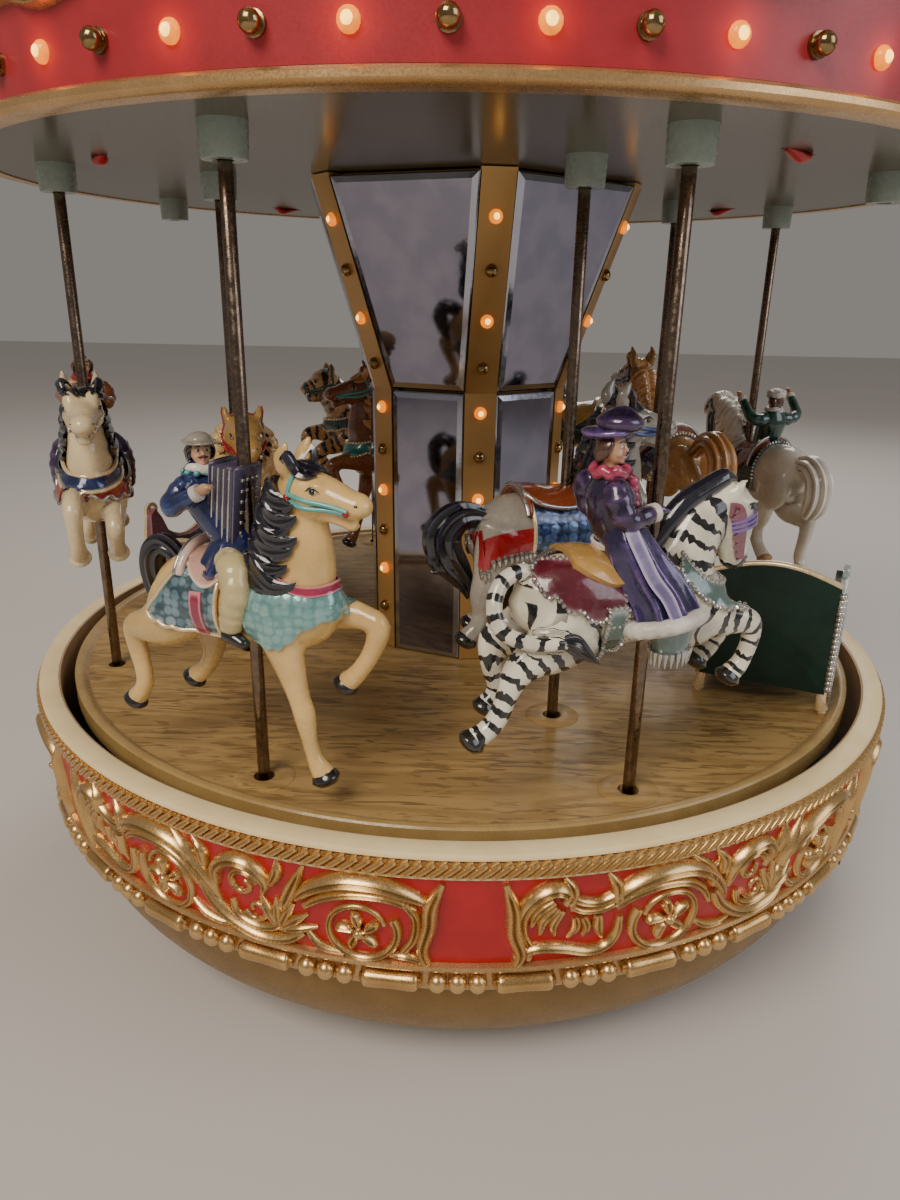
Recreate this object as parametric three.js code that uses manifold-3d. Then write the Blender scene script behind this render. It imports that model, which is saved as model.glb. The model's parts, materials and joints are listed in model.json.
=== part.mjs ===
// Tabletop fairground carousel: a bowl-shaped base, a turning deck with a mirrored hexagonal column,
// a round canopy, two chariots and ten animals that rise and fall on their poles.
// Millimetres, +Z up, origin on the table under the axis. Seen from above the deck turns anticlockwise.
import * as THREE from "three";
import { mergeVertices } from "three/addons/utils/BufferGeometryUtils.js";
import Module from "manifold-3d";

const wasm = await Module();
wasm.setup();

// Driving dimensions
const RIM_RADIUS = 140;
const DECK_TOP = 78;
const DECK_RADIUS = 130;
const DECK_THICKNESS = 4;
const CEILING_Z = 222.8;
const ROUND_SIDES = 40;
const BAYS = 7;
const GAP = 0.3;

// Base
const FOOT_RADIUS = 91;
const FOOT_OPENING = 84;
const BOWL_TURN_RADIUS = 92;
const BOWL_TURN_Z = 42;
const BOWL_RADIUS = 134.4;
const BOWL_WALL = 2.8;
const BOWL_TOP = 46.9;
const WELL_RADIUS = 134.5;
const BAND_BOTTOM = 47.3;
const BAND_TOP = 74;
const BAND_RADIUS_LOW = 136.8;
const BAND_RADIUS_HIGH = 139.4;
const RELIEF_DEPTH = 2.4;
const RIM_BOTTOM = 78;
const RIM_TOP = 79.8;
const WELL_FLOOR = 50.3;
const PIN_RADIUS = 6;

// Column
const COLUMN_SIDES = 6;
const COLUMN_TURN = THREE.MathUtils.degToRad(9.9);
const POST_WIDTH = 9.5;
const POST_THICKNESS = 3;
const POST_FACE_FOOT = 31.9;
const POST_FACE_WAIST = 32.6;
const POST_FACE_TOP = 52.7;
const WAIST_Z = 164.2;
const COLUMN_FOOT_Z = DECK_TOP + GAP;
const COLUMN_HEAD_Z = CEILING_Z - GAP;
const MIRROR_THICKNESS = 1.6;
const CORE_RADIUS = 20;

// Canopy
const CANOPY_RADIUS = 142;
const FASCIA_BOTTOM = 225.9;
const FASCIA_TOP = 275;
const FASCIA_RADIUS_LOW = 139.2;
const FASCIA_RADIUS_HIGH = 146;
const FASCIA_WALL = 2.6;
const CROWN_TOP = 279;
const ROOF_RADIUS = 144;
const ROOF_CAP_RADIUS = 10;
const ROOF_TOP = 334;
const FINIAL_TOP = 356;

// Rides
const OUTER_RING = 117.6;
const INNER_RING = 75.6;
const CHARIOT_RING = 106;
const POLE_RADIUS = 1.5;
const POLE_CLEARANCE = 0.35;
const POLE_BOTTOM = 53;
const POLE_LENGTH = 180;
const BUSHING_RADIUS = 5;
const BUSHING_HEIGHT = 7;

const MATERIALS = {
  gold: new THREE.MeshStandardMaterial({ color: 0x9a7338, roughness: 0.4, metalness: 0.55 }),
  red: new THREE.MeshStandardMaterial({ color: 0xc4161c, roughness: 0.35, metalness: 0 }),
  cream: new THREE.MeshStandardMaterial({ color: 0xe6d8b8, roughness: 0.45, metalness: 0 }),
  oak: new THREE.MeshStandardMaterial({ color: 0x8a6134, roughness: 0.5, metalness: 0 }),
  dark: new THREE.MeshStandardMaterial({ color: 0x2b2320, roughness: 0.6, metalness: 0 }),
  bronze: new THREE.MeshStandardMaterial({ color: 0x7a4d1e, roughness: 0.4, metalness: 0.3 }),
  mirror: new THREE.MeshStandardMaterial({ color: 0xd8dce0, roughness: 0.03, metalness: 1 }),
  ceiling: new THREE.MeshStandardMaterial({ color: 0x8b8b86, roughness: 0.2, metalness: 0 }),
  steel: new THREE.MeshStandardMaterial({ color: 0x6c5a48, roughness: 0.3, metalness: 1 }),
  green: new THREE.MeshStandardMaterial({ color: 0x10382c, roughness: 0.25, metalness: 0 }),
  cream_coat: new THREE.MeshStandardMaterial({ color: 0xe3cfa4, roughness: 0.25, metalness: 0 }),
  zebra_coat: new THREE.MeshStandardMaterial({ color: 0xe8e2cf, roughness: 0.25, metalness: 0 }),
  grey_coat: new THREE.MeshStandardMaterial({ color: 0xa9a49b, roughness: 0.25, metalness: 0 }),
  tan_coat: new THREE.MeshStandardMaterial({ color: 0xb9773a, roughness: 0.25, metalness: 0 }),
  tiger_coat: new THREE.MeshStandardMaterial({ color: 0xd09a5c, roughness: 0.25, metalness: 0 }),
};

// Turns a closed three.js geometry into a solid that can be joined and cut.
function solidOf(geometry) {
  const bare = geometry.clone();
  bare.deleteAttribute("normal");
  bare.deleteAttribute("uv");
  const merged = mergeVertices(bare, 1e-4);
  const corners = [];
  for (let i = 0; i < merged.index.count; i += 3) {
    const [a, b, c] = [merged.index.getX(i), merged.index.getX(i + 1), merged.index.getX(i + 2)];
    if (a !== b && b !== c && a !== c) corners.push(a, b, c);
  }
  const positions = new Float32Array(merged.attributes.position.array);
  const build = (triangles) => new wasm.Manifold(
    new wasm.Mesh({ numProp: 3, vertProperties: positions, triVerts: new Uint32Array(triangles) }));
  const solid = build(corners);
  if (solid.volume() > 0) return solid;
  return build(corners.reverse());
}

// Turns a finished solid back into a geometry.
function geometryOf(solid) {
  const mesh = solid.getMesh();
  const geometry = new THREE.BufferGeometry();
  geometry.setAttribute("position", new THREE.BufferAttribute(new Float32Array(mesh.vertProperties), 3));
  geometry.setIndex(new THREE.BufferAttribute(new Uint32Array(mesh.triVerts), 1));
  geometry.computeVertexNormals();
  return geometry;
}

function joined(solids) {
  return solids.reduce((whole, next) => whole.add(next));
}

// A body of revolution about Z, from a closed outline of [radius, z] points.
function turned(outline, sides = ROUND_SIDES) {
  const points = [...outline, outline[0]].map(([radius, z]) => new THREE.Vector2(radius, z));
  return solidOf(new THREE.LatheGeometry(points, sides).rotateX(Math.PI / 2));
}

// A round rod along Z between two heights.
function rod(radius, bottom, top, sides = 12, x = 0, y = 0) {
  const geometry = new THREE.CylinderGeometry(radius, radius, top - bottom, sides);
  return solidOf(geometry.rotateX(Math.PI / 2).translate(x, y, (top + bottom) / 2));
}

function block(width, depth, height, x, y, z) {
  return solidOf(new THREE.BoxGeometry(width, depth, height).translate(x, y, z));
}

// An outline of [x, z] points, pushed back along Y from front to back.
function slab(outline, front, back, holes = []) {
  const shape = new THREE.Shape(outline.map(([x, z]) => new THREE.Vector2(x, z)));
  for (const [x, z, radius] of holes) {
    const hole = new THREE.Path();
    hole.absarc(x, z, radius, 0, 2 * Math.PI, true);
    shape.holes.push(hole);
  }
  const options = { depth: Math.abs(back - front), bevelEnabled: false, curveSegments: 3 };
  const geometry = new THREE.ExtrudeGeometry(shape, options).rotateX(Math.PI / 2);
  return solidOf(geometry.translate(0, Math.max(front, back), 0));
}

// A limb: a tapered tube through stations of [x, y, z, half width in its own plane, half width across].
function limb(stations, sides = 6) {
  const rows = stations.length - 1;
  const geometry = new THREE.CylinderGeometry(1, 1, 1, sides, rows);
  const position = geometry.attributes.position;
  const centres = stations.map(([x, y, z]) => new THREE.Vector3(x, y, z));
  const across = new THREE.Vector3(0, 1, 0);
  for (let i = 0; i < position.count; i += 1) {
    const row = Math.round((0.5 - position.getY(i)) * rows);
    const before = centres[Math.max(0, row - 1)];
    const after = centres[Math.min(rows, row + 1)];
    const tangent = after.clone().sub(before).normalize();
    const inPlane = new THREE.Vector3().crossVectors(across, tangent).normalize();
    const side = new THREE.Vector3().crossVectors(tangent, inPlane);
    const [, , , thick, wide] = stations[row];
    const point = centres[row].clone()
      .addScaledVector(inPlane, position.getX(i) * thick)
      .addScaledVector(side, position.getZ(i) * wide);
    position.setXYZ(i, point.x, point.y, point.z);
  }
  return solidOf(geometry);
}

function ball(radius, x, y, z, stretch = [1, 1, 1]) {
  const geometry = new THREE.SphereGeometry(radius, 6, 4).rotateX(Math.PI / 2);
  return solidOf(geometry.scale(...stretch).translate(x, y, z));
}

const carousel = new THREE.Group();
carousel.name = "carousel";

function add(name, solid, material, parent = carousel) {
  const mesh = new THREE.Mesh(geometryOf(solid), MATERIALS[material]);
  mesh.name = name;
  parent.add(mesh);
  return mesh;
}

// A group whose -Y looks outward and whose +X is the way of travel, at an angle from the front.
function station(degrees, radius) {
  const angle = THREE.MathUtils.degToRad(degrees);
  const group = new THREE.Group();
  group.position.set(radius * Math.sin(angle), -radius * Math.cos(angle), 0);
  group.rotation.z = angle;
  carousel.add(group);
  return group;
}

// Base: bowl, underside, spindle plate, red band, gilded frieze, rope moulding, rim
function bowlArc(inset, steps) {
  const points = [];
  for (let i = 0; i <= steps; i += 1) {
    const turn = (Math.PI / 2) * (i / steps);
    const radius = BOWL_TURN_RADIUS + (BOWL_RADIUS - BOWL_TURN_RADIUS - inset) * Math.sin(turn);
    points.push([radius, BOWL_TURN_Z - (BOWL_TURN_Z - 2 - inset) * Math.cos(turn)]);
  }
  return points;
}

const INLET_ANGLE = THREE.MathUtils.degToRad(60);
const INLET_Z = 34;
const INLET_RADIUS = 3.4;

function inletRod(radius, from, to) {
  const geometry = new THREE.CylinderGeometry(radius, radius, to - from, 8).translate(0, -(from + to) / 2, 0);
  return solidOf(geometry.rotateZ(INLET_ANGLE).translate(0, 0, INLET_Z));
}

function baseBowl() {
  const outline = [
    [FOOT_OPENING, 0], [FOOT_RADIUS, 0], ...bowlArc(0, 4), [BOWL_RADIUS, BOWL_TOP],
    [BOWL_RADIUS - BOWL_WALL, BOWL_TOP], ...bowlArc(BOWL_WALL, 2).reverse(), [FOOT_OPENING, 2 + BOWL_WALL],
  ];
  return turned(outline).subtract(inletRod(INLET_RADIUS + GAP, 120, 150));
}

function spindlePlate() {
  const plate = turned([[0, BAND_BOTTOM], [WELL_RADIUS - GAP, BAND_BOTTOM], [WELL_RADIUS - GAP, WELL_FLOOR],
    [12, WELL_FLOOR], [12, 65.7], [PIN_RADIUS, 65.7], [PIN_RADIUS, DECK_TOP - 1], [0, DECK_TOP - 1]]);
  return plate;
}

const bandRadius = (z) => BAND_RADIUS_LOW
  + (BAND_RADIUS_HIGH - BAND_RADIUS_LOW) * (z - BAND_BOTTOM) / (BAND_TOP - BAND_BOTTOM);

function redBand() {
  return turned([[WELL_RADIUS, BAND_BOTTOM], [BAND_RADIUS_LOW, BAND_BOTTOM], [BAND_RADIUS_HIGH, BAND_TOP],
    [137.4, BAND_TOP], [137.4, RIM_BOTTOM - GAP], [WELL_RADIUS, RIM_BOTTOM - GAP]]);
}

// Cuts one relief panel from a ring in each bay, the first bay starting at an angle from the front.
function inEachBay(panel, zone, start) {
  const parts = [];
  for (let bay = 0; bay < BAYS; bay += 1) {
    parts.push(panel.rotate([0, 0, start + (bay + 0.5) * (360 / BAYS)]).intersect(zone));
  }
  return joined(parts);
}

// One scroll panel, seen from outside: flared ends, a broad curled rail and openings round its rosettes.
const PANEL_FOOT = 46;
const FRIEZE_START = 3.3;
const PANEL_OUTLINE = [
  [-52, 46], [52, 46], [53, 68.5], [28, 66.5], [16, 70.5], [-2, 64], [-12, 68.5], [-28, 64.5],
  [-42, 70.5], [-53, 67],
];
const PANEL_OPENINGS = [[-15, 57, 5.6], [36.5, 57, 5.4]];

function scrollFrieze() {
  const beads = turned([[BOWL_RADIUS + GAP, 39.9], [138, 40.4], [138.6, 43.4], [137.3, BOWL_TOP + 0.1],
    [BOWL_RADIUS + GAP, BOWL_TOP + 0.1]]);
  const zone = turned([
    [bandRadius(PANEL_FOOT) + GAP, PANEL_FOOT], [bandRadius(PANEL_FOOT) + RELIEF_DEPTH, PANEL_FOOT],
    [bandRadius(73) + RELIEF_DEPTH, 73], [bandRadius(73) + GAP, 73]]);
  return beads.add(inEachBay(slab(PANEL_OUTLINE, -100, -160, PANEL_OPENINGS), zone, FRIEZE_START));
}

add("base_bowl", baseBowl(), "gold");
const UNDERSIDE = FOOT_OPENING - GAP;
add("underside_plate", turned([[0, 1.5], [UNDERSIDE, 1.5], [UNDERSIDE, 4], [0, 4]]), "dark");
add("spindle_plate", spindlePlate(), "dark");
add("red_band", redBand(), "red");
add("scroll_frieze", scrollFrieze(), "gold");
add("rope_moulding", turned([[137.7, 74.3], [140.4, 74.5], [141, 76], [140.4, 77.7], [137.7, 77.7]]), "gold");
add("rim_ring", turned([
  [WELL_RADIUS, RIM_BOTTOM], [RIM_RADIUS, RIM_BOTTOM], [RIM_RADIUS, 79.2], [139.2, RIM_TOP],
  [WELL_RADIUS, RIM_TOP]]), "cream");
add("power_inlet", inletRod(INLET_RADIUS, 128, 137.5), "dark");

// Places of the rides: degrees round from the front, and the ring they stand on
const OUTER_PLACES = [-67.5, -22.5, 22.5, 112.5, 157.5, -157.5];
const INNER_PLACES = [-67.5, 22.5, 112.5, -157.5];
const CHARIOT_PLACES = [67.5, -112.5];
const POLE_PLACES = [
  ...OUTER_PLACES.map((degrees) => [degrees, OUTER_RING]),
  ...INNER_PLACES.map((degrees) => [degrees, INNER_RING]),
];

function atPlaces(places, make) {
  return places.map(([degrees, radius]) => {
    const angle = THREE.MathUtils.degToRad(degrees);
    return make(radius * Math.sin(angle), -radius * Math.cos(angle));
  });
}

// Deck: a board with a raised lip, a hub sleeve that turns on the spindle, and a hole for each pole
function deck() {
  const under = DECK_TOP - DECK_THICKNESS;
  const board = turned([[PIN_RADIUS + 0.4, 66], [12, 66], [12, under], [DECK_RADIUS, under],
    [DECK_RADIUS, 79.2], [127, 79.2], [125.8, DECK_TOP], [PIN_RADIUS + 0.4, DECK_TOP]]);
  const holes = atPlaces(POLE_PLACES, (x, y) => rod(POLE_RADIUS + 0.8, under - 1, DECK_TOP + 1, 6, x, y));
  return board.subtract(joined(holes));
}

add("deck", deck(), "oak");

// Column: a core, a frame of six bent posts on hexagonal collars, and two tiers of mirrors between them
function hexCollar(outer, inner, bottom, top) {
  const collar = turned([[inner, bottom], [outer, bottom], [outer, top], [inner, top]], COLUMN_SIDES);
  return collar.rotate([0, 0, THREE.MathUtils.radToDeg(COLUMN_TURN)]);
}

function cornerPost() {
  const profile = [
    [POST_FACE_FOOT, COLUMN_FOOT_Z], [POST_FACE_WAIST, WAIST_Z], [POST_FACE_TOP, COLUMN_HEAD_Z],
    [POST_FACE_TOP - POST_THICKNESS - 0.4, COLUMN_HEAD_Z], [POST_FACE_WAIST - POST_THICKNESS, WAIST_Z + 0.8],
    [POST_FACE_FOOT - POST_THICKNESS, COLUMN_FOOT_Z],
  ];
  return slab(profile, -POST_WIDTH / 2, POST_WIDTH / 2).rotate([0, 0, -90]);
}

function columnFrame() {
  const post = cornerPost();
  const parts = [
    hexCollar(30.2, 24.5, COLUMN_FOOT_Z, 83),
    hexCollar(30.6, 24.5, WAIST_Z - 3, WAIST_Z + 3),
    hexCollar(50.6, 45.5, COLUMN_HEAD_Z - 5, COLUMN_HEAD_Z),
  ];
  const rebates = mirrorPair(GAP);
  const cuts = [];
  const turn = THREE.MathUtils.radToDeg(COLUMN_TURN);
  for (let side = 0; side < COLUMN_SIDES; side += 1) {
    const angle = turn + side * (360 / COLUMN_SIDES);
    parts.push(post.rotate([0, 0, angle]));
    cuts.push(...rebates.map((rebate) => rebate.rotate([0, 0, angle + 180 / COLUMN_SIDES])));
  }
  return joined(parts).subtract(joined(cuts));
}

// Half a mirror's width, and its distance from the axis, at the height where the posts' face is this far out.
function mirrorPlace(face) {
  const edge = Math.hypot(face, POST_WIDTH / 2);
  const spread = Math.PI / COLUMN_SIDES - Math.atan2(POST_WIDTH / 2, face);
  return { half: edge * Math.sin(spread) - GAP, out: edge * Math.cos(spread) };
}

// A flat mirror that leans with the posts. Growth makes the rebate that it lies in.
function mirror(lowFace, highFace, bottom, top, growth) {
  const low = mirrorPlace(lowFace);
  const high = mirrorPlace(highFace);
  const lean = Math.atan2(high.out - low.out, top - bottom);
  const slant = Math.hypot(high.out - low.out, top - bottom);
  const outline = [[-low.half - growth, -growth], [low.half + growth, -growth],
    [high.half + growth, slant + growth], [-high.half - growth, slant + growth]];
  const plate = slab(outline, -MIRROR_THICKNESS - growth, growth);
  const tilted = plate.rotate([THREE.MathUtils.radToDeg(lean), 0, 0]);
  return tilted.translate([0, MIRROR_THICKNESS - low.out, bottom]);
}

function mirrorPair(growth) {
  return [
    mirror(POST_FACE_FOOT, POST_FACE_WAIST, COLUMN_FOOT_Z, WAIST_Z - 0.4, growth),
    mirror(POST_FACE_WAIST, POST_FACE_TOP, WAIST_Z + 0.4, COLUMN_HEAD_Z - 0.8, growth),
  ];
}

function addMirrors() {
  const [lower, upper] = mirrorPair(0);
  for (let side = 0; side < COLUMN_SIDES; side += 1) {
    const angle = COLUMN_TURN + (side + 0.5) * (2 * Math.PI / COLUMN_SIDES);
    add(`mirror_lower_${side + 1}`, lower, "mirror").rotation.z = angle;
    add(`mirror_upper_${side + 1}`, upper, "mirror").rotation.z = angle;
  }
}

add("column_core", rod(CORE_RADIUS, COLUMN_FOOT_Z, COLUMN_HEAD_Z, 12), "dark");
add("column_frame", columnFrame(), "bronze");
addMirrors();

// Canopy: ceiling with pole bushings, gold edge, red fascia, cartouches, crown, roof and finial
function ceilingDisc() {
  const radius = 135.9;
  const disc = turned([[0, CEILING_Z], [radius, CEILING_Z], [radius, CEILING_Z + 2.5], [0, CEILING_Z + 2.5]]);
  const places = [...POLE_PLACES, ...CHARIOT_PLACES.map((degrees) => [degrees, OUTER_RING])];
  const bottom = CEILING_Z - BUSHING_HEIGHT;
  const bushings = atPlaces(places, (x, y) => rod(BUSHING_RADIUS, bottom, CEILING_Z + 1, 6, x, y));
  const bore = POLE_RADIUS + POLE_CLEARANCE;
  const bores = atPlaces(places, (x, y) => rod(bore, bottom - 1, CEILING_Z + 4, 6, x, y));
  return joined([disc, ...bushings]).subtract(joined(bores));
}

const fasciaRadius = (z) => FASCIA_RADIUS_LOW
  + (FASCIA_RADIUS_HIGH - FASCIA_RADIUS_LOW) * ((z - FASCIA_BOTTOM) / (FASCIA_TOP - FASCIA_BOTTOM)) ** 1.5;

function fascia() {
  const heights = [FASCIA_BOTTOM, 250, FASCIA_TOP];
  const outside = heights.map((z) => [fasciaRadius(z), z]);
  const inside = heights.map((z) => [fasciaRadius(z) - FASCIA_WALL, z]).reverse();
  return turned([...outside, ...inside]);
}

// Seven oval cartouches in raised frames that meet in a crest between bays; one bay starts left of the front.
const CARTOUCHE_START = -10.3;
const CARTOUCHE_PLATE = 1.2;
const CARTOUCHE_FRAME = 2.3;
const FRAME_BOTTOM = 238;
const OVAL_Z = 256.5;
const OVAL_SIDES = 14;
const CARTOUCHE_OUTLINE = [
  [-63.5, 262], [-54, 253], [-40, 244], [-16, 238.5], [16, 238.5], [40, 244], [54, 253], [63.5, 262],
  [63.5, 271], [50, 273.5], [-50, 273.5], [-63.5, 271],
];
// Ribs of the frames as [distance round the fascia, height, width]; each has a mirrored twin.
const FRAME_RIBS = [
  [[8, 240, 1.8], [21, 241, 3.2], [33, 246.2, 3], [42, 245, 1.8]],
  [[43, 248.4, 2.2], [53, 249.6, 3.2], [58, 257.5, 3.2], [55.6, 267, 2.4]],
  [[63, 250, 3], [61.4, 257, 2.8], [62.4, 268, 2.4]],
];

function oval(width, height) {
  const points = [];
  for (let i = 0; i < OVAL_SIDES; i += 1) {
    const turn = (2 * Math.PI * i) / OVAL_SIDES;
    points.push([width * Math.cos(turn), OVAL_Z + height * Math.sin(turn)]);
  }
  return points;
}

// The outline of a flat rib, on one side of its cartouche or mirrored to the other.
function ribOutline(rows, side) {
  const chord = (run) => side * CANOPY_RADIUS * Math.sin(run / CANOPY_RADIUS);
  const centres = rows.map(([run, z]) => new THREE.Vector2(chord(run), z));
  const upper = [];
  const lower = [];
  rows.forEach(([, , width], i) => {
    const before = centres[Math.max(0, i - 1)];
    const along = centres[Math.min(rows.length - 1, i + 1)].clone().sub(before).normalize();
    const across = new THREE.Vector2(-along.y, along.x).multiplyScalar(width / 2);
    upper.push(centres[i].clone().add(across).toArray());
    lower.unshift(centres[i].clone().sub(across).toArray());
  });
  return [...upper, ...lower];
}

// The space over the fascia, from its clearance to a height off it.
function fasciaZone(proud, heights) {
  const inside = heights.map((z) => [fasciaRadius(z) + GAP, z]);
  const outside = heights.map((z) => [fasciaRadius(z) + proud, z]).reverse();
  return turned([...inside, ...outside]);
}

function cartoucheBand() {
  const back = -160;
  const front = -90;
  const ring = slab(oval(47.4, 16.4), front, back).subtract(slab(oval(44.4, 13.4), front, back));
  const ribs = FRAME_RIBS.flatMap((rows) => [-1, 1].map((side) => slab(ribOutline(rows, side), front, back)));
  const plateZone = fasciaZone(CARTOUCHE_PLATE, [FASCIA_BOTTOM, 250, FASCIA_TOP]);
  const frameZone = fasciaZone(CARTOUCHE_FRAME, [FRAME_BOTTOM, FASCIA_TOP]);
  const plates = inEachBay(slab(CARTOUCHE_OUTLINE, front, back), plateZone, CARTOUCHE_START);
  return plates.add(inEachBay(joined([ring, ...ribs]), frameZone, CARTOUCHE_START));
}

// Fourteen ribs run up the roof, two in each bay.
const ROOF_SIDES = 42;
const ROOF_RIBS = 14;
const RIB_RADIUS = 1.1;

function roof() {
  const foot = CROWN_TOP + GAP;
  const steps = 4;
  const outside = [];
  for (let i = 0; i <= steps; i += 1) {
    const share = i / steps;
    const radius = ROOF_RADIUS * (1 - share) + ROOF_CAP_RADIUS * share;
    outside.push([radius, foot + (ROOF_TOP - foot) * share ** 1.35]);
  }
  const outline = [...outside, [0, ROOF_TOP], [0, ROOF_TOP - 3], [60, 301], [ROOF_RADIUS - 4, foot]];
  const rib = limb(outside.map(([radius, z]) => [0, -radius, z + 0.3, RIB_RADIUS, RIB_RADIUS]), 6);
  const ribs = [];
  for (let i = 0; i < ROOF_RIBS; i += 1) ribs.push(rib.rotate([0, 0, (360 * i) / ROOF_RIBS]));
  const zone = rod(ROOF_RADIUS + 4, foot, ROOF_TOP, 24);
  return joined([turned(outline, ROOF_SIDES), ...ribs]).intersect(zone);
}

function finial() {
  const foot = ROOF_TOP + GAP;
  return turned([[0, foot], [9, foot], [9, foot + 2], [3.5, foot + 4], [6.5, foot + 8], [7, foot + 11],
    [4.5, foot + 14], [1.6, foot + 16], [0.8, FINIAL_TOP], [0, FINIAL_TOP]], 8);
}

add("ceiling_disc", ceilingDisc(), "ceiling");
add("canopy_trim", turned([[136.2, 222.5], [140.6, 222.5], [CANOPY_RADIUS, 223.6], [CANOPY_RADIUS, 224.6],
  [140.6, FASCIA_BOTTOM - GAP], [136.2, FASCIA_BOTTOM - GAP]]), "gold");
add("canopy_fascia", fascia(), "red");
add("cartouche_band", cartoucheBand(), "cream");
add("crown_moulding", turned([
  [140, FASCIA_TOP + GAP], [148.5, FASCIA_TOP + GAP], [150, 277], [148.5, CROWN_TOP],
  [140, CROWN_TOP]]), "gold");
add("roof", roof(), "red");
add("finial", finial(), "gold");

// Chariots: a painted car with a high back board, two scrolled sides, a seat and a rising prow
function chariot() {
  const floor = DECK_TOP + 7;
  const side = [[-19, floor], [-14, DECK_TOP + GAP], [-10, floor - 1], [12, floor - 1], [16, DECK_TOP + GAP],
    [20, floor], [24, floor + 12], [22, floor + 24], [17, floor + 26], [14, floor + 18], [4, floor + 11],
    [-8, floor + 16], [-19, floor + 28]];
  const parts = [
    slab(side, -18, -15.6),
    slab(side, 15.6, 18),
    block(37, 34, 2.4, 0, 0, floor + 1.2),
    block(2.4, 36, 33, -18.4, 0, floor + 16.5),
    block(12, 33, 9, -11.5, 0, floor + 6),
    block(2.4, 32, 20, 20, 0, floor + 11),
  ];
  return joined(parts);
}

CHARIOT_PLACES.forEach((degrees, i) => {
  add(`chariot_${i + 1}`, chariot(), i === 0 ? "green" : "red", station(degrees, CHARIOT_RING));
});

// Animals. Heights are above the deck with the pole at the bottom of its stroke.
// x runs forward from the pole.
function leg(stations, y) {
  return limb(stations.map(([x, z, thick, wide]) => [x, y, z, thick, wide]), 4);
}

const HORSE = {
  body: [[-27, 0, 46.6, 4, 4], [-24, 0, 47.6, 8.6, 7.4], [-16, 0, 48.4, 9.6, 9.4], [-5, 0, 46.8, 9.4, 9.2],
    [7, 0, 46.8, 10.2, 9.2], [15, 0, 47.6, 9.8, 8], [20.6, 0, 48.8, 5.5, 5]],
  neck: [[9, 0, 47, 10, 7], [13, 0, 60, 8.8, 5.2], [14, 0, 72, 6.4, 4.4], [19, 0, 75.2, 5.2, 4.4],
    [25, 0, 74.2, 3.9, 3.4], [32.4, 0, 73, 2.8, 2.6]],
  mane: [[15, 0, 80.6, 2, 1.6], [6.4, 0, 73.6, 3.2, 2.6], [5.4, 0, 58, 3.4, 2.6]],
  tail: [[-23, 0, 55.6, 2.4, 2.2], [-27.6, 0, 56.8, 2.4, 2.4], [-28.6, 0, 49.6, 2.6, 2.4],
    [-26, 0, 42, 1.8, 1.6]],
};

const ZEBRA = {
  body: [[-31, 0, 50, 5, 4], [-27, 0, 51, 10, 7.5], [-17, 0, 51.4, 10.8, 9.4], [-5, 0, 50, 9.8, 9.2],
    [6, 0, 49.5, 9.8, 9.2], [12, 0, 48.6, 9.4, 8], [17, 0, 47.4, 6, 5]],
  neck: [[8, 0, 49, 10, 7], [7.6, 0, 60, 8, 5.2], [11, 0, 69, 6, 4.4], [17.6, 0, 72.4, 5, 4.2],
    [20, 0, 66, 4.2, 3.4], [21.3, 0, 59.8, 2.9, 2.6]],
  mane: [[1.6, 0, 62, 2.2, 1.6], [5, 0, 72, 2.2, 1.5], [16.4, 0, 76.6, 1.8, 1.4]],
  tail: [[-29, 0, 59.4, 2.2, 2], [-37.6, -1, 60, 2.2, 2.1], [-40.4, -3, 51.6, 2.2, 2],
    [-35, -7.6, 46.4, 2.2, 2],
    [-25, -9.4, 44.6, 2.4, 2.2]],
};

const BIG_CAT = {
  body: [[-30, 0, 47, 4, 4], [-25, 0, 47.5, 8.6, 7.5], [-14, 0, 48.5, 8.8, 8.6], [0, 0, 48, 8.6, 8.6],
    [12, 0, 48.5, 9.2, 8.6], [19, 0, 50, 7, 6]],
  neck: [[10, 0, 50, 9, 7.6], [16, 0, 60, 8.4, 7.4], [22, 0, 67, 6.8, 6.2], [30, 0, 65, 3.8, 3.8]],
  mane: [[20, 0, 72, 3.6, 4], [11, 0, 66, 4.6, 5], [8, 0, 56, 4, 4.6]],
  tail: [[-28, 0, 50, 2, 2], [-34, 0, 46, 2, 2], [-36, 0, 54, 1.9, 1.9], [-33, 0, 61, 2.4, 2.4]],
};

// Leg poses: near and far foreleg, near and far hind leg. The near side looks outward.
const LEAPING = {
  nearFore: [[10, 43, 6.4, 4.2], [12, 37, 4.6, 3.4], [15.4, 26, 2.7, 2.4], [18, 14.6, 2.1, 2],
    [21, 9.4, 3.4, 2.8]],
  farFore: [[14, 44, 5.4, 4], [22.6, 43.4, 3.5, 3], [29.5, 42, 2.7, 2.4], [26.6, 34, 2.1, 2],
    [21.5, 28.6, 2.9, 2.6]],
  nearHind: [[-19, 43, 8.6, 4.8], [-27, 38.4, 5, 3.8], [-34.4, 36.4, 3.2, 2.8], [-32.6, 25.5, 2.4, 2.2],
    [-33.4, 19.4, 2.3, 2.1], [-37, 15.4, 3, 2.7]],
  farHind: [[-17, 43, 8, 4.8], [-18, 34.5, 4.6, 3.6], [-17, 28.5, 2.7, 2.4], [-20.4, 23, 2.2, 2.1],
    [-23.6, 20.6, 3, 2.6]],
};

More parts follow.
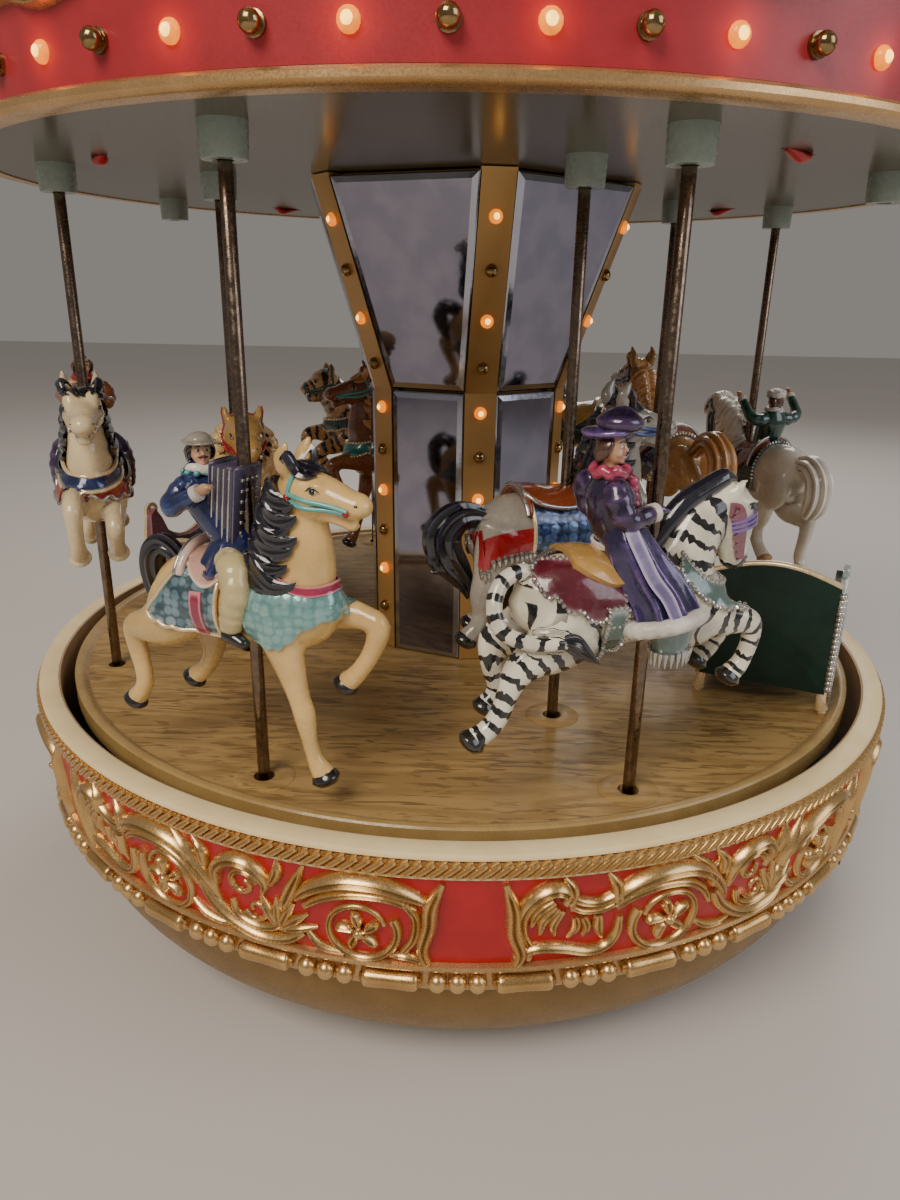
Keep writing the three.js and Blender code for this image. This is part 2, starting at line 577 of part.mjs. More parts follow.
const PRANCING = {
  nearFore: [[15, 46, 6, 4.4], [23, 45, 4, 3.2], [29.6, 45.2, 3, 2.6], [30.4, 38.4, 2.2, 2.1],
    [26.4, 32, 3, 2.6]],
  farFore: [[14, 45, 6, 4.4], [21, 41, 4, 3], [27, 39.6, 2.8, 2.5], [25, 33.6, 2.2, 2.1],
    [20.5, 30.6, 3, 2.6]],
  nearHind: [[-19, 46, 9, 4.8], [-24, 40, 6, 4], [-30, 35.8, 3.4, 3], [-28, 27.4, 2.5, 2.3],
    [-31, 23, 2.4, 2.2], [-37, 21, 3.2, 2.8]],
  farHind: [[-21, 47, 8, 4.8], [-30.6, 43, 4.8, 3.8], [-31.8, 35, 2.8, 2.5], [-30.6, 29, 2.3, 2.1],
    [-34.4, 26.6, 3, 2.6]],
};

const STRIDING = {
  nearFore: [[13, 46, 6, 4.4], [20, 44.4, 4, 3.2], [26, 43.2, 3, 2.6], [25.8, 35.6, 2.2, 2.1],
    [21.8, 30.4, 2.8, 2.5]],
  farFore: [[12, 45, 6, 4.4], [19, 40.8, 4, 3], [25, 39, 2.8, 2.5], [23.4, 33.4, 2.2, 2.1],
    [19.4, 30.6, 3, 2.6]],
  nearHind: [[-22, 47, 9.6, 4.8], [-29, 41.6, 6.4, 4], [-35.4, 36.4, 3.6, 3], [-37, 30, 2.6, 2.3],
    [-39.4, 26.4, 2.5, 2.3], [-43, 24, 3.1, 2.8]],
  farHind: [[-24, 46, 8, 4.8], [-33, 43.4, 4.8, 3.8], [-35.6, 37.6, 2.8, 2.5], [-34.6, 31, 2.3, 2.1],
    [-38, 27.4, 3, 2.6]],
};

const TROTTING = {
  ...PRANCING,
  nearHind: [[-18, 47, 9, 4.6], [-21, 41, 6.6, 4], [-24.4, 34.4, 3.6, 3], [-25.4, 28, 2.6, 2.4],
    [-26, 23.4, 2.4, 2.2], [-28.8, 20.4, 3, 2.7]],
  farHind: LEAPING.farHind,
};

function animal(form, pose, rider = []) {
  const parts = [
    limb(form.body, 8),
    limb(form.neck, 6),
    limb(form.mane, 4),
    limb(form.tail, 4),
    leg(pose.nearFore, -5),
    leg(pose.farFore, 5),
    leg(pose.nearHind, -5),
    leg(pose.farHind, 5),
    ...rider,
  ];
  return joined(parts).subtract(rod(POLE_RADIUS + POLE_CLEARANCE, -20, 160, 6));
}

// Riders: each a seated doll, joined to the animal as one casting
function seatedRider(hipX, hipZ, torso = 20) {
  const head = hipZ + torso + 5.4;
  return [
    limb([[hipX, 0, hipZ - 3, 5, 6], [hipX - 2, 0, hipZ + torso * 0.35, 4.8, 5.6],
      [hipX - 3, 0, hipZ + torso * 0.8, 4.8, 6], [hipX - 3.4, 0, hipZ + torso + 3, 2.2, 2.4]]),
    ball(3.6, hipX - 3.6, 0, head),
    ball(3.9, hipX - 3.6, 0, head + 2.8, [1.1, 1.1, 0.5]),
    ...[-1, 1].flatMap((side) => [
      limb([[hipX, side * 5, hipZ - 1, 3.6, 3.2], [hipX + 5, side * 9.2, hipZ - 3, 3.2, 3],
        [hipX + 4, side * 10.4, hipZ - 9, 2.8, 2.6], [hipX + 4.6, side * 10.6, hipZ - 15.6, 2.6, 2.4]], 4),
      limb([[hipX - 3, side * 5.6, hipZ + torso - 4, 2.4, 2.4],
        [hipX - 2, side * 8.4, hipZ + torso * 0.5, 2.3, 2.2],
        [hipX + 5, side * 4, hipZ + torso * 0.7, 1.9, 1.9]], 4),
    ]),
  ];
}

function accordionPlayer() {
  return [...seatedRider(-6, 56), block(8.4, 13, 16, -1.2, 0, 69.4)];
}

function sideSaddleRider() {
  return [
    limb([[-10, -1, 60, 6, 7], [-12, -1, 69, 4.6, 5.2], [-14, -1, 76, 4.6, 5.4],
      [-14.3, -1, 83.4, 2, 2.4]]),
    limb([[-11, -3, 65, 6, 6], [-7, -7, 57, 7, 5.4], [-2, -9, 51, 7.4, 5], [1, -10.4, 44.4, 8.4, 4.4]]),
    ball(3.7, -14.4, -1, 86),
    ball(5, -15.2, -1, 90.4, [1.1, 1.1, 0.5]),
    limb([[-15.4, -6, 77, 2.6, 2.4], [-11, -8.4, 73, 2.3, 2.2], [-3.4, -3.6, 72.4, 1.8, 1.8]], 4),
    limb([[-15.4, 4, 77, 2.6, 2.4], [-11, 5.8, 73, 2.3, 2.2], [-3.4, 2.4, 72.4, 1.8, 1.8]], 4),
  ];
}

// Each ride: its name, place and ring, how far its pole stands above the bottom of its stroke,
// how much higher than the others its casting sits on the pole, and the casting
const RIDES = [
  { name: "cream_horse", degrees: OUTER_PLACES[0], ring: OUTER_RING, lift: 13, coat: "cream_coat",
    casting: () => animal(HORSE, PRANCING, seatedRider(-9, 56)) },
  { name: "palomino_horse", degrees: OUTER_PLACES[1], ring: OUTER_RING, lift: 0, coat: "cream_coat",
    casting: () => animal(HORSE, LEAPING, accordionPlayer()) },
  { name: "zebra", degrees: OUTER_PLACES[2], ring: OUTER_RING, lift: 7, seat: -7, coat: "zebra_coat",
    casting: () => animal(ZEBRA, STRIDING, sideSaddleRider()) },
  { name: "white_horse", degrees: OUTER_PLACES[3], ring: OUTER_RING, lift: 2, coat: "grey_coat",
    casting: () => animal(ZEBRA, LEAPING, seatedRider(-9, 61, 15.6)) },
  { name: "brown_horse", degrees: OUTER_PLACES[4], ring: OUTER_RING, lift: 11, coat: "tan_coat",
    casting: () => animal(HORSE, LEAPING) },
  { name: "tiger", degrees: OUTER_PLACES[5], ring: OUTER_RING, lift: 7, coat: "tiger_coat",
    casting: () => animal(BIG_CAT, PRANCING) },
  { name: "lion", degrees: INNER_PLACES[0], ring: INNER_RING, lift: 6, coat: "tiger_coat",
    casting: () => animal(BIG_CAT, LEAPING) },
  { name: "grey_horse", degrees: INNER_PLACES[1], ring: INNER_RING, lift: 9, coat: "grey_coat",
    casting: () => animal(HORSE, TROTTING) },
  { name: "tan_horse", degrees: INNER_PLACES[2], ring: INNER_RING, lift: 12, coat: "tan_coat",
    casting: () => animal(HORSE, PRANCING) },
  { name: "chestnut_horse", degrees: INNER_PLACES[3], ring: INNER_RING, lift: 3, coat: "tan_coat",
    casting: () => animal(HORSE, LEAPING) },
];

for (const ride of RIDES) {
  const group = station(ride.degrees, ride.ring);
  group.position.z = ride.lift;
  add(`pole_${ride.name}`, rod(POLE_RADIUS, POLE_BOTTOM, POLE_BOTTOM + POLE_LENGTH, 6), "steel", group);
  add(ride.name, ride.casting(), ride.coat, group).position.z = DECK_TOP + (ride.seat ?? 0);
}

export default carousel;
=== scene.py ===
"""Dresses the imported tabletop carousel: finishes, carving, lamps, animals and riders."""
from __future__ import annotations

import json
import logging
import math
from dataclasses import dataclass, field, replace
from enum import Enum
from typing import Callable, ClassVar, Iterable, Optional, Sequence

import bmesh
import bpy
import numpy as np
from mathutils import Matrix, Vector
from mathutils.bvhtree import BVHTree

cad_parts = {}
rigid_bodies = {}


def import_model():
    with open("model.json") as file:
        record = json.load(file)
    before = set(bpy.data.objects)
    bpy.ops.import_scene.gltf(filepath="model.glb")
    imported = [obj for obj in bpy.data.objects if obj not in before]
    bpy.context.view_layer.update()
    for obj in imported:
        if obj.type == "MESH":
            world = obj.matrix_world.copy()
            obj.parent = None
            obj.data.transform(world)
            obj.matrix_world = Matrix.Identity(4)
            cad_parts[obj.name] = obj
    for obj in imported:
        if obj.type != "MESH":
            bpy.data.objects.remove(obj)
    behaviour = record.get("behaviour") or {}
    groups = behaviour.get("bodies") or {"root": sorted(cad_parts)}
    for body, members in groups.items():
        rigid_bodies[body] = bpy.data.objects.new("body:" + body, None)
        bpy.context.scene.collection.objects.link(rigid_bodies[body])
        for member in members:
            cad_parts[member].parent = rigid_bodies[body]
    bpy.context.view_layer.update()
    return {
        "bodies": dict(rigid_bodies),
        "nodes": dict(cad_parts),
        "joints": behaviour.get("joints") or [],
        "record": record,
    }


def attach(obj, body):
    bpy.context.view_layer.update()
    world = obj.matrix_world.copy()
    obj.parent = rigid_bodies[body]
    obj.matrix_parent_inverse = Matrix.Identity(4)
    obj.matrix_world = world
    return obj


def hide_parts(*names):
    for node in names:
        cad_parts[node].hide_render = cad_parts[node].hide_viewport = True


LOG = logging.getLogger("carousel")
MM = 0.001
Colour = tuple[float, float, float]
Rows = Sequence[Sequence[float]]

# Sizes in millimetres, angles in degrees and the number of bays, as in the CAD model
RIM_RADIUS = 140.0
DECK_TOP = 78.0
CEILING_Z = 222.8
FASCIA_FOOT = 225.9
FASCIA_TOP = 275.0
BAYS = 7
OUTER_RING = 117.6
INNER_RING = 75.6
CHARIOT_RING = 106.0
OUTER_PLACES = (-67.5, -22.5, 22.5, 112.5, 157.5, -157.5)
INNER_PLACES = (-67.5, 22.5, 112.5, -157.5)
CHARIOT_PLACES = (67.5, -112.5)
POLE_PLACES = tuple((a, OUTER_RING) for a in OUTER_PLACES) + tuple((a, INNER_RING) for a in INNER_PLACES)

# The height and number of the canopy's lamps, and the sides of a turned shape
LAMP_Z = 231.7
LAMPS = 28
TURNED_SIDES = 180


class Body(str, Enum):
    """The CAD bodies that carry pieces, other than the rides."""

    BASE = "base"
    TURNTABLE = "turntable"


# Objects


def linked(name: str, data: bpy.types.ID) -> bpy.types.Object:
    """Makes an object of a mesh, curve, light or camera and puts it in the scene."""
    piece = bpy.data.objects.new(name, data)
    bpy.context.scene.collection.objects.link(piece)
    return piece


def evaluated(source: bpy.types.Object) -> bpy.types.Mesh:
    """The plain mesh of an object with its modifiers applied."""
    return bpy.data.meshes.new_from_object(source.evaluated_get(bpy.context.evaluated_depsgraph_get()))


def settled(source: bpy.types.Object, name: str) -> bpy.types.Object:
    """Makes a plain mesh object of an object with modifiers, which is removed."""
    mesh = evaluated(source)
    bpy.data.objects.remove(source)
    mesh.name = name
    return linked(name, mesh)


# Shapes


@dataclass
class Shape:
    """A mesh in millimetres."""

    points: np.ndarray
    faces: list[tuple[int, ...]]

    @staticmethod
    def joined(shapes: Iterable["Shape"]) -> "Shape":
        """Puts several shapes into one, without merging them."""
        points, faces, start = [], [], 0
        for shape in shapes:
            points.append(shape.points)
            faces += [tuple(i + start for i in face) for face in shape.faces]
            start += len(shape.points)
        return Shape(np.concatenate(points), faces)

    def mapped(self, place: Callable[[np.ndarray], np.ndarray]) -> "Shape":
        """Returns the shape with every point moved by a function of all the points."""
        return Shape(place(self.points), self.faces)

    def mesh(self, name: str) -> bpy.types.Mesh:
        """Makes a Blender mesh in metres, with its faces turned outward."""
        mesh = bpy.data.meshes.new(name)
        mesh.from_pydata((self.points * MM).tolist(), [], self.faces)
        work = bmesh.new()
        work.from_mesh(mesh)
        bmesh.ops.remove_doubles(work, verts=work.verts, dist=1e-6)
        bmesh.ops.recalc_face_normals(work, faces=work.faces)
        work.to_mesh(mesh)
        work.free()
        return mesh


def smooth_rows(rows: Rows, per_span: int) -> np.ndarray:
    """Runs a smooth curve through rows of numbers.

    Args:
        rows: The rows to pass through, each with the same count of numbers.
        per_span: How many steps lie between two rows.

    Returns:
        The finer rows, the given ones among them.
    """
    knots = np.asarray(rows, float)
    padded = np.vstack([2 * knots[0] - knots[1], knots, 2 * knots[-1] - knots[-2]])
    out = []
    for i in range(len(knots) - 1):
        a, b, c, d = padded[i:i + 4]
        for t in np.arange(per_span) / per_span:
            out.append(0.5 * (2 * b + (c - a) * t + (2 * a - 5 * b + 4 * c - d) * t ** 2
                              + (3 * b - a - 3 * c + d) * t ** 3))
    out.append(knots[-1])
    return np.array(out)


def skin(rings: np.ndarray, closed: bool = False) -> Shape:
    """Joins rings of points by a closed surface.

    Args:
        rings: An array of rings, each of the same count of points.
        closed: Whether the last ring joins the first; otherwise both ends get a lid.

    Returns:
        The shape.
    """
    rows, sides, _ = rings.shape
    faces: list[tuple[int, ...]] = []
    for r in range(rows if closed else rows - 1):
        low, high = r * sides, (r + 1) % rows * sides
        for s in range(sides):
            n = (s + 1) % sides
            faces.append((low + s, low + n, high + n, high + s))
    points = rings.reshape(-1, 3)
    if not closed:
        ends = (rings[0].mean(0), rings[-1].mean(0))
        points = np.vstack([points, ends])
        for s in range(sides):
            n = (s + 1) % sides
            last = (rows - 1) * sides
            faces.append((n, s, rows * sides))
            faces.append((last + s, last + n, rows * sides + 1))
    return Shape(points, faces)


def shell(low: np.ndarray, high: np.ndarray) -> Shape:
    """Closes the space between two sheets of points that face each other."""
    rows, cols, _ = low.shape
    count = rows * cols
    faces: list[tuple[int, ...]] = []
    for r in range(rows - 1):
        for c in range(cols - 1):
            a, b = r * cols + c, (r + 1) * cols + c
            faces.append((a, b, b + 1, a + 1))
            faces.append((count + a, count + a + 1, count + b + 1, count + b))
    edge = list(range(cols)) + [r * cols + cols - 1 for r in range(1, rows)]
    edge += [(rows - 1) * cols + c for c in range(cols - 2, -1, -1)]
    edge += [r * cols for r in range(rows - 2, 0, -1)]
    for a, b in zip(edge, edge[1:] + edge[:1]):
        faces.append((a, b, count + b, count + a))
    return Shape(np.concatenate([low.reshape(-1, 3), high.reshape(-1, 3)]), faces)


def turned(outline: Rows, sides: int = TURNED_SIDES) -> Shape:
    """Turns a closed outline of radius and height about the upright axis."""
    outline = [tuple(p) for p in outline]
    angles = np.arange(sides) * 2 * math.pi / sides
    points, rows = [], []
    for radius, height in outline:
        if radius < 1e-6:
            rows.append([len(points)] * sides)
            points.append((0, 0, height))
        else:
            rows.append(list(range(len(points), len(points) + sides)))
            points += [(radius * math.sin(a), -radius * math.cos(a), height) for a in angles]
    faces = []
    for low, high in zip(rows, rows[1:] + rows[:1]):
        for s in range(sides):
            n = (s + 1) % sides
            corners = dict.fromkeys((low[s], low[n], high[n], high[s]))
            if len(corners) > 2:
                faces.append(tuple(corners))
    return Shape(np.array(points, float), faces)


def ball(centre: Sequence[float], radii: Sequence[float], sides: int = 14, rows: int = 9) -> Shape:
    """An ellipsoid."""
    rings = []
    for latitude in np.linspace(-math.pi / 2, math.pi / 2, rows)[1:-1]:
        turn = np.arange(sides) * 2 * math.pi / sides
        ring = np.stack([np.cos(latitude) * np.cos(turn), np.cos(latitude) * np.sin(turn),
                         np.full(sides, math.sin(latitude))], 1)
        rings.append(ring)
    shape = skin(np.array(rings))
    shape.points[-2] = (0, 0, -1)
    shape.points[-1] = (0, 0, 1)
    return Shape(shape.points * np.asarray(radii) + np.asarray(centre), shape.faces)


def box(centre: Sequence[float], size: Sequence[float]) -> Shape:
    """A box with its sides along the axes."""
    half = np.asarray(size) / 2
    low = np.array([[[x, y, -1] for y in (-1, 1)] for x in (-1, 1)], float) * half + centre
    high = np.array([[[x, y, 1] for y in (-1, 1)] for x in (-1, 1)], float) * half + centre
    return shell(low, high)


@dataclass
class Loft:
    """A tapered, rounded limb through stations of x, y, z, half height and half width.

    At an angle of 0 degrees a ring's point lies on the limb's upper or hind side, at 90 on its +Y side.
    Given a coat, points asked for lie on that surface where it is near the limb's own.
    """

    stations: Rows
    sides: int = 18
    per_span: int = 5
    coat: Optional[BVHTree] = None
    rows: np.ndarray = field(init=False)
    frames: np.ndarray = field(init=False)

    def __post_init__(self) -> None:
        """Works out the finer stations and the directions across them."""
        self.rows = smooth_rows(self.stations, self.per_span)
        self.rows[:, 3:5] = np.maximum(self.rows[:, 3:5], 0.15)
        centres = self.rows[:, :3]
        tangents = np.gradient(centres, axis=0)
        tangents /= np.linalg.norm(tangents, axis=1)[:, None]
        across = np.array([0.0, 1.0, 0.0])
        up = np.cross(tangents, across)
        flat = np.linalg.norm(up, axis=1) < 0.15
        up[flat] = (0, 0, 1)
        up /= np.linalg.norm(up, axis=1)[:, None]
        self.frames = np.stack([tangents, up, np.cross(up, tangents)], 1)

    def at(self, station: float, degrees: float, lift: float = 0.0) -> np.ndarray:
        """The point at a fractional station and an angle, lifted off the surface."""
        spot = np.clip(station * self.per_span, 0, len(self.rows) - 1)
        low = min(int(spot), len(self.rows) - 2)
        share = spot - low
        row = self.rows[low] * (1 - share) + self.rows[low + 1] * share
        frame = self.frames[low] * (1 - share) + self.frames[low + 1] * share
        angle = math.radians(degrees)
        spoke = np.array([math.cos(angle) * row[3], math.sin(angle) * row[4]]) @ frame[1:]
        point = row[:3] + spoke
        out = spoke / (np.linalg.norm(spoke) + 1e-9)
        if self.coat is not None:
            hit = self.coat.ray_cast(Vector(point + out * 4.5), Vector(-out), 8.0)[0]
            point = point if hit is None else np.array(hit)
        return point + out * lift

    def shape(self) -> Shape:
        """The closed limb, with rounded ends."""
        turn = np.arange(self.sides) * 2 * math.pi / self.sides
        rings = []
        ends = []
        for i, share in ((0, -1), (len(self.rows) - 1, 1)):
            dome = []
            for tilt in (75, 45):
                size = math.cos(math.radians(tilt))
                push = math.sin(math.radians(tilt)) * min(self.rows[i, 3], self.rows[i, 4]) * 0.55
                dome.append((i, size, share * push))
            ends.append(dome)
        plan = ends[0] + [(i, 1.0, 0.0) for i in range(len(self.rows))] + ends[1][::-1]
        for i, size, push in plan:
            row, frame = self.rows[i], self.frames[i]
            centre = row[:3] + frame[0] * push
            rings.append(centre + np.outer(np.cos(turn) * row[3] * size, frame[1])
                         + np.outer(np.sin(turn) * row[4] * size, frame[2]))
        return skin(np.array(rings))

    def patch(self, edges: Callable[[float], tuple[float, float]], start: float, end: float, lift: float,
              thick: float, rows: int = 14, cols: int = 18) -> Shape:
        """A skin that lies on the limb, such as a cloth or a strap.

        Args:
            edges: Gives the two angles that the skin spans, for a share from 0 to 1 along it.
            start: The station where it starts.
            end: The station where it ends.
            lift: Its height off the surface.
            thick: Its thickness.
            rows: Its faces along the limb.
            cols: Its faces round the limb.

        Returns:
            The closed skin.
        """
        sheets = []
        for height in (lift, lift + thick):
            sheet = []
            for share in np.linspace(0, 1, rows + 1):
                low, high = edges(share)
                sheet.append([self.at(start + (end - start) * share, a, height)
                              for a in np.linspace(low, high, cols + 1)])
            sheets.append(np.array(sheet))
        return shell(*sheets)

    def strap(self, station: float, width: float, lift: float = 0.0, thick: float = 0.7,
              tilt: float = 0.0, span: tuple[float, float] = (-180, 180)) -> Shape:
        """A strap round the limb at a station, its far side further along by tilt."""
        angles = np.linspace(span[0], span[1], 33)
        middle = np.array([self.at(station + tilt * math.cos(math.radians(a)), a, lift) for a in angles])
        outer = np.array([self.at(station + tilt * math.cos(math.radians(a)), a, lift + thick)
                          for a in angles])
        along = np.cross(np.gradient(middle, axis=0), outer - middle)
        along /= np.linalg.norm(along, axis=1)[:, None]
        half = along * width / 2
        low = np.stack([middle - half, middle + half], 1)
        high = np.stack([outer - half * 0.8, outer + half * 0.8], 1)
        return shell(low, high)


def tube(path: Rows, radius: float | Sequence[float], sides: int = 8, per_span: int = 4,
         flat: float = 1.0, lobes: int = 0, outward: Optional[Rows] = None) -> Shape:
    """A round or flattened tube along a path in any direction.

    Args:
        path: The points that it follows.
        radius: One radius, or one for each point.
        sides: Its sides.
        per_span: The steps between two points.
        flat: Its second radius as a share of the first.
        lobes: How many rounded ridges run along it.
        outward: The direction of the flattened radius at each point, if it matters.

    Returns:
        The closed tube.
    """
    radii = [radius] * len(path) if isinstance(radius, (int, float)) else list(radius)
    aims = np.zeros((len(path), 3)) if outward is None else np.asarray(outward, float)
    rows = smooth_rows([[*p, r, *a] for p, r, a in zip(path, radii, aims)], per_span)
    centres = rows[:, :3]
    tangents = np.gradient(centres, axis=0)
    tangents /= np.linalg.norm(tangents, axis=1)[:, None] + 1e-12
    normal = np.cross(tangents[0], (0.31, 0.77, 0.55))
    turn = np.arange(sides) * 2 * math.pi / sides
    swell = 1 + (0.13 * np.cos(lobes * turn) if lobes else 0 * turn)
    rings = []
    for row, tangent in zip(rows, tangents):
        normal = normal - tangent * normal.dot(tangent) if outward is None else np.cross(row[4:7], tangent)
        normal /= np.linalg.norm(normal) + 1e-12
        side = np.cross(tangent, normal)
        size = max(row[3], 0.05) * swell
        rings.append(row[:3] + np.outer(np.cos(turn) * size, normal)
                     + np.outer(np.sin(turn) * size * flat, side))
    return skin(np.array(rings))


# A carved rib's height as a share of its width, the width at which a set height is reached, and the
# width past which its top is grooved, by a share of its height
RIB_RISE = 0.62
FULL_WIDTH = 1.6
GROOVED_WIDTH = 1.7
GROOVE = 0.2


def ribbon(rows: Rows, height: Optional[float] = None, across: int = 6, per_span: int = 4,
           sunk: float = 0.5) -> Shape:
    """A carved rib on a flat ground, through rows of run, height above the table and width.

    Args:
        rows: The rows that it passes through.
        height: How far it stands proud; if None, a share of its width.
        across: The faces across its rounded top.
        per_span: The steps between two rows.
        sunk: How deep its foot lies in the ground.

    Returns:
        The rib, its points as run, height above the table and distance off the ground.
    """
    fine = smooth_rows(rows, per_span)
    flat = fine[:, :2]
    tangents = np.gradient(flat, axis=0)
    tangents /= np.linalg.norm(tangents, axis=1)[:, None] + 1e-12
    normals = np.stack([-tangents[:, 1], tangents[:, 0]], 1)
    spread = np.linspace(-1, 1, across + 1)
    rings = []
    for centre, normal, width in zip(flat, normals, np.maximum(fine[:, 2], 0.3)):
        rise = RIB_RISE * width if height is None else height * min(1.0, width / FULL_WIDTH)
        proud = rise * (1 - spread ** 2) ** 0.5
        if width > GROOVED_WIDTH:
            proud = proud * (1 - GROOVE * np.cos(2 * math.pi * spread))
        top = [[*(centre + normal * t * width / 2), d] for t, d in zip(spread, proud)]
        foot = [[*(centre + normal * t * width / 2), -sunk] for t in (1, -1)]
        rings.append(top + foot)
    return skin(np.array(rings))


def spiral(x: float, z: float, radius: tuple[float, float], turn: tuple[float, float],
           width: tuple[float, float], steps: int = 14) -> list[tuple[float, float, float]]:
    """Rows of a rib that curls round a centre, between two radii, angles in degrees and widths."""
    rows = []
    for share in np.linspace(0, 1, steps):
        r = radius[0] + (radius[1] - radius[0]) * share
        a = math.radians(turn[0] + (turn[1] - turn[0]) * share)
        rows.append((x + r * math.cos(a), z + r * math.sin(a), width[0] + (width[1] - width[0]) * share))
    return rows


def wrapped(shape: Shape, surface: float | Callable[[np.ndarray], np.ndarray],
            run_radius: float = RIM_RADIUS) -> Shape:
    """Bends a flat carving of run, height and depth round the front, onto a radius or a profile of radii."""
    run, height, depth = shape.points.T
    angle = run / run_radius
    radius = (surface(height) if callable(surface) else surface) + depth
    return Shape(np.stack([radius * np.sin(angle), -radius * np.cos(angle), height], 1), shape.faces)


def at_place(degrees: float, radius: float, rise: float = 0.0) -> Callable[[np.ndarray], np.ndarray]:
    """Moves points from a place's own axes, +X the way of travel and -Y outward, to the carousel's."""
    a = math.radians(degrees)
    turn = np.array([[math.cos(a), math.sin(a), 0], [-math.sin(a), math.cos(a), 0], [0, 0, 1]])
    shift = np.array([radius * math.sin(a), -radius * math.cos(a), rise])
    return lambda points: points @ turn + shift


# Geometry Nodes


class Pattern:
    """A Geometry Nodes tree with named inputs, whose result becomes a plain mesh."""

    inputs: tuple[tuple[str, str], ...] = ()

    def __init__(self, name: str) -> None:
        """Makes the tree with the class's inputs."""
        self.tree = bpy.data.node_groups.new(name, "GeometryNodeTree")
        self.tree.interface.new_socket("Geometry", in_out="OUTPUT", socket_type="NodeSocketGeometry")
        self.names = {}
        for label, kind in self.inputs:
            socket = self.tree.interface.new_socket(label, in_out="INPUT", socket_type=kind)
            self.names[label] = socket.identifier
        self.source = self.tree.nodes.new("NodeGroupInput")
        self.result = self.tree.nodes.new("NodeGroupOutput")
        self.wire()

    def wire(self) -> None:
        """Fills the tree; each pattern has its own."""
        raise NotImplementedError

    def node(self, kind: str, **values: object) -> bpy.types.Node:
        """Adds a node and links or sets its inputs by index name such as i0."""
        node = self.tree.nodes.new(kind)
        for key, value in values.items():
            if key[0] == "i" and key[1:].isdigit():
                socket = node.inputs[int(key[1:])]
                if isinstance(value, bpy.types.NodeSocket):
                    self.tree.links.new(value, socket)
                else:
                    socket.default_value = value
            else:
                setattr(node, key, value)
        return node

    def close(self, geometry: bpy.types.NodeSocket, finish: bpy.types.NodeSocket) -> None:
        """Ends the tree in Realize Instances and Set Material."""
        real = self.node("GeometryNodeRealizeInstances", i0=geometry)
        dressed = self.node("GeometryNodeSetMaterial", i0=real.outputs[0], i2=finish)
        self.tree.links.new(dressed.outputs[0], self.result.inputs[0])

    def make(self, name: str, **values: object) -> bpy.types.Object:
        """Runs the tree on its inputs and returns a plain mesh object."""
        holder = linked(name + "_source", bpy.data.meshes.new(name + "_source"))
        modifier = holder.modifiers.new("pattern", "NODES")
        modifier.node_group = self.tree
        for label, value in values.items():
            modifier[self.names[label]] = value
        bpy.context.view_layer.update()
        return settled(holder, name)


class RoundPattern(Pattern):
    """Repeats a template about the upright axis, from a start angle by a step, both in radians."""

    inputs = (("Template", "NodeSocketObject"), ("Count", "NodeSocketInt"), ("Start", "NodeSocketFloat"),
              ("Step", "NodeSocketFloat"), ("Finish", "NodeSocketMaterial"))

    def wire(self) -> None:
        """Puts the template on a row of points at the axis and turns each by its index."""
        template, count, start, step, finish = self.source.outputs[:5]
        spots = self.node("GeometryNodePoints", i0=count)
        index = self.node("GeometryNodeInputIndex")
        turn = self.node("ShaderNodeMath", operation="MULTIPLY_ADD", i0=index.outputs[0], i1=step, i2=start)
        angles = self.node("ShaderNodeCombineXYZ", i2=turn.outputs[0])
        shape = self.node("GeometryNodeObjectInfo", i0=template)
        copies = self.node("GeometryNodeInstanceOnPoints", i0=spots.outputs[0], i2=shape.outputs["Geometry"],
                           i5=angles.outputs[0])
        self.close(copies.outputs[0], finish)


class TrailPattern(Pattern):
    """Sets a template along curves at a spacing, its X axis along them."""

    inputs = (("Trail", "NodeSocketObject"), ("Template", "NodeSocketObject"), ("Spacing", "NodeSocketFloat"),
              ("Finish", "NodeSocketMaterial"))

    def wire(self) -> None:
        """Resamples the curves by length and aligns each copy's X axis to the curve's tangent."""
        trail, template, spacing, finish = self.source.outputs[:4]
        line = self.node("GeometryNodeObjectInfo", i0=trail)
        spots = self.node("GeometryNodeResampleCurve", i0=line.outputs["Geometry"])
        if "mode" in spots.bl_rna.properties:
            spots.mode = "LENGTH"
        self.tree.links.new(spacing, next(s for s in spots.inputs if s.name == "Length"))
        tangent = self.node("GeometryNodeInputTangent")
        aim = self.node("FunctionNodeAlignRotationToVector", axis="X")
        self.tree.links.new(tangent.outputs[0], aim.inputs["Vector"])
        shape = self.node("GeometryNodeObjectInfo", i0=template)
        copies = self.node("GeometryNodeInstanceOnPoints", i0=spots.outputs[0], i2=shape.outputs["Geometry"],
                           i5=aim.outputs[0])
        self.close(copies.outputs[0], finish)


# Finishes

COAT_ROUGHNESS = 0.08
FILM_IOR = 1.5


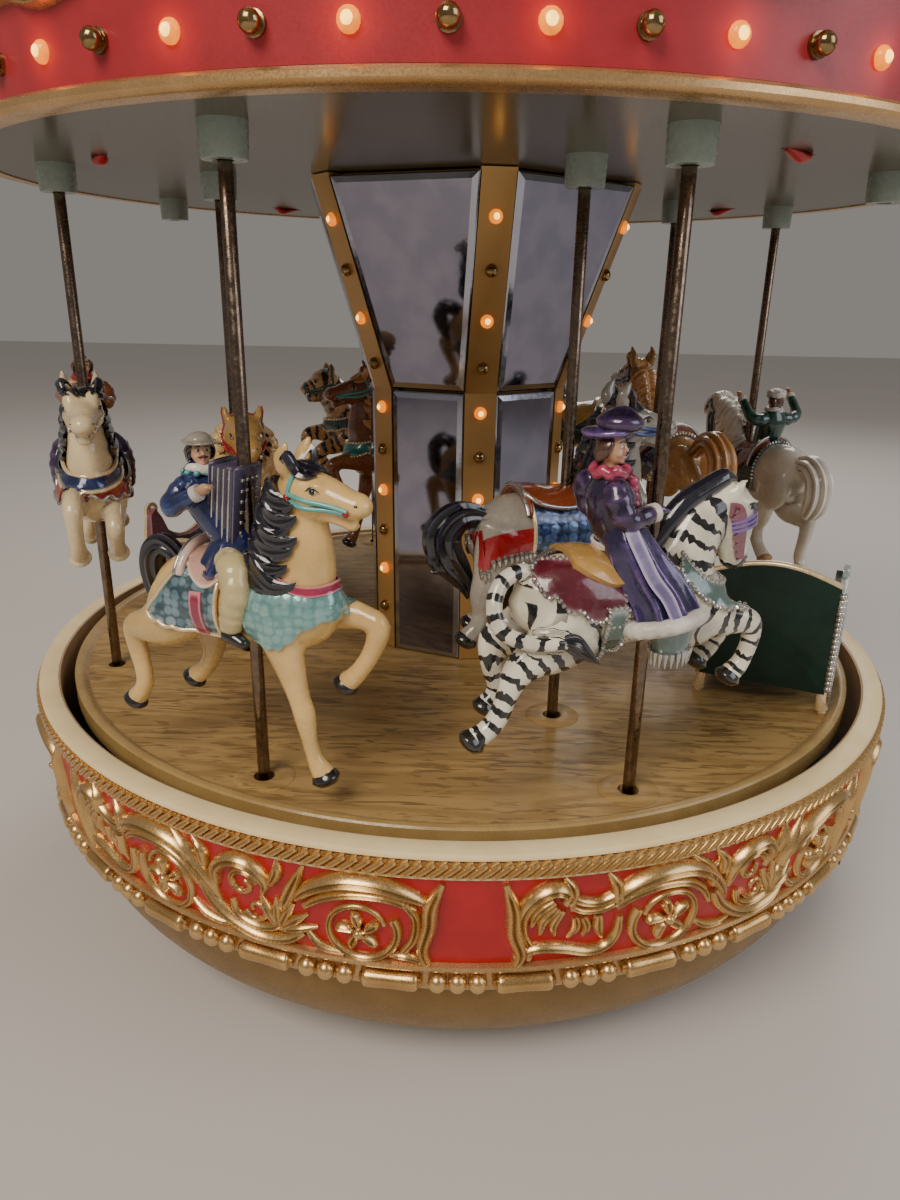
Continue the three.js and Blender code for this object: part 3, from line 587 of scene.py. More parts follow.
class Paper:
    """A material's node graph while it is drawn up."""

    def __init__(self, name: str) -> None:
        """Starts a material with its one shader."""
        self.material = bpy.data.materials.new(name)
        self.material.use_nodes = True
        self.nodes = self.material.node_tree.nodes
        self.links = self.material.node_tree.links
        self.shader = self.nodes["Principled BSDF"]

    def node(self, kind: str, values: Optional[dict] = None, **settings: object) -> bpy.types.Node:
        """Adds a node, links or sets its inputs by name or index, and sets its properties."""
        node = self.nodes.new(kind)
        for key, value in settings.items():
            setattr(node, key, value)
        for key, value in (values or {}).items():
            self.feed(node.inputs[key], value)
        return node

    def feed(self, socket: bpy.types.NodeSocket, value: object) -> None:
        """Links a socket to another, or sets its value."""
        if isinstance(value, bpy.types.NodeSocket):
            self.links.new(value, socket)
        elif isinstance(value, tuple) and len(value) == 3 and socket.type == "RGBA":
            socket.default_value = (*value, 1)
        else:
            socket.default_value = value

    def spot(self, degrees: float = 0.0, radius: float = 0.0, rise: float = 0.0) -> bpy.types.NodeSocket:
        """Object coordinates in millimetres, in the axes of a place on the carousel."""
        a = math.radians(degrees)
        where = self.node("ShaderNodeTexCoord").outputs["Object"]
        shift = (radius * math.sin(a) * MM, -radius * math.cos(a) * MM, rise * MM)
        return self.node("ShaderNodeMapping", {"Vector": where, "Location": shift, "Rotation": (0, 0, a),
                                               "Scale": (MM, MM, MM)}, vector_type="TEXTURE").outputs[0]

    def noise(self, where: bpy.types.NodeSocket, scale: float, detail: float = 2.0,
              warp: float = 0.0) -> bpy.types.NodeSocket:
        """A cloud of values round one half, with its scale in lumps for each millimetre."""
        return self.node("ShaderNodeTexNoise", {"Vector": where, "Scale": scale, "Detail": detail,
                                                "Distortion": warp}).outputs[0]

    def math(self, operation: str, a: object, b: object = 0.0, c: object = 0.0) -> bpy.types.NodeSocket:
        """A sum of two or three values."""
        return self.node("ShaderNodeMath", {0: a, 1: b, 2: c}, operation=operation).outputs[0]

    def step(self, value: object, low: float, high: float, to: tuple[float, float] = (0.0, 1.0),
             smooth: bool = True) -> bpy.types.NodeSocket:
        """Spreads a range of values over another one, held at its ends."""
        return self.node("ShaderNodeMapRange", {0: value, 1: low, 2: high, 3: to[0], 4: to[1]},
                         interpolation_type="SMOOTHSTEP" if smooth else "LINEAR").outputs[0]

    def mix(self, share: object, a: object, b: object) -> bpy.types.NodeSocket:
        """Mixes two colours."""
        node = self.node("ShaderNodeMix", data_type="RGBA")
        for index, value in ((0, share), (6, a), (7, b)):
            self.feed(node.inputs[index], value)
        return node.outputs[2]

    def bump(self, height: bpy.types.NodeSocket, depth: float, strength: float = 1.0) -> None:
        """Roughens the surface by a height, its depth in millimetres."""
        node = self.node("ShaderNodeBump", {"Height": height, "Distance": depth * MM, "Strength": strength})
        self.feed(self.shader.inputs["Normal"], node.outputs[0])

    def hollows(self, low: float = 0.44, high: float = 0.5) -> bpy.types.NodeSocket:
        """One in recesses and nought on open or raised surfaces: the mask of painted shade."""
        point = self.node("ShaderNodeNewGeometry").outputs["Pointiness"]
        return self.step(point, low, high, (1.0, 0.0))

    def edges(self, low: float = 0.51, high: float = 0.56) -> bpy.types.NodeSocket:
        """One on raised edges: the mask of painted highlights."""
        point = self.node("ShaderNodeNewGeometry").outputs["Pointiness"]
        return self.step(point, low, high)


@dataclass(frozen=True)
class Finish:
    """A painted, plated or moulded surface.

    The second colour drifts over the first in soft patches. The third is painted shade, a darker colour in
    recesses, and the fourth a painted highlight on raised edges; the oak and the tiled cloth use them for
    pores, joints and tints.
    """

    name: str
    slot: str
    colour: Colour
    drift: Optional[Colour] = None
    hollow: Optional[Colour] = None
    worn: Optional[Colour] = None
    roughness: float = 0.35
    spread: float = 0.12
    metallic: float = 0.0
    coat: float = 0.0
    lump: float = 0.12
    grain: float = 2.2
    depth: float = 0.03
    film: float = 0.0
    specular: float = 0.5

    def material(self) -> bpy.types.Material:
        """Returns the finish's material, made on first use."""
        found = bpy.data.materials.get(self.name)
        return found or self.draw()

    def paint(self, paper: Paper, where: bpy.types.NodeSocket) -> bpy.types.NodeSocket:
        """Gives the surface's colour; a special finish has its own."""
        patches = paper.step(paper.noise(where, self.lump, 4.0), 0.35, 0.65)
        other = self.drift or tuple(c * 0.82 for c in self.colour)
        colour = paper.mix(patches, self.colour, other)
        # Painted shade: a darker colour in recesses. Painted highlight: a lighter colour on raised edges.
        if self.hollow:
            colour = paper.mix(paper.hollows(), colour, self.hollow)
        if self.worn:
            colour = paper.mix(paper.edges(), colour, self.worn)
        return colour

    def draw(self) -> bpy.types.Material:
        """Draws the material's nodes."""
        paper = Paper(self.name)
        where = paper.spot()
        shader = paper.shader.inputs
        paper.feed(shader["Base Color"], self.paint(paper, where))
        mottle = paper.noise(where, self.grain * 0.35, 3.0)
        rough = (max(0.04, self.roughness - self.spread), min(1.0, self.roughness + self.spread))
        paper.feed(shader["Roughness"], paper.step(mottle, 0.3, 0.7, rough))
        shader["Metallic"].default_value = self.metallic
        shader["Coat Weight"].default_value = self.coat
        shader["Coat Roughness"].default_value = COAT_ROUGHNESS
        shader["Specular IOR Level"].default_value = self.specular
        if self.film:
            shader["Thin Film Thickness"].default_value = self.film
            shader["Thin Film IOR"].default_value = FILM_IOR
        paper.bump(paper.noise(where, self.grain, 3.0), self.depth, 0.6)
        self.finish(paper, where)
        return paper.material

    def finish(self, paper: Paper, where: bpy.types.NodeSocket) -> None:
        """Adds what a special finish has beyond the rest."""


class Oak(Finish):
    """Printed oak: long grain across the deck, with arched figure and dark pores."""

    def paint(self, paper: Paper, where: bpy.types.NodeSocket) -> bpy.types.NodeSocket:
        """Draws the growth bands, the fine grain and the pores."""
        slow = paper.node("ShaderNodeMapping", {"Vector": where, "Scale": (0.18, 1.0, 1.0)}).outputs[0]
        sway = paper.noise(slow, 0.035, 2.0)
        bands = paper.math("SINE", paper.math("MULTIPLY", sway, 81.0))
        colour = paper.mix(paper.step(bands, -0.6, 0.9), self.colour, self.drift or self.colour)
        fine = paper.node("ShaderNodeMapping", {"Vector": where, "Scale": (0.16, 1.0, 1.0)}).outputs[0]
        wavy = paper.node("ShaderNodeVectorMath", {0: fine, 1: paper.noise(where, 0.07, 2.0)},
                          operation="ADD").outputs[0]
        pores = paper.step(paper.noise(wavy, 0.6, 3.0, 1.0), 0.5, 0.62)
        flecks = paper.step(paper.noise(where, 0.05, 2.0), 0.3, 0.6, (0.25, 0.85))
        return paper.mix(paper.math("MULTIPLY", pores, flecks), colour, self.hollow or self.colour)


class PaintedGlowRed(Finish):
    """Red plastic with a painted glow round each lamp of a ring: emission that stands in for the lamps' light
    on it.
    """

    reach: float = 8.5
    radius: float = 141.0

    def finish(self, paper: Paper, where: bpy.types.NodeSocket) -> None:
        """Adds the painted glow, by the distance to the nearest lamp."""
        parts = paper.node("ShaderNodeSeparateXYZ", {0: where}).outputs
        turn = paper.math("ARCTAN2", parts[0], paper.math("MULTIPLY", parts[1], -1.0))
        pitch = 2 * math.pi / LAMPS
        off = paper.math("WRAP", turn, pitch, 0.0)
        across = paper.math("MULTIPLY", paper.math("SUBTRACT", off, pitch / 2), self.radius)
        rise = paper.math("SUBTRACT", parts[2], LAMP_Z)
        far = paper.math("SQRT", paper.math("ADD", paper.math("POWER", paper.math("ABSOLUTE", across), 2.0),
                                            paper.math("POWER", paper.math("ABSOLUTE", rise), 2.0)))
        glow = paper.math("POWER", paper.step(far, self.reach, 1.0, smooth=False), 2.2)
        paper.feed(paper.shader.inputs["Emission Color"], paper.mix(glow, (1.0, 0.0, 0.0), (1.0, 0.05, 0.0)))
        paper.feed(paper.shader.inputs["Emission Strength"], paper.math("MULTIPLY", glow, 0.5))


class Lamp(Finish):
    """A lit amber lamp, brightest at its tip."""

    def finish(self, paper: Paper, where: bpy.types.NodeSocket) -> None:
        """Sets the light that it gives, a little uneven."""
        glow = paper.step(paper.noise(where, 0.6), 0.3, 0.7, (0.85, 1.15))
        paper.feed(paper.shader.inputs["Emission Color"], self.drift or self.colour)
        paper.feed(paper.shader.inputs["Emission Strength"], paper.math("MULTIPLY", glow, self.depth * 100))


class GoredRed(Finish):
    """Roof cloth effect in moulded plastic: gores of red and cream in turn."""

    def paint(self, paper: Paper, where: bpy.types.NodeSocket) -> bpy.types.NodeSocket:
        """Alternates the two colours by the angle round the axis."""
        parts = paper.node("ShaderNodeSeparateXYZ", {0: where}).outputs
        turn = paper.math("ARCTAN2", parts[0], paper.math("MULTIPLY", parts[1], -1.0))
        wave = paper.math("SINE", paper.math("MULTIPLY", turn, float(BAYS)))
        soil = paper.mix(paper.step(paper.noise(where, 0.05, 4.0), 0.3, 0.7), self.colour,
                         tuple(c * 0.85 for c in self.colour))
        return paper.mix(paper.step(wave, -0.02, 0.02, smooth=False), soil, self.drift or self.colour)


# Third colours are painted shade in recesses (on the oak they are its pores); fourth colours are painted
# highlights on raised edges.
GILT = Finish("gilt_scrolls", "gilt_plastic", (0.45, 0.26, 0.085), (0.38, 0.21, 0.065), (0.06, 0.024, 0.008),
              (0.7, 0.46, 0.2), roughness=0.27, spread=0.06, metallic=0.9, grain=5.0, depth=0.006)
BOWL_GOLD = Finish("bowl_gold", "gilt_plastic", (0.3, 0.18, 0.06), (0.26, 0.155, 0.05), roughness=0.42,
                   metallic=0.6, grain=6.0, depth=0.004)
TRIM_GOLD = Finish("trim_gold", "gilt_plastic", (0.66, 0.42, 0.2), (0.58, 0.36, 0.16), roughness=0.3,
                   spread=0.06, metallic=0.75, grain=6.0, depth=0.003)
BAND_RED = Finish("band_red", "red_plastic", (0.5, 0.008, 0.012), (0.42, 0.006, 0.01), roughness=0.36,
                  spread=0.06, coat=0.15, grain=6.0, depth=0.003)
# The fascia's red carries a painted glow round each lamp.
FASCIA_RED = PaintedGlowRed("fascia_red", "red_plastic", (0.42, 0.03, 0.04), (0.37, 0.028, 0.036), roughness=0.36,
                    spread=0.06, coat=0.1, grain=6.0, depth=0.003)
RIM_CREAM = Finish("rim_cream", "cream_plastic", (0.95, 0.77, 0.43), (0.9, 0.71, 0.38), roughness=0.4,
                   spread=0.06, depth=0.01)
PANEL_CREAM = Finish("panel_cream", "cream_plastic", (0.85, 0.79, 0.66), (0.8, 0.73, 0.58), (0.5, 0.38, 0.2),
                     roughness=0.4, depth=0.015)
DECK_OAK = Oak("deck_oak", "oak_print", (0.42, 0.27, 0.1), (0.33, 0.205, 0.072), (0.17, 0.1, 0.034),
               roughness=0.42, spread=0.06, coat=0.08, grain=0.9, depth=0.01, specular=0.35)
LIP_BROWN = Finish("lip_brown", "oak_print", (0.42, 0.28, 0.1), (0.36, 0.23, 0.08), roughness=0.35, coat=0.2,
                   grain=6.0, depth=0.003)
LINER = Finish("liner_brown", "cream_plastic", (0.52, 0.35, 0.21), roughness=0.45, depth=0.01)
BLACK = Finish("black_paint", "black_plastic", (0.012, 0.012, 0.012), roughness=0.5)
BRONZE = Finish("post_bronze", "bronze_plastic", (0.42, 0.23, 0.065), (0.36, 0.19, 0.05),
                worn=(0.55, 0.32, 0.11), roughness=0.38, spread=0.06, metallic=0.5, grain=6.0, depth=0.003)
# The mirrors' dark bluish tints are painted reflection: they stand in for the dark room that the glass
# reflects.
MIRROR = Finish("mirror_glass", "mirror", (0.24, 0.23, 0.29), (0.2, 0.195, 0.25), roughness=0.05, spread=0.02,
                metallic=1.0, depth=0.001)
BEVEL = Finish("mirror_bevel", "mirror", (0.42, 0.43, 0.5), (0.38, 0.39, 0.46), roughness=0.12, spread=0.04,
               metallic=1.0, depth=0.004)
CEILING = Finish("ceiling_grey", "grey_plastic", (0.12, 0.1, 0.062), (0.105, 0.088, 0.055), roughness=0.2,
                 spread=0.04, lump=0.03, grain=6.0, depth=0.003, specular=0.3)
BUSHING = Finish("bushing_grey", "grey_plastic", (0.3, 0.36, 0.32), (0.27, 0.33, 0.29),
                 roughness=0.25, coat=0.3, depth=0.01)
ROD = Finish("rod_metal", "pole_metal", (0.24, 0.18, 0.13), (0.18, 0.13, 0.1), (0.07, 0.05, 0.035),
             roughness=0.24, spread=0.12, metallic=1.0, lump=0.4, grain=3.0, depth=0.02)
BRASS = Finish("bead_brass", "pole_metal", (0.36, 0.24, 0.11), (0.3, 0.2, 0.09), roughness=0.16, metallic=1.0)
LAMP_GLASS = Lamp("lamp_amber", "gilt_plastic", (0.8, 0.2, 0.02), (1.0, 0.26, 0.008), roughness=0.2,
                  depth=0.011)
LAMP_CORE = Lamp("lamp_core", "gilt_plastic", (1.0, 0.5, 0.1), (1.0, 0.56, 0.1), roughness=0.2, depth=0.035)
ROOF_RED = GoredRed("roof_gores", "red_plastic", (0.5, 0.02, 0.025), (0.8, 0.72, 0.55),
                    roughness=0.4, coat=0.1)


# Angles in degrees past which an edge stays sharp, on mouldings and on carving
SOFT = 38.0
CARVED = 60.0


@dataclass
class Workshop:
    """Makes pieces, hands them their body and finish, and keeps the shared patterns."""

    patterns: dict[type, Pattern] = field(default_factory=dict)

    def pattern(self, kind: type) -> Pattern:
        """The shared pattern of a kind, made on first use."""
        if kind not in self.patterns:
            self.patterns[kind] = kind(kind.__name__)
        return self.patterns[kind]

    def add(self, name: str, shape: Shape | bpy.types.Object, finish: Finish, body: str,
            replaced: Sequence[str] = (), crease: float = SOFT) -> bpy.types.Object:
        """Turns a shape into a piece of the carousel.

        Args:
            name: The piece's name.
            shape: Its shape, or a plain mesh object.
            finish: Its finish.
            body: The CAD body that it rides on.
            replaced: The CAD nodes that it stands for.
            crease: The angle in degrees past which an edge stays sharp.

        Returns:
            The piece.
        """
        piece = linked(name, shape.mesh(name)) if isinstance(shape, Shape) else shape
        piece.data.materials.clear()
        piece.data.materials.append(finish.material())
        piece.data.shade_smooth()
        piece.data.set_sharp_from_angle(angle=math.radians(crease))
        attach(piece, body)
        if replaced:
            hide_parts(*replaced)
        LOG.info("%s: %d faces on %s", name, len(piece.data.polygons), body)
        return piece

    def template(self, shape: Shape) -> bpy.types.Object:
        """A throwaway object that a pattern copies; the pattern sees it at its own place."""
        return linked("template", shape.mesh("template"))

    def around(self, name: str, shape: Shape, count: int, start: float, finish: Finish, body: str,
               replaced: Sequence[str] = (), crease: float = SOFT) -> bpy.types.Object:
        """Repeats a shape evenly about the axis from a start in degrees, as one piece."""
        template = self.template(shape)
        made = self.pattern(RoundPattern).make(name, Template=template, Count=count,
                                               Start=math.radians(start), Step=2 * math.pi / count,
                                               Finish=finish.material())
        bpy.data.objects.remove(template)
        return self.add(name, made, finish, body, replaced, crease)

    def along(self, name: str, paths: Sequence[Rows], shape: Shape, spacing: float, finish: Finish,
              body: str) -> bpy.types.Object:
        """Sets copies of a shape along paths in millimetres, as one piece."""
        curve = bpy.data.curves.new(name + "_trail", "CURVE")
        curve.dimensions = "3D"
        for path in paths:
            spline = curve.splines.new("POLY")
            spline.points.add(len(path) - 1)
            for point, spot in zip(spline.points, path):
                point.co = (*(np.asarray(spot) * MM), 1)
        trail = linked(name + "_trail", curve)
        template = self.template(shape)
        made = self.pattern(TrailPattern).make(name, Trail=trail, Template=template, Spacing=spacing * MM,
                                               Finish=finish.material())
        bpy.data.objects.remove(template)
        bpy.data.objects.remove(trail)
        return self.add(name, made, finish, body)


@dataclass
class Assembly:
    """A part of the carousel whose pieces all ride on one body."""

    shop: Workshop
    body: ClassVar[Body] = Body.TURNTABLE

    def add(self, name: str, shape: Shape, finish: Finish, replaced: Sequence[str] = ()) -> bpy.types.Object:
        """Adds a piece on the assembly's body."""
        return self.shop.add(name, shape, finish, self.body.value, replaced)

    def around(self, name: str, shape: Shape, count: int, start: float, finish: Finish,
               replaced: Sequence[str] = (), crease: float = SOFT) -> bpy.types.Object:
        """Adds a piece that repeats a shape about the axis on the assembly's body."""
        return self.shop.around(name, shape, count, start, finish, self.body.value, replaced, crease)


def band_radius(z: np.ndarray) -> np.ndarray:
    """The red band's outer radius at a height."""
    return 136.8 + 2.6 * (z - 47.3) / 26.7


def fascia_radius(z: np.ndarray) -> np.ndarray:
    """The canopy fascia's outer radius at a height."""
    share = np.clip((z - FASCIA_FOOT) / (FASCIA_TOP - FASCIA_FOOT), 0, None)
    return 139.2 + 6.8 * share ** 1.5


def at_poles(shape: Shape, places: Rows = POLE_PLACES) -> Shape:
    """Copies of an upright shape, moved from the axis to places of angle and radius."""
    copies = []
    for degrees, radius in places:
        a = math.radians(degrees)
        shift = np.array((radius * math.sin(a), -radius * math.cos(a), 0))
        copies.append(Shape(shape.points + shift, shape.faces))
    return Shape.joined(copies)


@dataclass
class Base(Assembly):
    """The bowl, its red band with gilded scrollwork, the bead and rope mouldings and the cream rim."""

    body: ClassVar[Body] = Body.BASE
    bowl_radius: float = 134.4
    bowl_wall: float = 2.8
    bowl_top: float = 46.9
    turn_radius: float = 92.0
    turn_z: float = 42.0
    panel_centre: float = 29.0
    bead_phase: float = 2.0
    bead_z: float = 43.5
    bead_radius: float = 137.0
    bead_units: int = 28
    rope_radius: float = 139.7
    strands: int = 316
    rib_gain: float = 1.18

    def build(self) -> None:
        """Builds every piece of the base."""
        self.add("bowl", self.bowl(), BOWL_GOLD, ["base_bowl"])
        band = [(134.5, 47.3), (136.8, 47.3), (139.4, 74.0), (137.4, 74.0), (137.4, 77.7), (134.5, 77.7)]
        self.add("band", turned(band), BAND_RED, ["red_band"])
        self.around("scrollwork", self.panel(), BAYS, self.panel_centre, GILT, ["scroll_frieze"], CARVED)
        self.beads()
        self.rope()
        rim = [(134.5, 78.0), (139.7, 78.0), (140.0, 78.3), (140.0, 79.1), (139.7, 79.6), (139.1, 79.8),
               (135.0, 79.8), (134.6, 79.6), (134.5, 79.2)]
        self.add("rim", turned(rim), RIM_CREAM, ["rim_ring"])
        liner = [(134.1, 50.3), (134.5, 50.3), (134.5, 79.5), (134.1, 79.3)]
        self.add("well_liner", turned(liner), LINER)

    def arc(self, inset: float, steps: int) -> list[tuple[float, float]]:
        """The bowl's curved side, moved inward by a wall."""
        out = []
        for share in np.linspace(0, math.pi / 2, steps + 1):
            radius = self.turn_radius + (self.bowl_radius - self.turn_radius - inset) * math.sin(share)
            out.append((radius, self.turn_z - (self.turn_z - 2 - inset) * math.cos(share)))
        return out

    def bowl(self) -> Shape:
        """The hollow bowl on its foot ring."""
        inner = self.bowl_radius - self.bowl_wall
        outline = [(84, 0), (90.4, 0), (91, 0.5), *self.arc(0, 22), (self.bowl_radius, self.bowl_top),
                   (inner, self.bowl_top), *self.arc(self.bowl_wall, 10)[::-1], (84, 2 + self.bowl_wall)]
        return turned(outline)

    def rosette(self, x: float, z: float, size: float) -> list[Shape]:
        """Five cupped petals round a button."""
        parts = [ball((x, z, 1.6), (size * 0.24, size * 0.24, 1.5), 10, 7)]
        for petal in range(5):
            a = math.radians(90 + 72 * petal)
            c, s = math.cos(a), math.sin(a)
            leaf = [(x + c * size * 0.22, z + s * size * 0.22, size * 0.26),
                    (x + c * size * 0.5 - s * size * 0.06, z + s * size * 0.5 + c * size * 0.06, size * 0.5),
                    (x + c * size * 0.8 - s * size * 0.16, z + s * size * 0.8 + c * size * 0.16, size * 0.5),
                    (x + c * size - s * size * 0.3, z + s * size + c * size * 0.3, size * 0.16)]
            parts.append(ribbon(leaf, 1.9, 6, 3))
            parts.append(ribbon([leaf[0], (*leaf[1][:2], 0.8), (*leaf[2][:2], 0.8), (*leaf[3][:2], 0.3)],
                                2.5, 4, 3))
        return parts

    def panel(self) -> Shape:
        """One panel of scrollwork, wrapped on the band at the front."""
        ribs: list[Rows] = [
            [(-52.5, 48.3, 2.2), (-51.6, 52, 3), (-53.5, 58, 3.4), (-54, 65, 3.4), (-56, 72, 1.4)],
            [(-49.6, 49.5, 1.4), (-49.4, 53, 1.6), (-51, 57, 1.8), (-51.8, 62.5, 1.6)],
            [(-51, 56, 1.8), (-52, 62.5, 3), (-49.5, 68, 3.6), (-45, 70.3, 3.6), (-41.5, 68, 3),
             (-40.4, 63.5, 1.4)],
            [(-45, 67, 2.4), (-48.6, 64, 2.6), (-49.5, 59.5, 1)],
            [(-44, 65, 2.2), (-47, 61.5, 2.4), (-47.4, 57, 1)],
            [(-42.8, 64, 2), (-44.6, 60, 2.2), (-44, 56.3, 0.9)],
            [(-53, 50.5, 1.8), (-48, 53.2, 2.6), (-42, 52.6, 2.6), (-36, 50.9, 2.6), (-31.5, 51.6, 2.4),
             (-29, 55, 2.2), (-28.6, 60, 1.6)],
            [(-41.8, 66, 3), (-41, 69.6, 3), (-43, 73, 0.9)],
            [(-41.5, 67.8, 2.4), (-38, 65.7, 2.2), (-34, 65.2, 2.2), (-30, 66.8, 2.6)],
            [(-41, 64.6, 1.6), (-38, 62.9, 1.6), (-33.5, 62.6, 1.6), (-30.5, 63.8, 1.6)],
            [(-30, 65.5, 3), (-30.6, 69.5, 2.8), (-33, 73, 0.9)],
            [(-39.6, 61.6, 1.8), (-39.2, 58.5, 2.1), (-40.8, 55.2, 0.8)],
            [(-37.8, 61.4, 1.8), (-36.6, 58.4, 2.1), (-37.2, 55.2, 0.8)],
            [(-34, 61.4, 2), (-33.8, 57.6, 2.6), (-32.4, 54, 0.8)],
            [(-31, 65, 2.8), (-27, 68.6, 3.8), (-20, 71, 4.2), (-12, 70.3, 4), (-6, 66.8, 3.4),
             (-1.5, 61.5, 2.8), (1, 56, 1.2)],
            [(-30, 62.8, 1.8), (-26, 65.6, 2.4), (-19, 67.2, 2.6), (-12, 66, 2.4), (-7, 62.3, 2.2),
             (-4, 57.6, 1.2)],
            [(-4.2, 63.5, 2.6), (-7, 69, 3.2), (-11.5, 73.2, 0.9)],
            [(-2, 66, 2.2), (-2.2, 70, 2.6), (-5, 73, 0.8)],
            [(0.5, 61, 1.8), (1.6, 66.5, 3.2), (6.2, 70.4, 3.6), (11.5, 70, 3.4), (14.6, 66, 2.6),
             (13.4, 62, 1.3)],
            [(-3.5, 61, 2.4), (-0.5, 56, 3), (5, 51.6, 3.2), (12, 49.3, 3), (19, 50.2, 2.6), (23.5, 53, 1.4)],
            [(4.6, 58, 1.4), (6, 53.8, 2), (11, 51.9, 2.2), (16, 53, 2), (17.6, 56.2, 1.8), (15.6, 59, 1)],
            [(-8, 53, 1.2), (-4, 50.4, 2.2), (1, 49.4, 1.8), (4, 50, 1)],
            [(19, 60.5, 2.8), (21.4, 66, 3.2), (24.6, 73, 0.9)],
            [(16, 66, 2.2), (18, 69.6, 2.6), (18, 73, 0.8)],
            [(22, 63.5, 2.4), (27, 68, 3.6), (34, 71, 4), (42, 71, 3.8), (48, 69, 3.2), (52.4, 66.5, 2)],
            [(24, 61.3, 1.6), (29, 65, 2.2), (36, 67.3, 2.4), (44, 67, 2.2), (50, 64.2, 1.5)],
            [(52.5, 48.3, 2), (51.5, 53, 3), (53, 60, 3.4), (53.5, 66, 3.4), (56, 72, 1.3)],
            [(47.5, 66, 2), (50, 62, 2.2), (49.6, 56, 2.2), (46.6, 50.8, 1.6)],
            [(44, 50.2, 1.4), (48, 50.4, 2.2), (53, 48.6, 1.4)],
            [(24, 54, 1.2), (27.5, 50.2, 2.2), (33, 49.2, 1.6)],
        ]
        ribs.append(spiral(-16, 56.6, (9.4, 6.6), (150, 520), (2.4, 1.3), 22))
        ribs.append(spiral(37, 56.8, (9.0, 6.2), (30, -340), (2.3, 1.2), 22))
        ribs.append(spiral(8.4, 63.4, (4.4, 1.2), (20, 420), (1.8, 1.1), 14))
        ribs.append(spiral(11.2, 56.6, (3.4, 1.0), (200, 560), (1.5, 1.0), 12))
        for angle in (18, 42, 66, 90, 114):
            a = math.radians(angle)
            ribs.append([(17, 52.5, 1.4), (17 + 5 * math.cos(a), 52.5 + 5 * math.sin(a), 2.4),
                         (17 + 10.5 * math.cos(a), 52.5 + 9.5 * math.sin(a), 0.8)])
        for i in range(7):
            x = -27 + 3.4 * i
            z = 66.4 + 1.5 * math.sin(i * 0.5)
            ribs.append([(x, z, 0.9), (x + 2.0, z + 1.8, 1.5), (x + 4.6, z + 2.6, 0.6)])
            ribs.append([(x + 53, z, 0.9), (x + 55, z + 1.8, 1.5), (x + 57.6, z + 2.6, 0.6)])
        parts = [ribbon([(x, z, self.rib_gain * width) for x, z, width in rib]) for rib in ribs]
        parts += self.rosette(-16, 56.6, 5.8) + self.rosette(37, 56.8, 5.4)
        flat = Shape.joined(parts)
        return wrapped(flat, band_radius)

    def beads(self) -> None:
        """The bead-and-bar moulding on its gilded flange, and the ledge over it."""
        flange = [(134.7, 39.9), (136.2, 40.1), (136.9, 41.2), (136.6, 45.8), (136.7, 46.6), (138.4, 46.9),
                  (138.8, 47.6), (138.4, 48.3), (137.0, 48.6), (134.7, 47.0)]
        self.add("bead_flange", turned(flange), TRIM_GOLD)
        unit = [ball((4.7 * i, self.bead_z, 0.5), (2.35, 2.6, 2.4), 12, 8) for i in (-1, 0, 1)]
        bar = Loft([(9.0, 0, 0, 1.6, 1.6), (9.6, 0, 0, 2.3, 2.3), (11, 0, 0, 2.5, 2.4),
                    (15.7, 0, 0, 2.3, 2.2), (20.4, 0, 0, 2.5, 2.4), (21.8, 0, 0, 2.3, 2.3),
                    (22.4, 0, 0, 1.6, 1.6)], 14, 3).shape()
        points = bar.points
        unit.append(Shape(np.stack([points[:, 0], points[:, 2] + self.bead_z, points[:, 1] + 0.5], 1),
                          bar.faces))
        moulding = wrapped(Shape.joined(unit), self.bead_radius)
        self.around("bead_moulding", moulding, self.bead_units, self.bead_phase, GILT)

    def rope(self) -> None:
        """The rope moulding under the rim, in leaning strands, and the thin line under it."""
        core = [(137.5, 74.1), (139.6, 74.2), (140.2, 75.1), (140.3, 76.6), (139.8, 77.7), (137.5, 77.8)]
        self.add("rope_core", turned(core), GILT, ["rope_moulding"])
        rows = [(-2.3, 74.3, 1.5), (-1.4, 74.9, 2.1), (0, 76.0, 2.5), (1.4, 77.1, 2.1), (2.3, 77.6, 1.5)]
        strand = wrapped(ribbon(rows, 1.3, 4, 2, 0.6), self.rope_radius)
        self.around("rope_strands", strand, self.strands, 0, GILT, (), CARVED)
        line = [(138.6, 73.3), (139.9, 73.3), (140.0, 73.9), (138.6, 73.9)]
        self.add("rope_line", turned(line), RIM_CREAM)


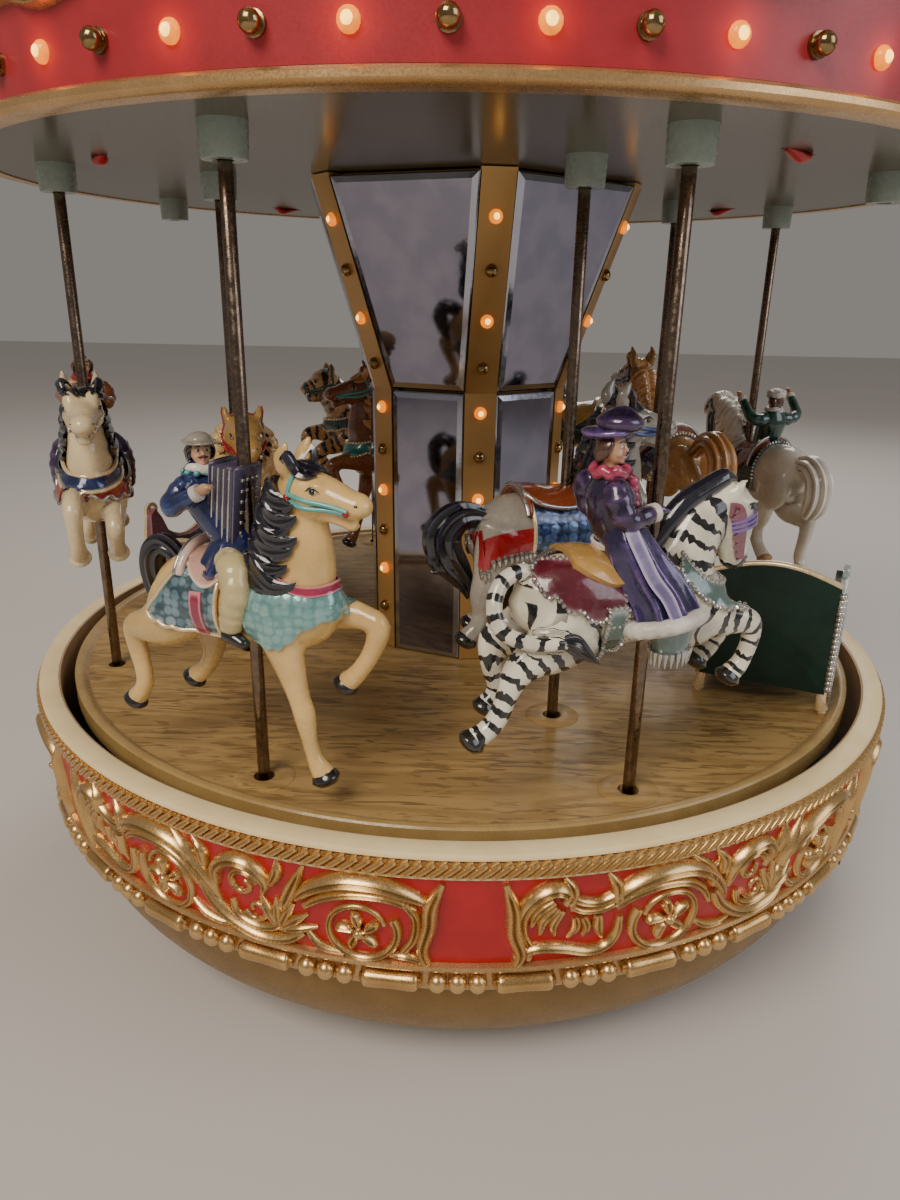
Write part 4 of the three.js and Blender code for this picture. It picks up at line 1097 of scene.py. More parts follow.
@dataclass
class Deck(Assembly):
    """The turning oak-printed deck with its lip and the discs round the poles."""

    radius: float = 130.0
    thickness: float = 4.0
    disc_radius: float = 7.6
    hole_radius: float = 2.6

    def build(self) -> None:
        """Builds the board with its holes, the lip and the discs."""
        under = DECK_TOP - self.thickness
        board = turned([(6.4, 66), (12, 66), (12, under), (126.4, under), (126.4, DECK_TOP), (6.4, DECK_TOP)])
        self.drill(self.add("deck_board", board, DECK_OAK, ["deck"]), under)
        lip = [(126.0, under), (130, under), (130, 79.0), (129.6, 79.5), (128.6, 79.7), (127.6, 79.4),
               (126.8, 78.6), (126.0, 78.06)]
        self.add("deck_lip", turned(lip), LIP_BROWN)
        disc = turned([(self.hole_radius, DECK_TOP - 0.2), (self.hole_radius, DECK_TOP + 0.25),
                       (self.hole_radius + 0.4, DECK_TOP + 0.32), (self.disc_radius - 0.3, DECK_TOP + 0.32),
                       (self.disc_radius, DECK_TOP + 0.1), (self.disc_radius, DECK_TOP - 0.2)], 48)
        self.add("pole_discs", at_poles(disc), DECK_OAK)

    def drill(self, board: bpy.types.Object, under: float) -> None:
        """Cuts the poles' holes in the board, whose underside is at a height."""
        wide = self.hole_radius
        hole = Loft([(0, 0, under - 1, wide, wide), (0, 0, DECK_TOP + 1, wide, wide)], 24, 1).shape()
        tool = self.shop.template(at_poles(hole))
        cut = board.modifiers.new("holes", "BOOLEAN")
        cut.operation = "DIFFERENCE"
        cut.object = tool
        cut.solver = "EXACT"
        mesh = evaluated(board)
        board.modifiers.clear()
        board.data = mesh
        bpy.data.objects.remove(tool)


@dataclass
class Column(Assembly):
    """The mirrored column: bevelled plates between posts that carry lamps and beads."""

    sides: int = 6
    low_fitting: float = 92.4
    fitting_step: float = 13.2
    fitting_count: int = 10
    turn: float = 9.9
    post_width: float = 9.5
    foot_face: float = 31.9
    waist_face: float = 32.6
    top_face: float = 52.7
    waist_z: float = 164.2
    gap: float = 0.3
    plate: float = 1.6
    bevel: float = 1.9

    def place(self, face: float) -> tuple[float, float]:
        """Half a mirror's width and its distance from the axis where the posts' face is this far out."""
        edge = math.hypot(face, self.post_width / 2)
        spread = math.pi / 6 - math.atan2(self.post_width / 2, face)
        return edge * math.sin(spread) - self.gap, edge * math.cos(spread)

    def tier(self, faces: tuple[float, float], heights: tuple[float, float]) -> tuple[Shape, Shape]:
        """One mirror at the front: its flat middle, and its bevelled border."""
        (low_half, low_out), (high_half, high_out) = (self.place(face) for face in faces)
        rings = []
        for inset, proud in ((0, -self.plate), (0, -0.35), (0.35, 0.0), (self.bevel, 0.45)):
            ring = []
            for end, side in ((0, -1), (0, 1), (1, 1), (1, -1)):
                z = heights[end] + (inset if end == 0 else -inset)
                share = (z - heights[0]) / (heights[1] - heights[0])
                wide = low_half + (high_half - low_half) * share - inset
                deep = low_out + (high_out - low_out) * share + proud
                ring.append((side * wide, -deep, z))
            rings.append(ring)
        middle = np.array(rings[3])
        return skin(np.array([middle, middle + (0, -0.03, 0)])), skin(np.array(rings))

    def build(self) -> None:
        """Builds the mirrors, and the lamps and beads of the posts."""
        low = self.tier((self.foot_face, self.waist_face), (DECK_TOP + self.gap, self.waist_z - 0.4))
        high = self.tier((self.waist_face, self.top_face), (self.waist_z + 0.4, CEILING_Z - 1.1))
        names = [f"mirror_{tier}_{i}" for tier in ("lower", "upper") for i in range(1, 7)]
        start = self.turn + 30
        self.around("mirror_borders", Shape.joined([low[1], high[1]]), self.sides, start, BEVEL, names, 10)
        self.around("mirror_faces", Shape.joined([low[0], high[0]]), self.sides, start, MIRROR, (), 10)
        lamps, cores, beads = [], [], []
        for z, lamp in self.fittings():
            if z < self.waist_z:
                share = (z - DECK_TOP) / (self.waist_z - DECK_TOP)
                out = self.foot_face + (self.waist_face - self.foot_face) * share
            else:
                share = (z - self.waist_z) / (CEILING_Z - self.waist_z)
                out = self.waist_face + (self.top_face - self.waist_face) * share
            if lamp:
                lamps.append(ball((0, -out - 0.3, z), (1.9, 1.5, 1.9), 12, 7))
                cores.append(ball((0, -out - 1.1, z), (1.0, 1.0, 1.0), 10, 6))
            else:
                beads.append(ball((0, -out - 0.5, z), (1.8, 1.6, 1.8), 12, 8))
        for name, shapes, finish in (("post_lamps", lamps, LAMP_GLASS), ("post_lamp_cores", cores, LAMP_CORE),
                                     ("post_beads", beads, BRASS)):
            self.around(name, Shape.joined(shapes), self.sides, self.turn, finish)

    def fittings(self) -> list[tuple[float, bool]]:
        """The heights of a post's lamps and beads; a lamp is marked true."""
        return [(self.low_fitting + self.fitting_step * i, i % 2 == 1) for i in range(self.fitting_count)]


@dataclass
class Canopy(Assembly):
    """The ceiling, the lit red fascia with cartouches, the crown and the roof."""

    fascia_wall: float = 2.6
    oval_start: float = 15.43
    oval_z: float = 256.5
    run_radius: float = 141.6
    crown_beads: int = 168
    tab_ring: float = 108.0
    tab_places: tuple[float, ...] = (-58.0, 43.7, 122.0, -136.3)
    roof_foot: float = 279.3
    roof_top: float = 334.0
    roof_radius: float = 144.0
    roof_curve: float = 1.35
    cap_radius: float = 10.0

    def build(self) -> None:
        """Builds every piece of the canopy."""
        self.ceiling()
        trim = [(136.2, 222.5), (140.2, 222.5), (141.3, 222.8), (142, 223.5), (142, 224.6), (141.4, 225.3),
                (140.2, 225.6), (136.2, 225.6)]
        self.add("trim", turned(trim), TRIM_GOLD, ["canopy_trim"])
        heights = np.linspace(FASCIA_FOOT, FASCIA_TOP, 9)
        outside = [(float(fascia_radius(z)), z) for z in heights]
        inside = [(r - self.fascia_wall, z) for r, z in outside[::-1]]
        self.add("fascia", turned(outside + inside), FASCIA_RED, ["canopy_fascia"])
        self.lights()
        self.cartouches()
        crown = [(140, 275.3), (147.6, 275.3), (149.2, 275.9), (150, 277), (149.2, 278.2), (147.6, 279),
                 (140, 279)]
        self.add("crown", turned(crown), GILT, ["crown_moulding"])
        bead = wrapped(ball((0, 277.2, 0), (1.7, 1.5, 0.9), 8, 6), 149.1)
        self.around("crown_beads", bead, self.crown_beads, 0, GILT)
        self.roof()

    def ceiling(self) -> None:
        """The glossy ceiling with its bushings, the fascia's tabs clipped through it, and thin black sheets
        of painted shade for their slots.
        """
        top = CEILING_Z + 2.5
        disc = turned([(0, CEILING_Z), (135.6, CEILING_Z), (135.9, CEILING_Z + 0.3), (135.9, top), (0, top)])
        self.add("ceiling", disc, CEILING, ["ceiling_disc"])
        low, high = CEILING_Z - 7, CEILING_Z + 0.1
        bushing = turned([(1.85, low), (4.6, low), (4.75, low + 0.4), (5, high), (1.85, high)], 20)
        places = POLE_PLACES + tuple((a, OUTER_RING) for a in CHARIOT_PLACES)
        self.add("bushings", at_poles(bushing, places), BUSHING)
        tab = Loft([(-5.2, 0, 0, 0.3, 0.8), (-2, 0, -0.4, 0.8, 1.6), (1.6, 0, -1.0, 1.2, 1.9),
                    (3.6, 0, -0.5, 1.0, 1.6), (4.8, 0, 0, 0.5, 0.8)], 12, 3).shape()
        # The slots are thin black sheets just under the ceiling: painted shade where the openings would look
        # dark.
        slot = box((0, 0, 0), (13, 1.0, 0.16))
        for name, shape, finish in (("fascia_tabs", tab, BAND_RED), ("ceiling_slots", slot, BLACK)):
            places = (at_place(a, self.tab_ring, CEILING_Z) for a in self.tab_places)
            self.add(name, Shape.joined(shape.mapped(place) for place in places), finish)

    def lights(self) -> None:
        """The ring of lamps and brass beads in turn."""
        pitch = 360 / LAMPS
        out = float(fascia_radius(LAMP_Z))
        lamp = ball((0, -out - 0.2, LAMP_Z), (2.0, 1.5, 2.0), 14, 8)
        core = ball((0, -out - 1.25, LAMP_Z), (1.1, 0.8, 1.1), 10, 7)
        stem = turned([(0, 0), (2.1, 0), (2.1, 0.8), (1.5, 1.0), (0, 1.0)], 14)
        neck = Shape(np.stack([stem.points[:, 0], -out - stem.points[:, 2] + 0.2,
                               stem.points[:, 1] + LAMP_Z], 1), stem.faces)
        bead = Shape.joined([ball((0, -out - 1.8, LAMP_Z), (1.9, 1.8, 1.9), 16, 10), neck])
        for name, shape, start, finish in (("canopy_lamps", lamp, pitch / 2, LAMP_GLASS),
                                           ("canopy_lamp_cores", core, pitch / 2, LAMP_CORE),
                                           ("canopy_beads", bead, 0.0, BRASS)):
            self.around(name, shape, LAMPS, start, finish)

    def cartouches(self) -> None:
        """Seven oval panels in scrolled frames that meet at crests."""
        turn = np.linspace(0, 2 * math.pi, 49)[:-1]
        rings = [[(44 * size * math.cos(a), self.oval_z + 13.5 * size * math.sin(a), proud) for a in turn]
                 for size, proud in ((1.0, -1.0), (1.0, 0.5), (0.96, 0.9), (0.7, 1.15), (0.35, 1.3))]
        panel = wrapped(skin(np.array(rings)), fascia_radius, self.run_radius)
        self.around("cartouche_panels", panel, BAYS, self.oval_start, PANEL_CREAM, ["cartouche_band"], 30)
        half: list[Rows] = [
            [(4, 240.2, 1.4), (12, 239.2, 2.8), (22, 241.2, 3.2), (31, 245.4, 3.0), (38, 246.6, 2.4),
             (43, 243.6, 1.4)],
            [(40, 249, 1.6), (47, 247, 3.0), (54, 250.5, 3.4), (58, 257.5, 3.2), (57, 265, 2.8),
             (52, 269, 1.8)],
            [(63.4, 250, 2.6), (61, 257, 2.8), (62.5, 264, 2.6), (60.5, 271, 1.4)],
            [(20, 272.5, 1.6), (30, 272.2, 2.6), (40, 269.6, 2.8), (48, 267, 2.0)],
            [(52, 247.5, 1.2), (56, 243.5, 2.6), (61, 241.4, 2.4), (63.4, 241.2, 2.2)],
            [(44, 263.5, 1.0), (50, 259.5, 2.2), (51, 253.6, 1.0)],
            spiral(40.4, 243.8, (3.2, 0.9), (150, -260), (1.8, 1.1), 12),
            spiral(53.6, 266.4, (3.6, 1.0), (60, 420), (1.9, 1.1), 12),
        ]
        ribs: list[Rows] = [[(46 * math.cos(a), self.oval_z + 15 * math.sin(a), 3.0)
                             for a in np.linspace(0, 2 * math.pi, 33)]]
        ribs += [[(side * x, z, w) for x, z, w in rib] for side in (-1, 1) for rib in half]
        for i in range(-3, 4):
            ribs.append([(i * 1.2, 240.8, 1.2), (i * 3.4, 244.4 - abs(i) * 0.5, 2.4),
                         (i * 5.0, 247.4 - abs(i) * 1.3, 0.9)])
        frame = wrapped(Shape.joined([ribbon(rib, None, 4, 3) for rib in ribs]),
                        lambda z: fascia_radius(z) + 0.2, self.run_radius)
        self.around("cartouche_frames", frame, BAYS, self.oval_start, GILT, (), CARVED)

    def roof(self) -> None:
        """The gored roof, its ribs, and the finial."""
        foot, top = self.roof_foot, self.roof_top
        line = [(self.roof_radius * (1 - share) + self.cap_radius * share,
                 foot + (top - foot) * share ** self.roof_curve) for share in np.linspace(0, 1, 15)]
        outline = line + [(0, top), (0, top - 3), (60, 301), (140, foot)]
        self.add("roof_gores", turned(outline, 196), ROOF_RED, ["roof"])
        rib = tube([(0, -r, z + 0.3) for r, z in line], 1.1, 8, 1)
        self.around("roof_ribs", rib, 2 * BAYS, 180 / BAYS, GILT)
        spike = turned([(0, 334.3), (9, 334.3), (9.4, 335), (9, 336), (5, 336.8), (3.4, 338.4), (3.6, 339.4),
                        (5.6, 341), (6.9, 343), (7.2, 345), (6.6, 347), (5, 348.6), (3, 349.6), (2.1, 350.4),
                        (1.5, 352), (0.8, 355.6), (0, 356)], 48)
        self.add("finial_gold", spike, GILT, ["finial"])


# Animals, with heights above the deck and x forward from the pole, in millimetres


class Enamel(Finish):
    """Glossy hand-painted enamel whose lustre drifts between two tints, with painted shade in the carving's
    recesses.
    """

    def paint(self, paper: Paper, where: bpy.types.NodeSocket) -> bpy.types.NodeSocket:
        """Lays the base colour, then patches of lustre that are painted sheen."""
        colour = super().paint(paper, where)
        # Patches of the lustre tint are painted sheen, standing in for the pearly shine of the enamel.
        if self.film and self.worn:
            share = paper.step(paper.noise(where, 0.17, 3.0, 0.7), 0.5, 0.72, (0.0, 0.3))
            colour = paper.mix(share, colour, self.worn)
        return colour


class Striped(Finish):
    """A coat with stripes across each limb, by the attribute phase, in dashes where dash is one."""

    def paint(self, paper: Paper, where: bpy.types.NodeSocket) -> bpy.types.NodeSocket:
        """Draws the stripes with uneven edges."""
        phase, dash = (paper.node("ShaderNodeAttribute", attribute_name=name).outputs["Fac"]
                       for name in ("phase", "dash"))
        sway = paper.math("MULTIPLY_ADD", paper.noise(where, 0.12, 2.0), 0.8, phase)
        wave = paper.math("SINE", paper.math("MULTIPLY", sway, 2 * math.pi))
        width = paper.step(paper.noise(where, 0.1, 1.0), 0.3, 0.7, (0.1, 0.7))
        dark = paper.step(paper.math("SUBTRACT", wave, width), -0.08, 0.08)
        height = paper.node("ShaderNodeSeparateXYZ", {0: where}).outputs[2]
        row = paper.math("MULTIPLY_ADD", paper.math("FLOOR", sway), math.pi,
                         paper.math("MULTIPLY", height, 0.72))
        breaks = paper.math("MULTIPLY", paper.step(paper.math("SINE", row), -0.35, -0.6), dash)
        dark = paper.math("MULTIPLY", dark, paper.math("SUBTRACT", 1.0, breaks))
        return paper.mix(dark, super().paint(paper, where), (0.012, 0.012, 0.014))


class Tiled(Finish):
    """A painted cloth with a raised pattern of small scales."""

    pitch: float = 2.3

    def paint(self, paper: Paper, where: bpy.types.NodeSocket) -> bpy.types.NodeSocket:
        """Darkens the joints between the scales and tints each a little."""
        cells = self.cells(paper, where)
        joints = paper.step(cells.outputs["Distance"], 0.42, 0.66, (0.0, 0.75))
        tint = paper.mix(cells.outputs["Color"], self.colour, self.worn or self.colour)
        return paper.mix(joints, tint, self.hollow or self.colour)

    def cells(self, paper: Paper, where: bpy.types.NodeSocket) -> bpy.types.Node:
        """The cells of the pattern."""
        return paper.node("ShaderNodeTexVoronoi", {"Vector": where, "Scale": 1 / self.pitch,
                                                   "Randomness": 0.45})

    def finish(self, paper: Paper, where: bpy.types.NodeSocket) -> None:
        """Raises the scales."""
        paper.bump(paper.math("SUBTRACT", 1.0, self.cells(paper, where).outputs["Distance"]), 0.4, 0.9)


def enamel(name: str, slot: str, colour: Colour, lustre: Optional[Colour] = None, kind: type = Enamel,
           **more: float | Colour) -> Finish:
    """A glossy painted finish whose drift and painted shade in recesses are darker shades of its colour.

    Args:
        name: The finish's name.
        slot: The painted slot that it belongs to.
        colour: Its main colour.
        lustre: The tint of its painted highlights on raised edges and patches of painted sheen;
            on a tiled cloth, a tint that its scales take in part.
        kind: The kind of finish.
        **more: Further settings of the finish.

    Returns:
        The finish.
    """
    # The darkest shade of the colour is painted shade in recesses; a tiled cloth uses it for its joints.
    settings = {"hollow": tuple(c * 0.2 for c in colour), "roughness": 0.22, "coat": 0.9,
                "depth": 0.015, **more}
    return kind(name, "painted_" + slot, colour, tuple(c * 0.7 for c in colour), worn=lustre, **settings)


# A second colour given here is the lustre: painted highlights on raised edges and, with a film, patches of
# painted sheen; on tiled cloths a scale tint.
COAT_CREAM = enamel("coat_cream", "cream", (0.84, 0.55, 0.2), lump=0.05, coat=0.7)
COAT_IVORY = enamel("coat_ivory", "cream", (0.84, 0.67, 0.4), lump=0.05, coat=0.7)
COAT_ZEBRA = enamel("coat_zebra", "white", (0.9, 0.84, 0.66), kind=Striped, roughness=0.18)
COAT_TIGER = enamel("coat_tiger", "tan", (0.6, 0.33, 0.13), kind=Striped)
COAT_WHITE = enamel("coat_white", "white", (0.84, 0.76, 0.62), lump=0.06)
COAT_GREY = enamel("coat_grey", "grey", (0.4, 0.36, 0.3), lump=0.06)
COAT_TAN = enamel("coat_tan", "tan", (0.55, 0.28, 0.09), lump=0.06)
COAT_BROWN = enamel("coat_brown", "tan", (0.26, 0.085, 0.03), lump=0.06)
COAT_GOLD = enamel("coat_gold", "tan", (0.62, 0.36, 0.11), lump=0.06)
HAIR_BLACK = enamel("hair_black", "grey", (0.006, 0.006, 0.009), (0.02, 0.02, 0.035),
                    roughness=0.16, coat=1.0, film=340.0)
HAIR_CREAM = enamel("hair_cream", "white", (0.84, 0.78, 0.64), (0.95, 0.9, 0.8))
HAIR_RUST = enamel("hair_rust", "tan", (0.55, 0.22, 0.06), (0.7, 0.36, 0.12))
HAIR_GOLD = enamel("hair_gold", "tan", (0.6, 0.34, 0.1), (0.85, 0.6, 0.3), metallic=0.3)
HAIR_BROWN = enamel("hair_brown", "tan", (0.1, 0.04, 0.018))
HOOF = enamel("hoof_dark", "grey", (0.018, 0.017, 0.016))
HOOF_TAN = enamel("hoof_tan", "tan", (0.42, 0.24, 0.1))
EYE = Finish("eye_dark", "painted_grey", (0.012, 0.009, 0.008), roughness=0.08, coat=1.0)
TEAL = enamel("enamel_teal", "green", (0.015, 0.19, 0.18), (0.1, 0.4, 0.38), film=420.0)
TEAL_SCALES = enamel("cloth_teal", "green", (0.08, 0.21, 0.27), (0.36, 0.5, 0.56), Tiled, metallic=0.5,
                     film=410.0)
TEAL_PEARL = enamel("drape_teal", "green", (0.2, 0.42, 0.41), (0.36, 0.56, 0.53), Tiled, metallic=0.3,
                    hollow=(0.13, 0.31, 0.31))
BELLOWS = enamel("bellows_black", "grey", (0.01, 0.008, 0.016), (0.12, 0.1, 0.17), film=380.0)
CHARIOT_GREEN = enamel("chariot_green", "green", (0.006, 0.03, 0.02), coat=0.15, roughness=0.4, specular=0.25)
BLUE_SCALES = enamel("cloth_blue", "grey", (0.025, 0.06, 0.2), (0.16, 0.26, 0.46), Tiled, metallic=0.4)
PINK = enamel("enamel_pink", "burgundy", (0.4, 0.03, 0.09), (0.7, 0.25, 0.3))
RED = enamel("enamel_red", "burgundy", (0.38, 0.012, 0.018))
BURGUNDY = enamel("enamel_burgundy", "burgundy", (0.12, 0.012, 0.022), (0.24, 0.09, 0.12), film=380.0)
BLUE = enamel("enamel_blue", "grey", (0.012, 0.022, 0.1), (0.05, 0.09, 0.26), film=400.0, metallic=0.2)
VIOLET = enamel("enamel_violet", "grey", (0.035, 0.025, 0.1), (0.24, 0.15, 0.42), film=430.0, metallic=0.25)
DARK_CLOTH = enamel("enamel_dark", "grey", (0.022, 0.012, 0.045), (0.13, 0.07, 0.2), film=360.0,
                    metallic=0.25)
SCARF_PINK = enamel("scarf_pink", "burgundy", (0.3, 0.008, 0.045), (0.45, 0.07, 0.14))
GREEN = enamel("enamel_green", "green", (0.008, 0.045, 0.03), (0.03, 0.12, 0.1), film=390.0)
GREY_GREEN = enamel("enamel_grey_green", "green", (0.12, 0.19, 0.17), (0.4, 0.46, 0.44), metallic=0.2)
TROUSERS = enamel("enamel_buff", "cream", (0.66, 0.53, 0.26), coat=0.6)
TAN_LEATHER = enamel("saddle_tan", "tan", (0.58, 0.33, 0.09))
RED_LEATHER = enamel("saddle_red", "burgundy", (0.28, 0.055, 0.018))
PEACH = enamel("saddle_peach", "cream", (0.62, 0.36, 0.27), (0.8, 0.6, 0.5))
PALE_GOLD = enamel("trim_pale", "cream", (0.66, 0.42, 0.2), (0.85, 0.66, 0.4), metallic=0.4)
SILVER = enamel("trim_silver", "grey", (0.6, 0.58, 0.54), metallic=0.8, roughness=0.18)
FUR = enamel("fur_white", "white", (0.8, 0.75, 0.66), roughness=0.5, coat=0.3, grain=1.2, depth=0.3)
SKIN = enamel("skin", "cream", (0.74, 0.42, 0.25), roughness=0.3, coat=0.5)
LILAC = enamel("enamel_lilac", "grey", (0.2, 0.17, 0.34), (0.5, 0.44, 0.62), film=420.0)


class NeckStyle(Enum):
    """How an animal carries its neck."""

    PROUD = "proud"
    ARCHED = "arched"
    CAT = "cat"


class ManeStyle(Enum):
    """How an animal's mane is carved."""

    LOCKS = "locks"
    CREST = "crest"
    RUFF = "ruff"


class Region(Enum):
    """Where on an animal a cover lies."""

    TRUNK = "trunk"
    CHEST = "chest"


class Edging(Enum):
    """What trims a cover's edge."""

    BEADS = "beads"
    CORD = "cord"
    FRINGE = "fringe"


@dataclass(frozen=True)
class Cover:
    """A cloth, strap or seat that lies on the coat.

    On the trunk a row holds x and the height of the edge on each side; with a third number, the height
    of its upper edge, there is a cover on each side instead of one over the back. On the chest a row
    holds the angle from the front and the heights of both edges, for one side.
    """

    part: str
    finish: Finish
    rows: Rows
    region: Region = Region.TRUNK
    lift: float = 0.15
    thick: float = 0.75
    scallop: float = 0.0
    waves: int = 4
    trim: Optional[Finish] = None
    edging: Edging = Edging.BEADS


@dataclass(frozen=True)
class Form:
    """An animal's trunk, neck, head and jaw as lofts, with the places of its ears, eyes and nostrils."""

    body: Rows
    neck: Rows
    head: Rows
    jaw: Rows
    ear: Rows
    eye: tuple[float, float, float]
    nostril: tuple[float, float, float]
    muscles: Rows
    mane: tuple[float, float]


FORMS: dict[NeckStyle, Form] = {
    NeckStyle.PROUD: Form(
        body=[(-25.2, 0, 43.4, 3.4, 4), (-23.4, 0, 44, 6.4, 6.6), (-19, 0, 45.8, 9.0, 8.8),
              (-13, 0, 47.2, 10, 9.4), (-5, 0, 46.6, 9.4, 9.2), (5, 0, 46.8, 9.8, 9),
              (12, 0, 47.4, 10.2, 8.6), (17.8, 0, 48.6, 8.4, 6.8), (20.8, 0, 49.4, 5.2, 4.6)],
        neck=[(9, 0, 48, 10.5, 7.4), (12.2, 0, 56, 10, 6.4), (13.2, 0, 63, 8.6, 5.4),
              (13.6, 0, 69.6, 6.6, 4.5), (14.6, 0, 74.6, 5.4, 4.2)],
        head=[(11.2, 0, 75, 3.2, 3.2), (14.8, 0, 74.4, 4.8, 4.7), (18.8, 0, 73.6, 4.7, 4.7),
              (23.2, 0, 73, 3.8, 3.9), (26.6, 0, 72.4, 2.9, 3.3), (29.2, 0, 72, 2.8, 3.2),
              (30.8, 0, 71.8, 2.0, 2.4)],
        jaw=[(16.2, 0, 70.8, 2.8, 3.5), (21.4, 0, 69.6, 1.8, 2.8), (25.2, 0, 68.4, 1.2, 2.3),
             (28, 0, 67.4, 1.1, 1.9)],
        ear=[(13, 3.2, 78.4, 1.9, 1.7), (12.8, 4.0, 81.2, 2.1, 1.4), (14.4, 4.2, 85, 0.5, 0.4)],
        eye=(20.4, 4.3, 75), nostril=(29.9, 2.4, 72.6),
        muscles=[(10.5, 4.8, 45.6, 6.4, 4.2, 7.4), (-17.6, 4.8, 43.6, 7.6, 4.6, 8.6),
                 (17, 2.6, 51, 3.6, 3.2, 5), (18, 2.8, 72, 3.2, 2.2, 3)],
        mane=(1.0, 3.75)),
    NeckStyle.ARCHED: Form(
        body=[(-31, 0, 50.5, 5, 4.4), (-28, 0, 51.2, 9, 7.4), (-21, 0, 51.5, 10.8, 9.2),
              (-12, 0, 50.6, 10.2, 9.3), (-3, 0, 49.8, 9.6, 9.1), (5, 0, 49.6, 9.8, 9),
              (11, 0, 48.8, 9.6, 8.2), (15, 0, 47.8, 7.4, 6.4), (17.2, 0, 47.2, 4.6, 4.4)],
        neck=[(6.8, 0, 48.5, 10, 7.4), (7.6, 0, 55, 8.8, 6.4), (9, 0, 60.6, 7.6, 5.4),
              (12, 0, 66.4, 6.2, 4.6), (16.2, 0, 69.6, 4.9, 4.2)],
        head=[(15.4, 0, 71.4, 3.8, 3.4), (18.4, 0, 70.8, 5.4, 4.6), (19.8, 0, 67.4, 5.7, 4.7),
              (20.8, 0, 63.2, 4.9, 3.8), (21.6, 0, 59.8, 3.6, 3.1), (22.2, 0, 57.6, 3.1, 3.0),
              (22.2, 0, 56, 2.2, 2.3)],
        jaw=[(17.6, 0, 66, 2.8, 3.2), (19, 0, 61.6, 1.8, 2.6), (19.8, 0, 58.6, 1.4, 2.2),
             (20, 0, 56.4, 1.0, 1.6)],
        ear=[(18.2, 2.8, 73.4, 1.4, 1.2), (19, 3.2, 75, 1.2, 1.0), (20.8, 3.3, 76.8, 0.4, 0.3)],
        eye=(22.4, 4.2, 70.4), nostril=(24.3, 2.0, 58.2),
        muscles=[(10, 4.8, 46.5, 6.4, 4.2, 7.6), (-23, 5.0, 48.5, 8.6, 4.6, 9.6),
                 (19.2, 2.6, 66.8, 3, 2.3, 3.4)],
        mane=(0.9, 4.0)),
    NeckStyle.CAT: Form(
        body=[(-30, 0, 47.5, 4.2, 4), (-27, 0, 48, 7.6, 6.6), (-20, 0, 48.6, 8.6, 8), (-8, 0, 48.2, 8.4, 8),
              (3, 0, 48.2, 8.6, 8), (12, 0, 49, 9.2, 8.2), (18, 0, 50.4, 7.4, 6.4), (20.4, 0, 51, 4.4, 4.2)],
        neck=[(11, 0, 50, 9, 7.6), (14, 0, 57, 8.8, 7.2), (18, 0, 63, 7.8, 6.6), (21, 0, 66.4, 6.4, 5.8)],
        head=[(17, 0, 68.4, 4, 3.6), (20, 0, 68.6, 6.4, 5.8), (24, 0, 68, 6.2, 5.8),
              (27.4, 0, 66.6, 4.2, 4.2), (30.4, 0, 65.8, 3.5, 3.6), (32.2, 0, 65.4, 2.4, 2.6)],
        jaw=[(23, 0, 63.4, 3, 3.6), (27, 0, 61.8, 2, 2.8), (30, 0, 61.4, 1.4, 2.2)],
        ear=[(20.4, 4.2, 73, 2, 1.2), (20.2, 4.8, 75.4, 1.8, 1.0), (20.4, 4.9, 77, 0.6, 0.5)],
        eye=(27.2, 3.1, 69.4), nostril=(32.4, 1.0, 66.6),
        muscles=[(12, 4.6, 47, 6.2, 4, 7.4), (-22, 4.6, 47, 7.6, 4.2, 8.4)],
        mane=(0.6, 2.8)),
}

# Legs: near and far foreleg, near and far hind leg, each by its y and rows of x, height, half depth and half
# width that end in the middle of the hoof. The near side faces out.
LEAPING = (
    (-5.0, [(10, 45, 7, 4.2), (11.5, 39.6, 5.2, 3.8), (13.6, 32.6, 3.4, 3.0), (15.4, 26.6, 2.6, 2.5),
            (16.4, 23.4, 2.75, 2.5), (17.4, 17.6, 2.05, 1.9), (18.6, 13.2, 2.0, 1.9), (19.8, 10.8, 2.5, 2.3),
            (21.2, 9.0, 3.0, 2.7)]),
    (5.0, [(14, 45, 6, 4), (20.4, 45.6, 4.2, 3.4), (27, 45.2, 3.0, 2.6), (30.4, 43.4, 2.9, 2.6),
           (28.4, 37, 2.3, 2.1), (24.8, 31.4, 2.3, 2.1), (21.8, 28.4, 2.7, 2.5)]),
    (-5.0, [(-18, 43.6, 8.6, 4.6), (-22.4, 39.4, 6.8, 4.4), (-28, 37.2, 4.6, 3.6), (-32.4, 36.2, 3.1, 2.8),
            (-32.2, 31, 2.6, 2.4), (-31.2, 25.6, 2.3, 2.1), (-31, 21.8, 2.3, 2.1), (-32.4, 18.8, 2.3, 2.2),
            (-34.4, 16.6, 2.7, 2.5)]),
    (5.0, [(-17, 43, 8, 4.6), (-17.6, 36, 5.6, 3.8), (-17, 30.6, 3.4, 2.8), (-18.6, 25.8, 2.4, 2.2),
           (-21, 22.8, 2.4, 2.2), (-23.6, 20.8, 2.7, 2.5)]),
)
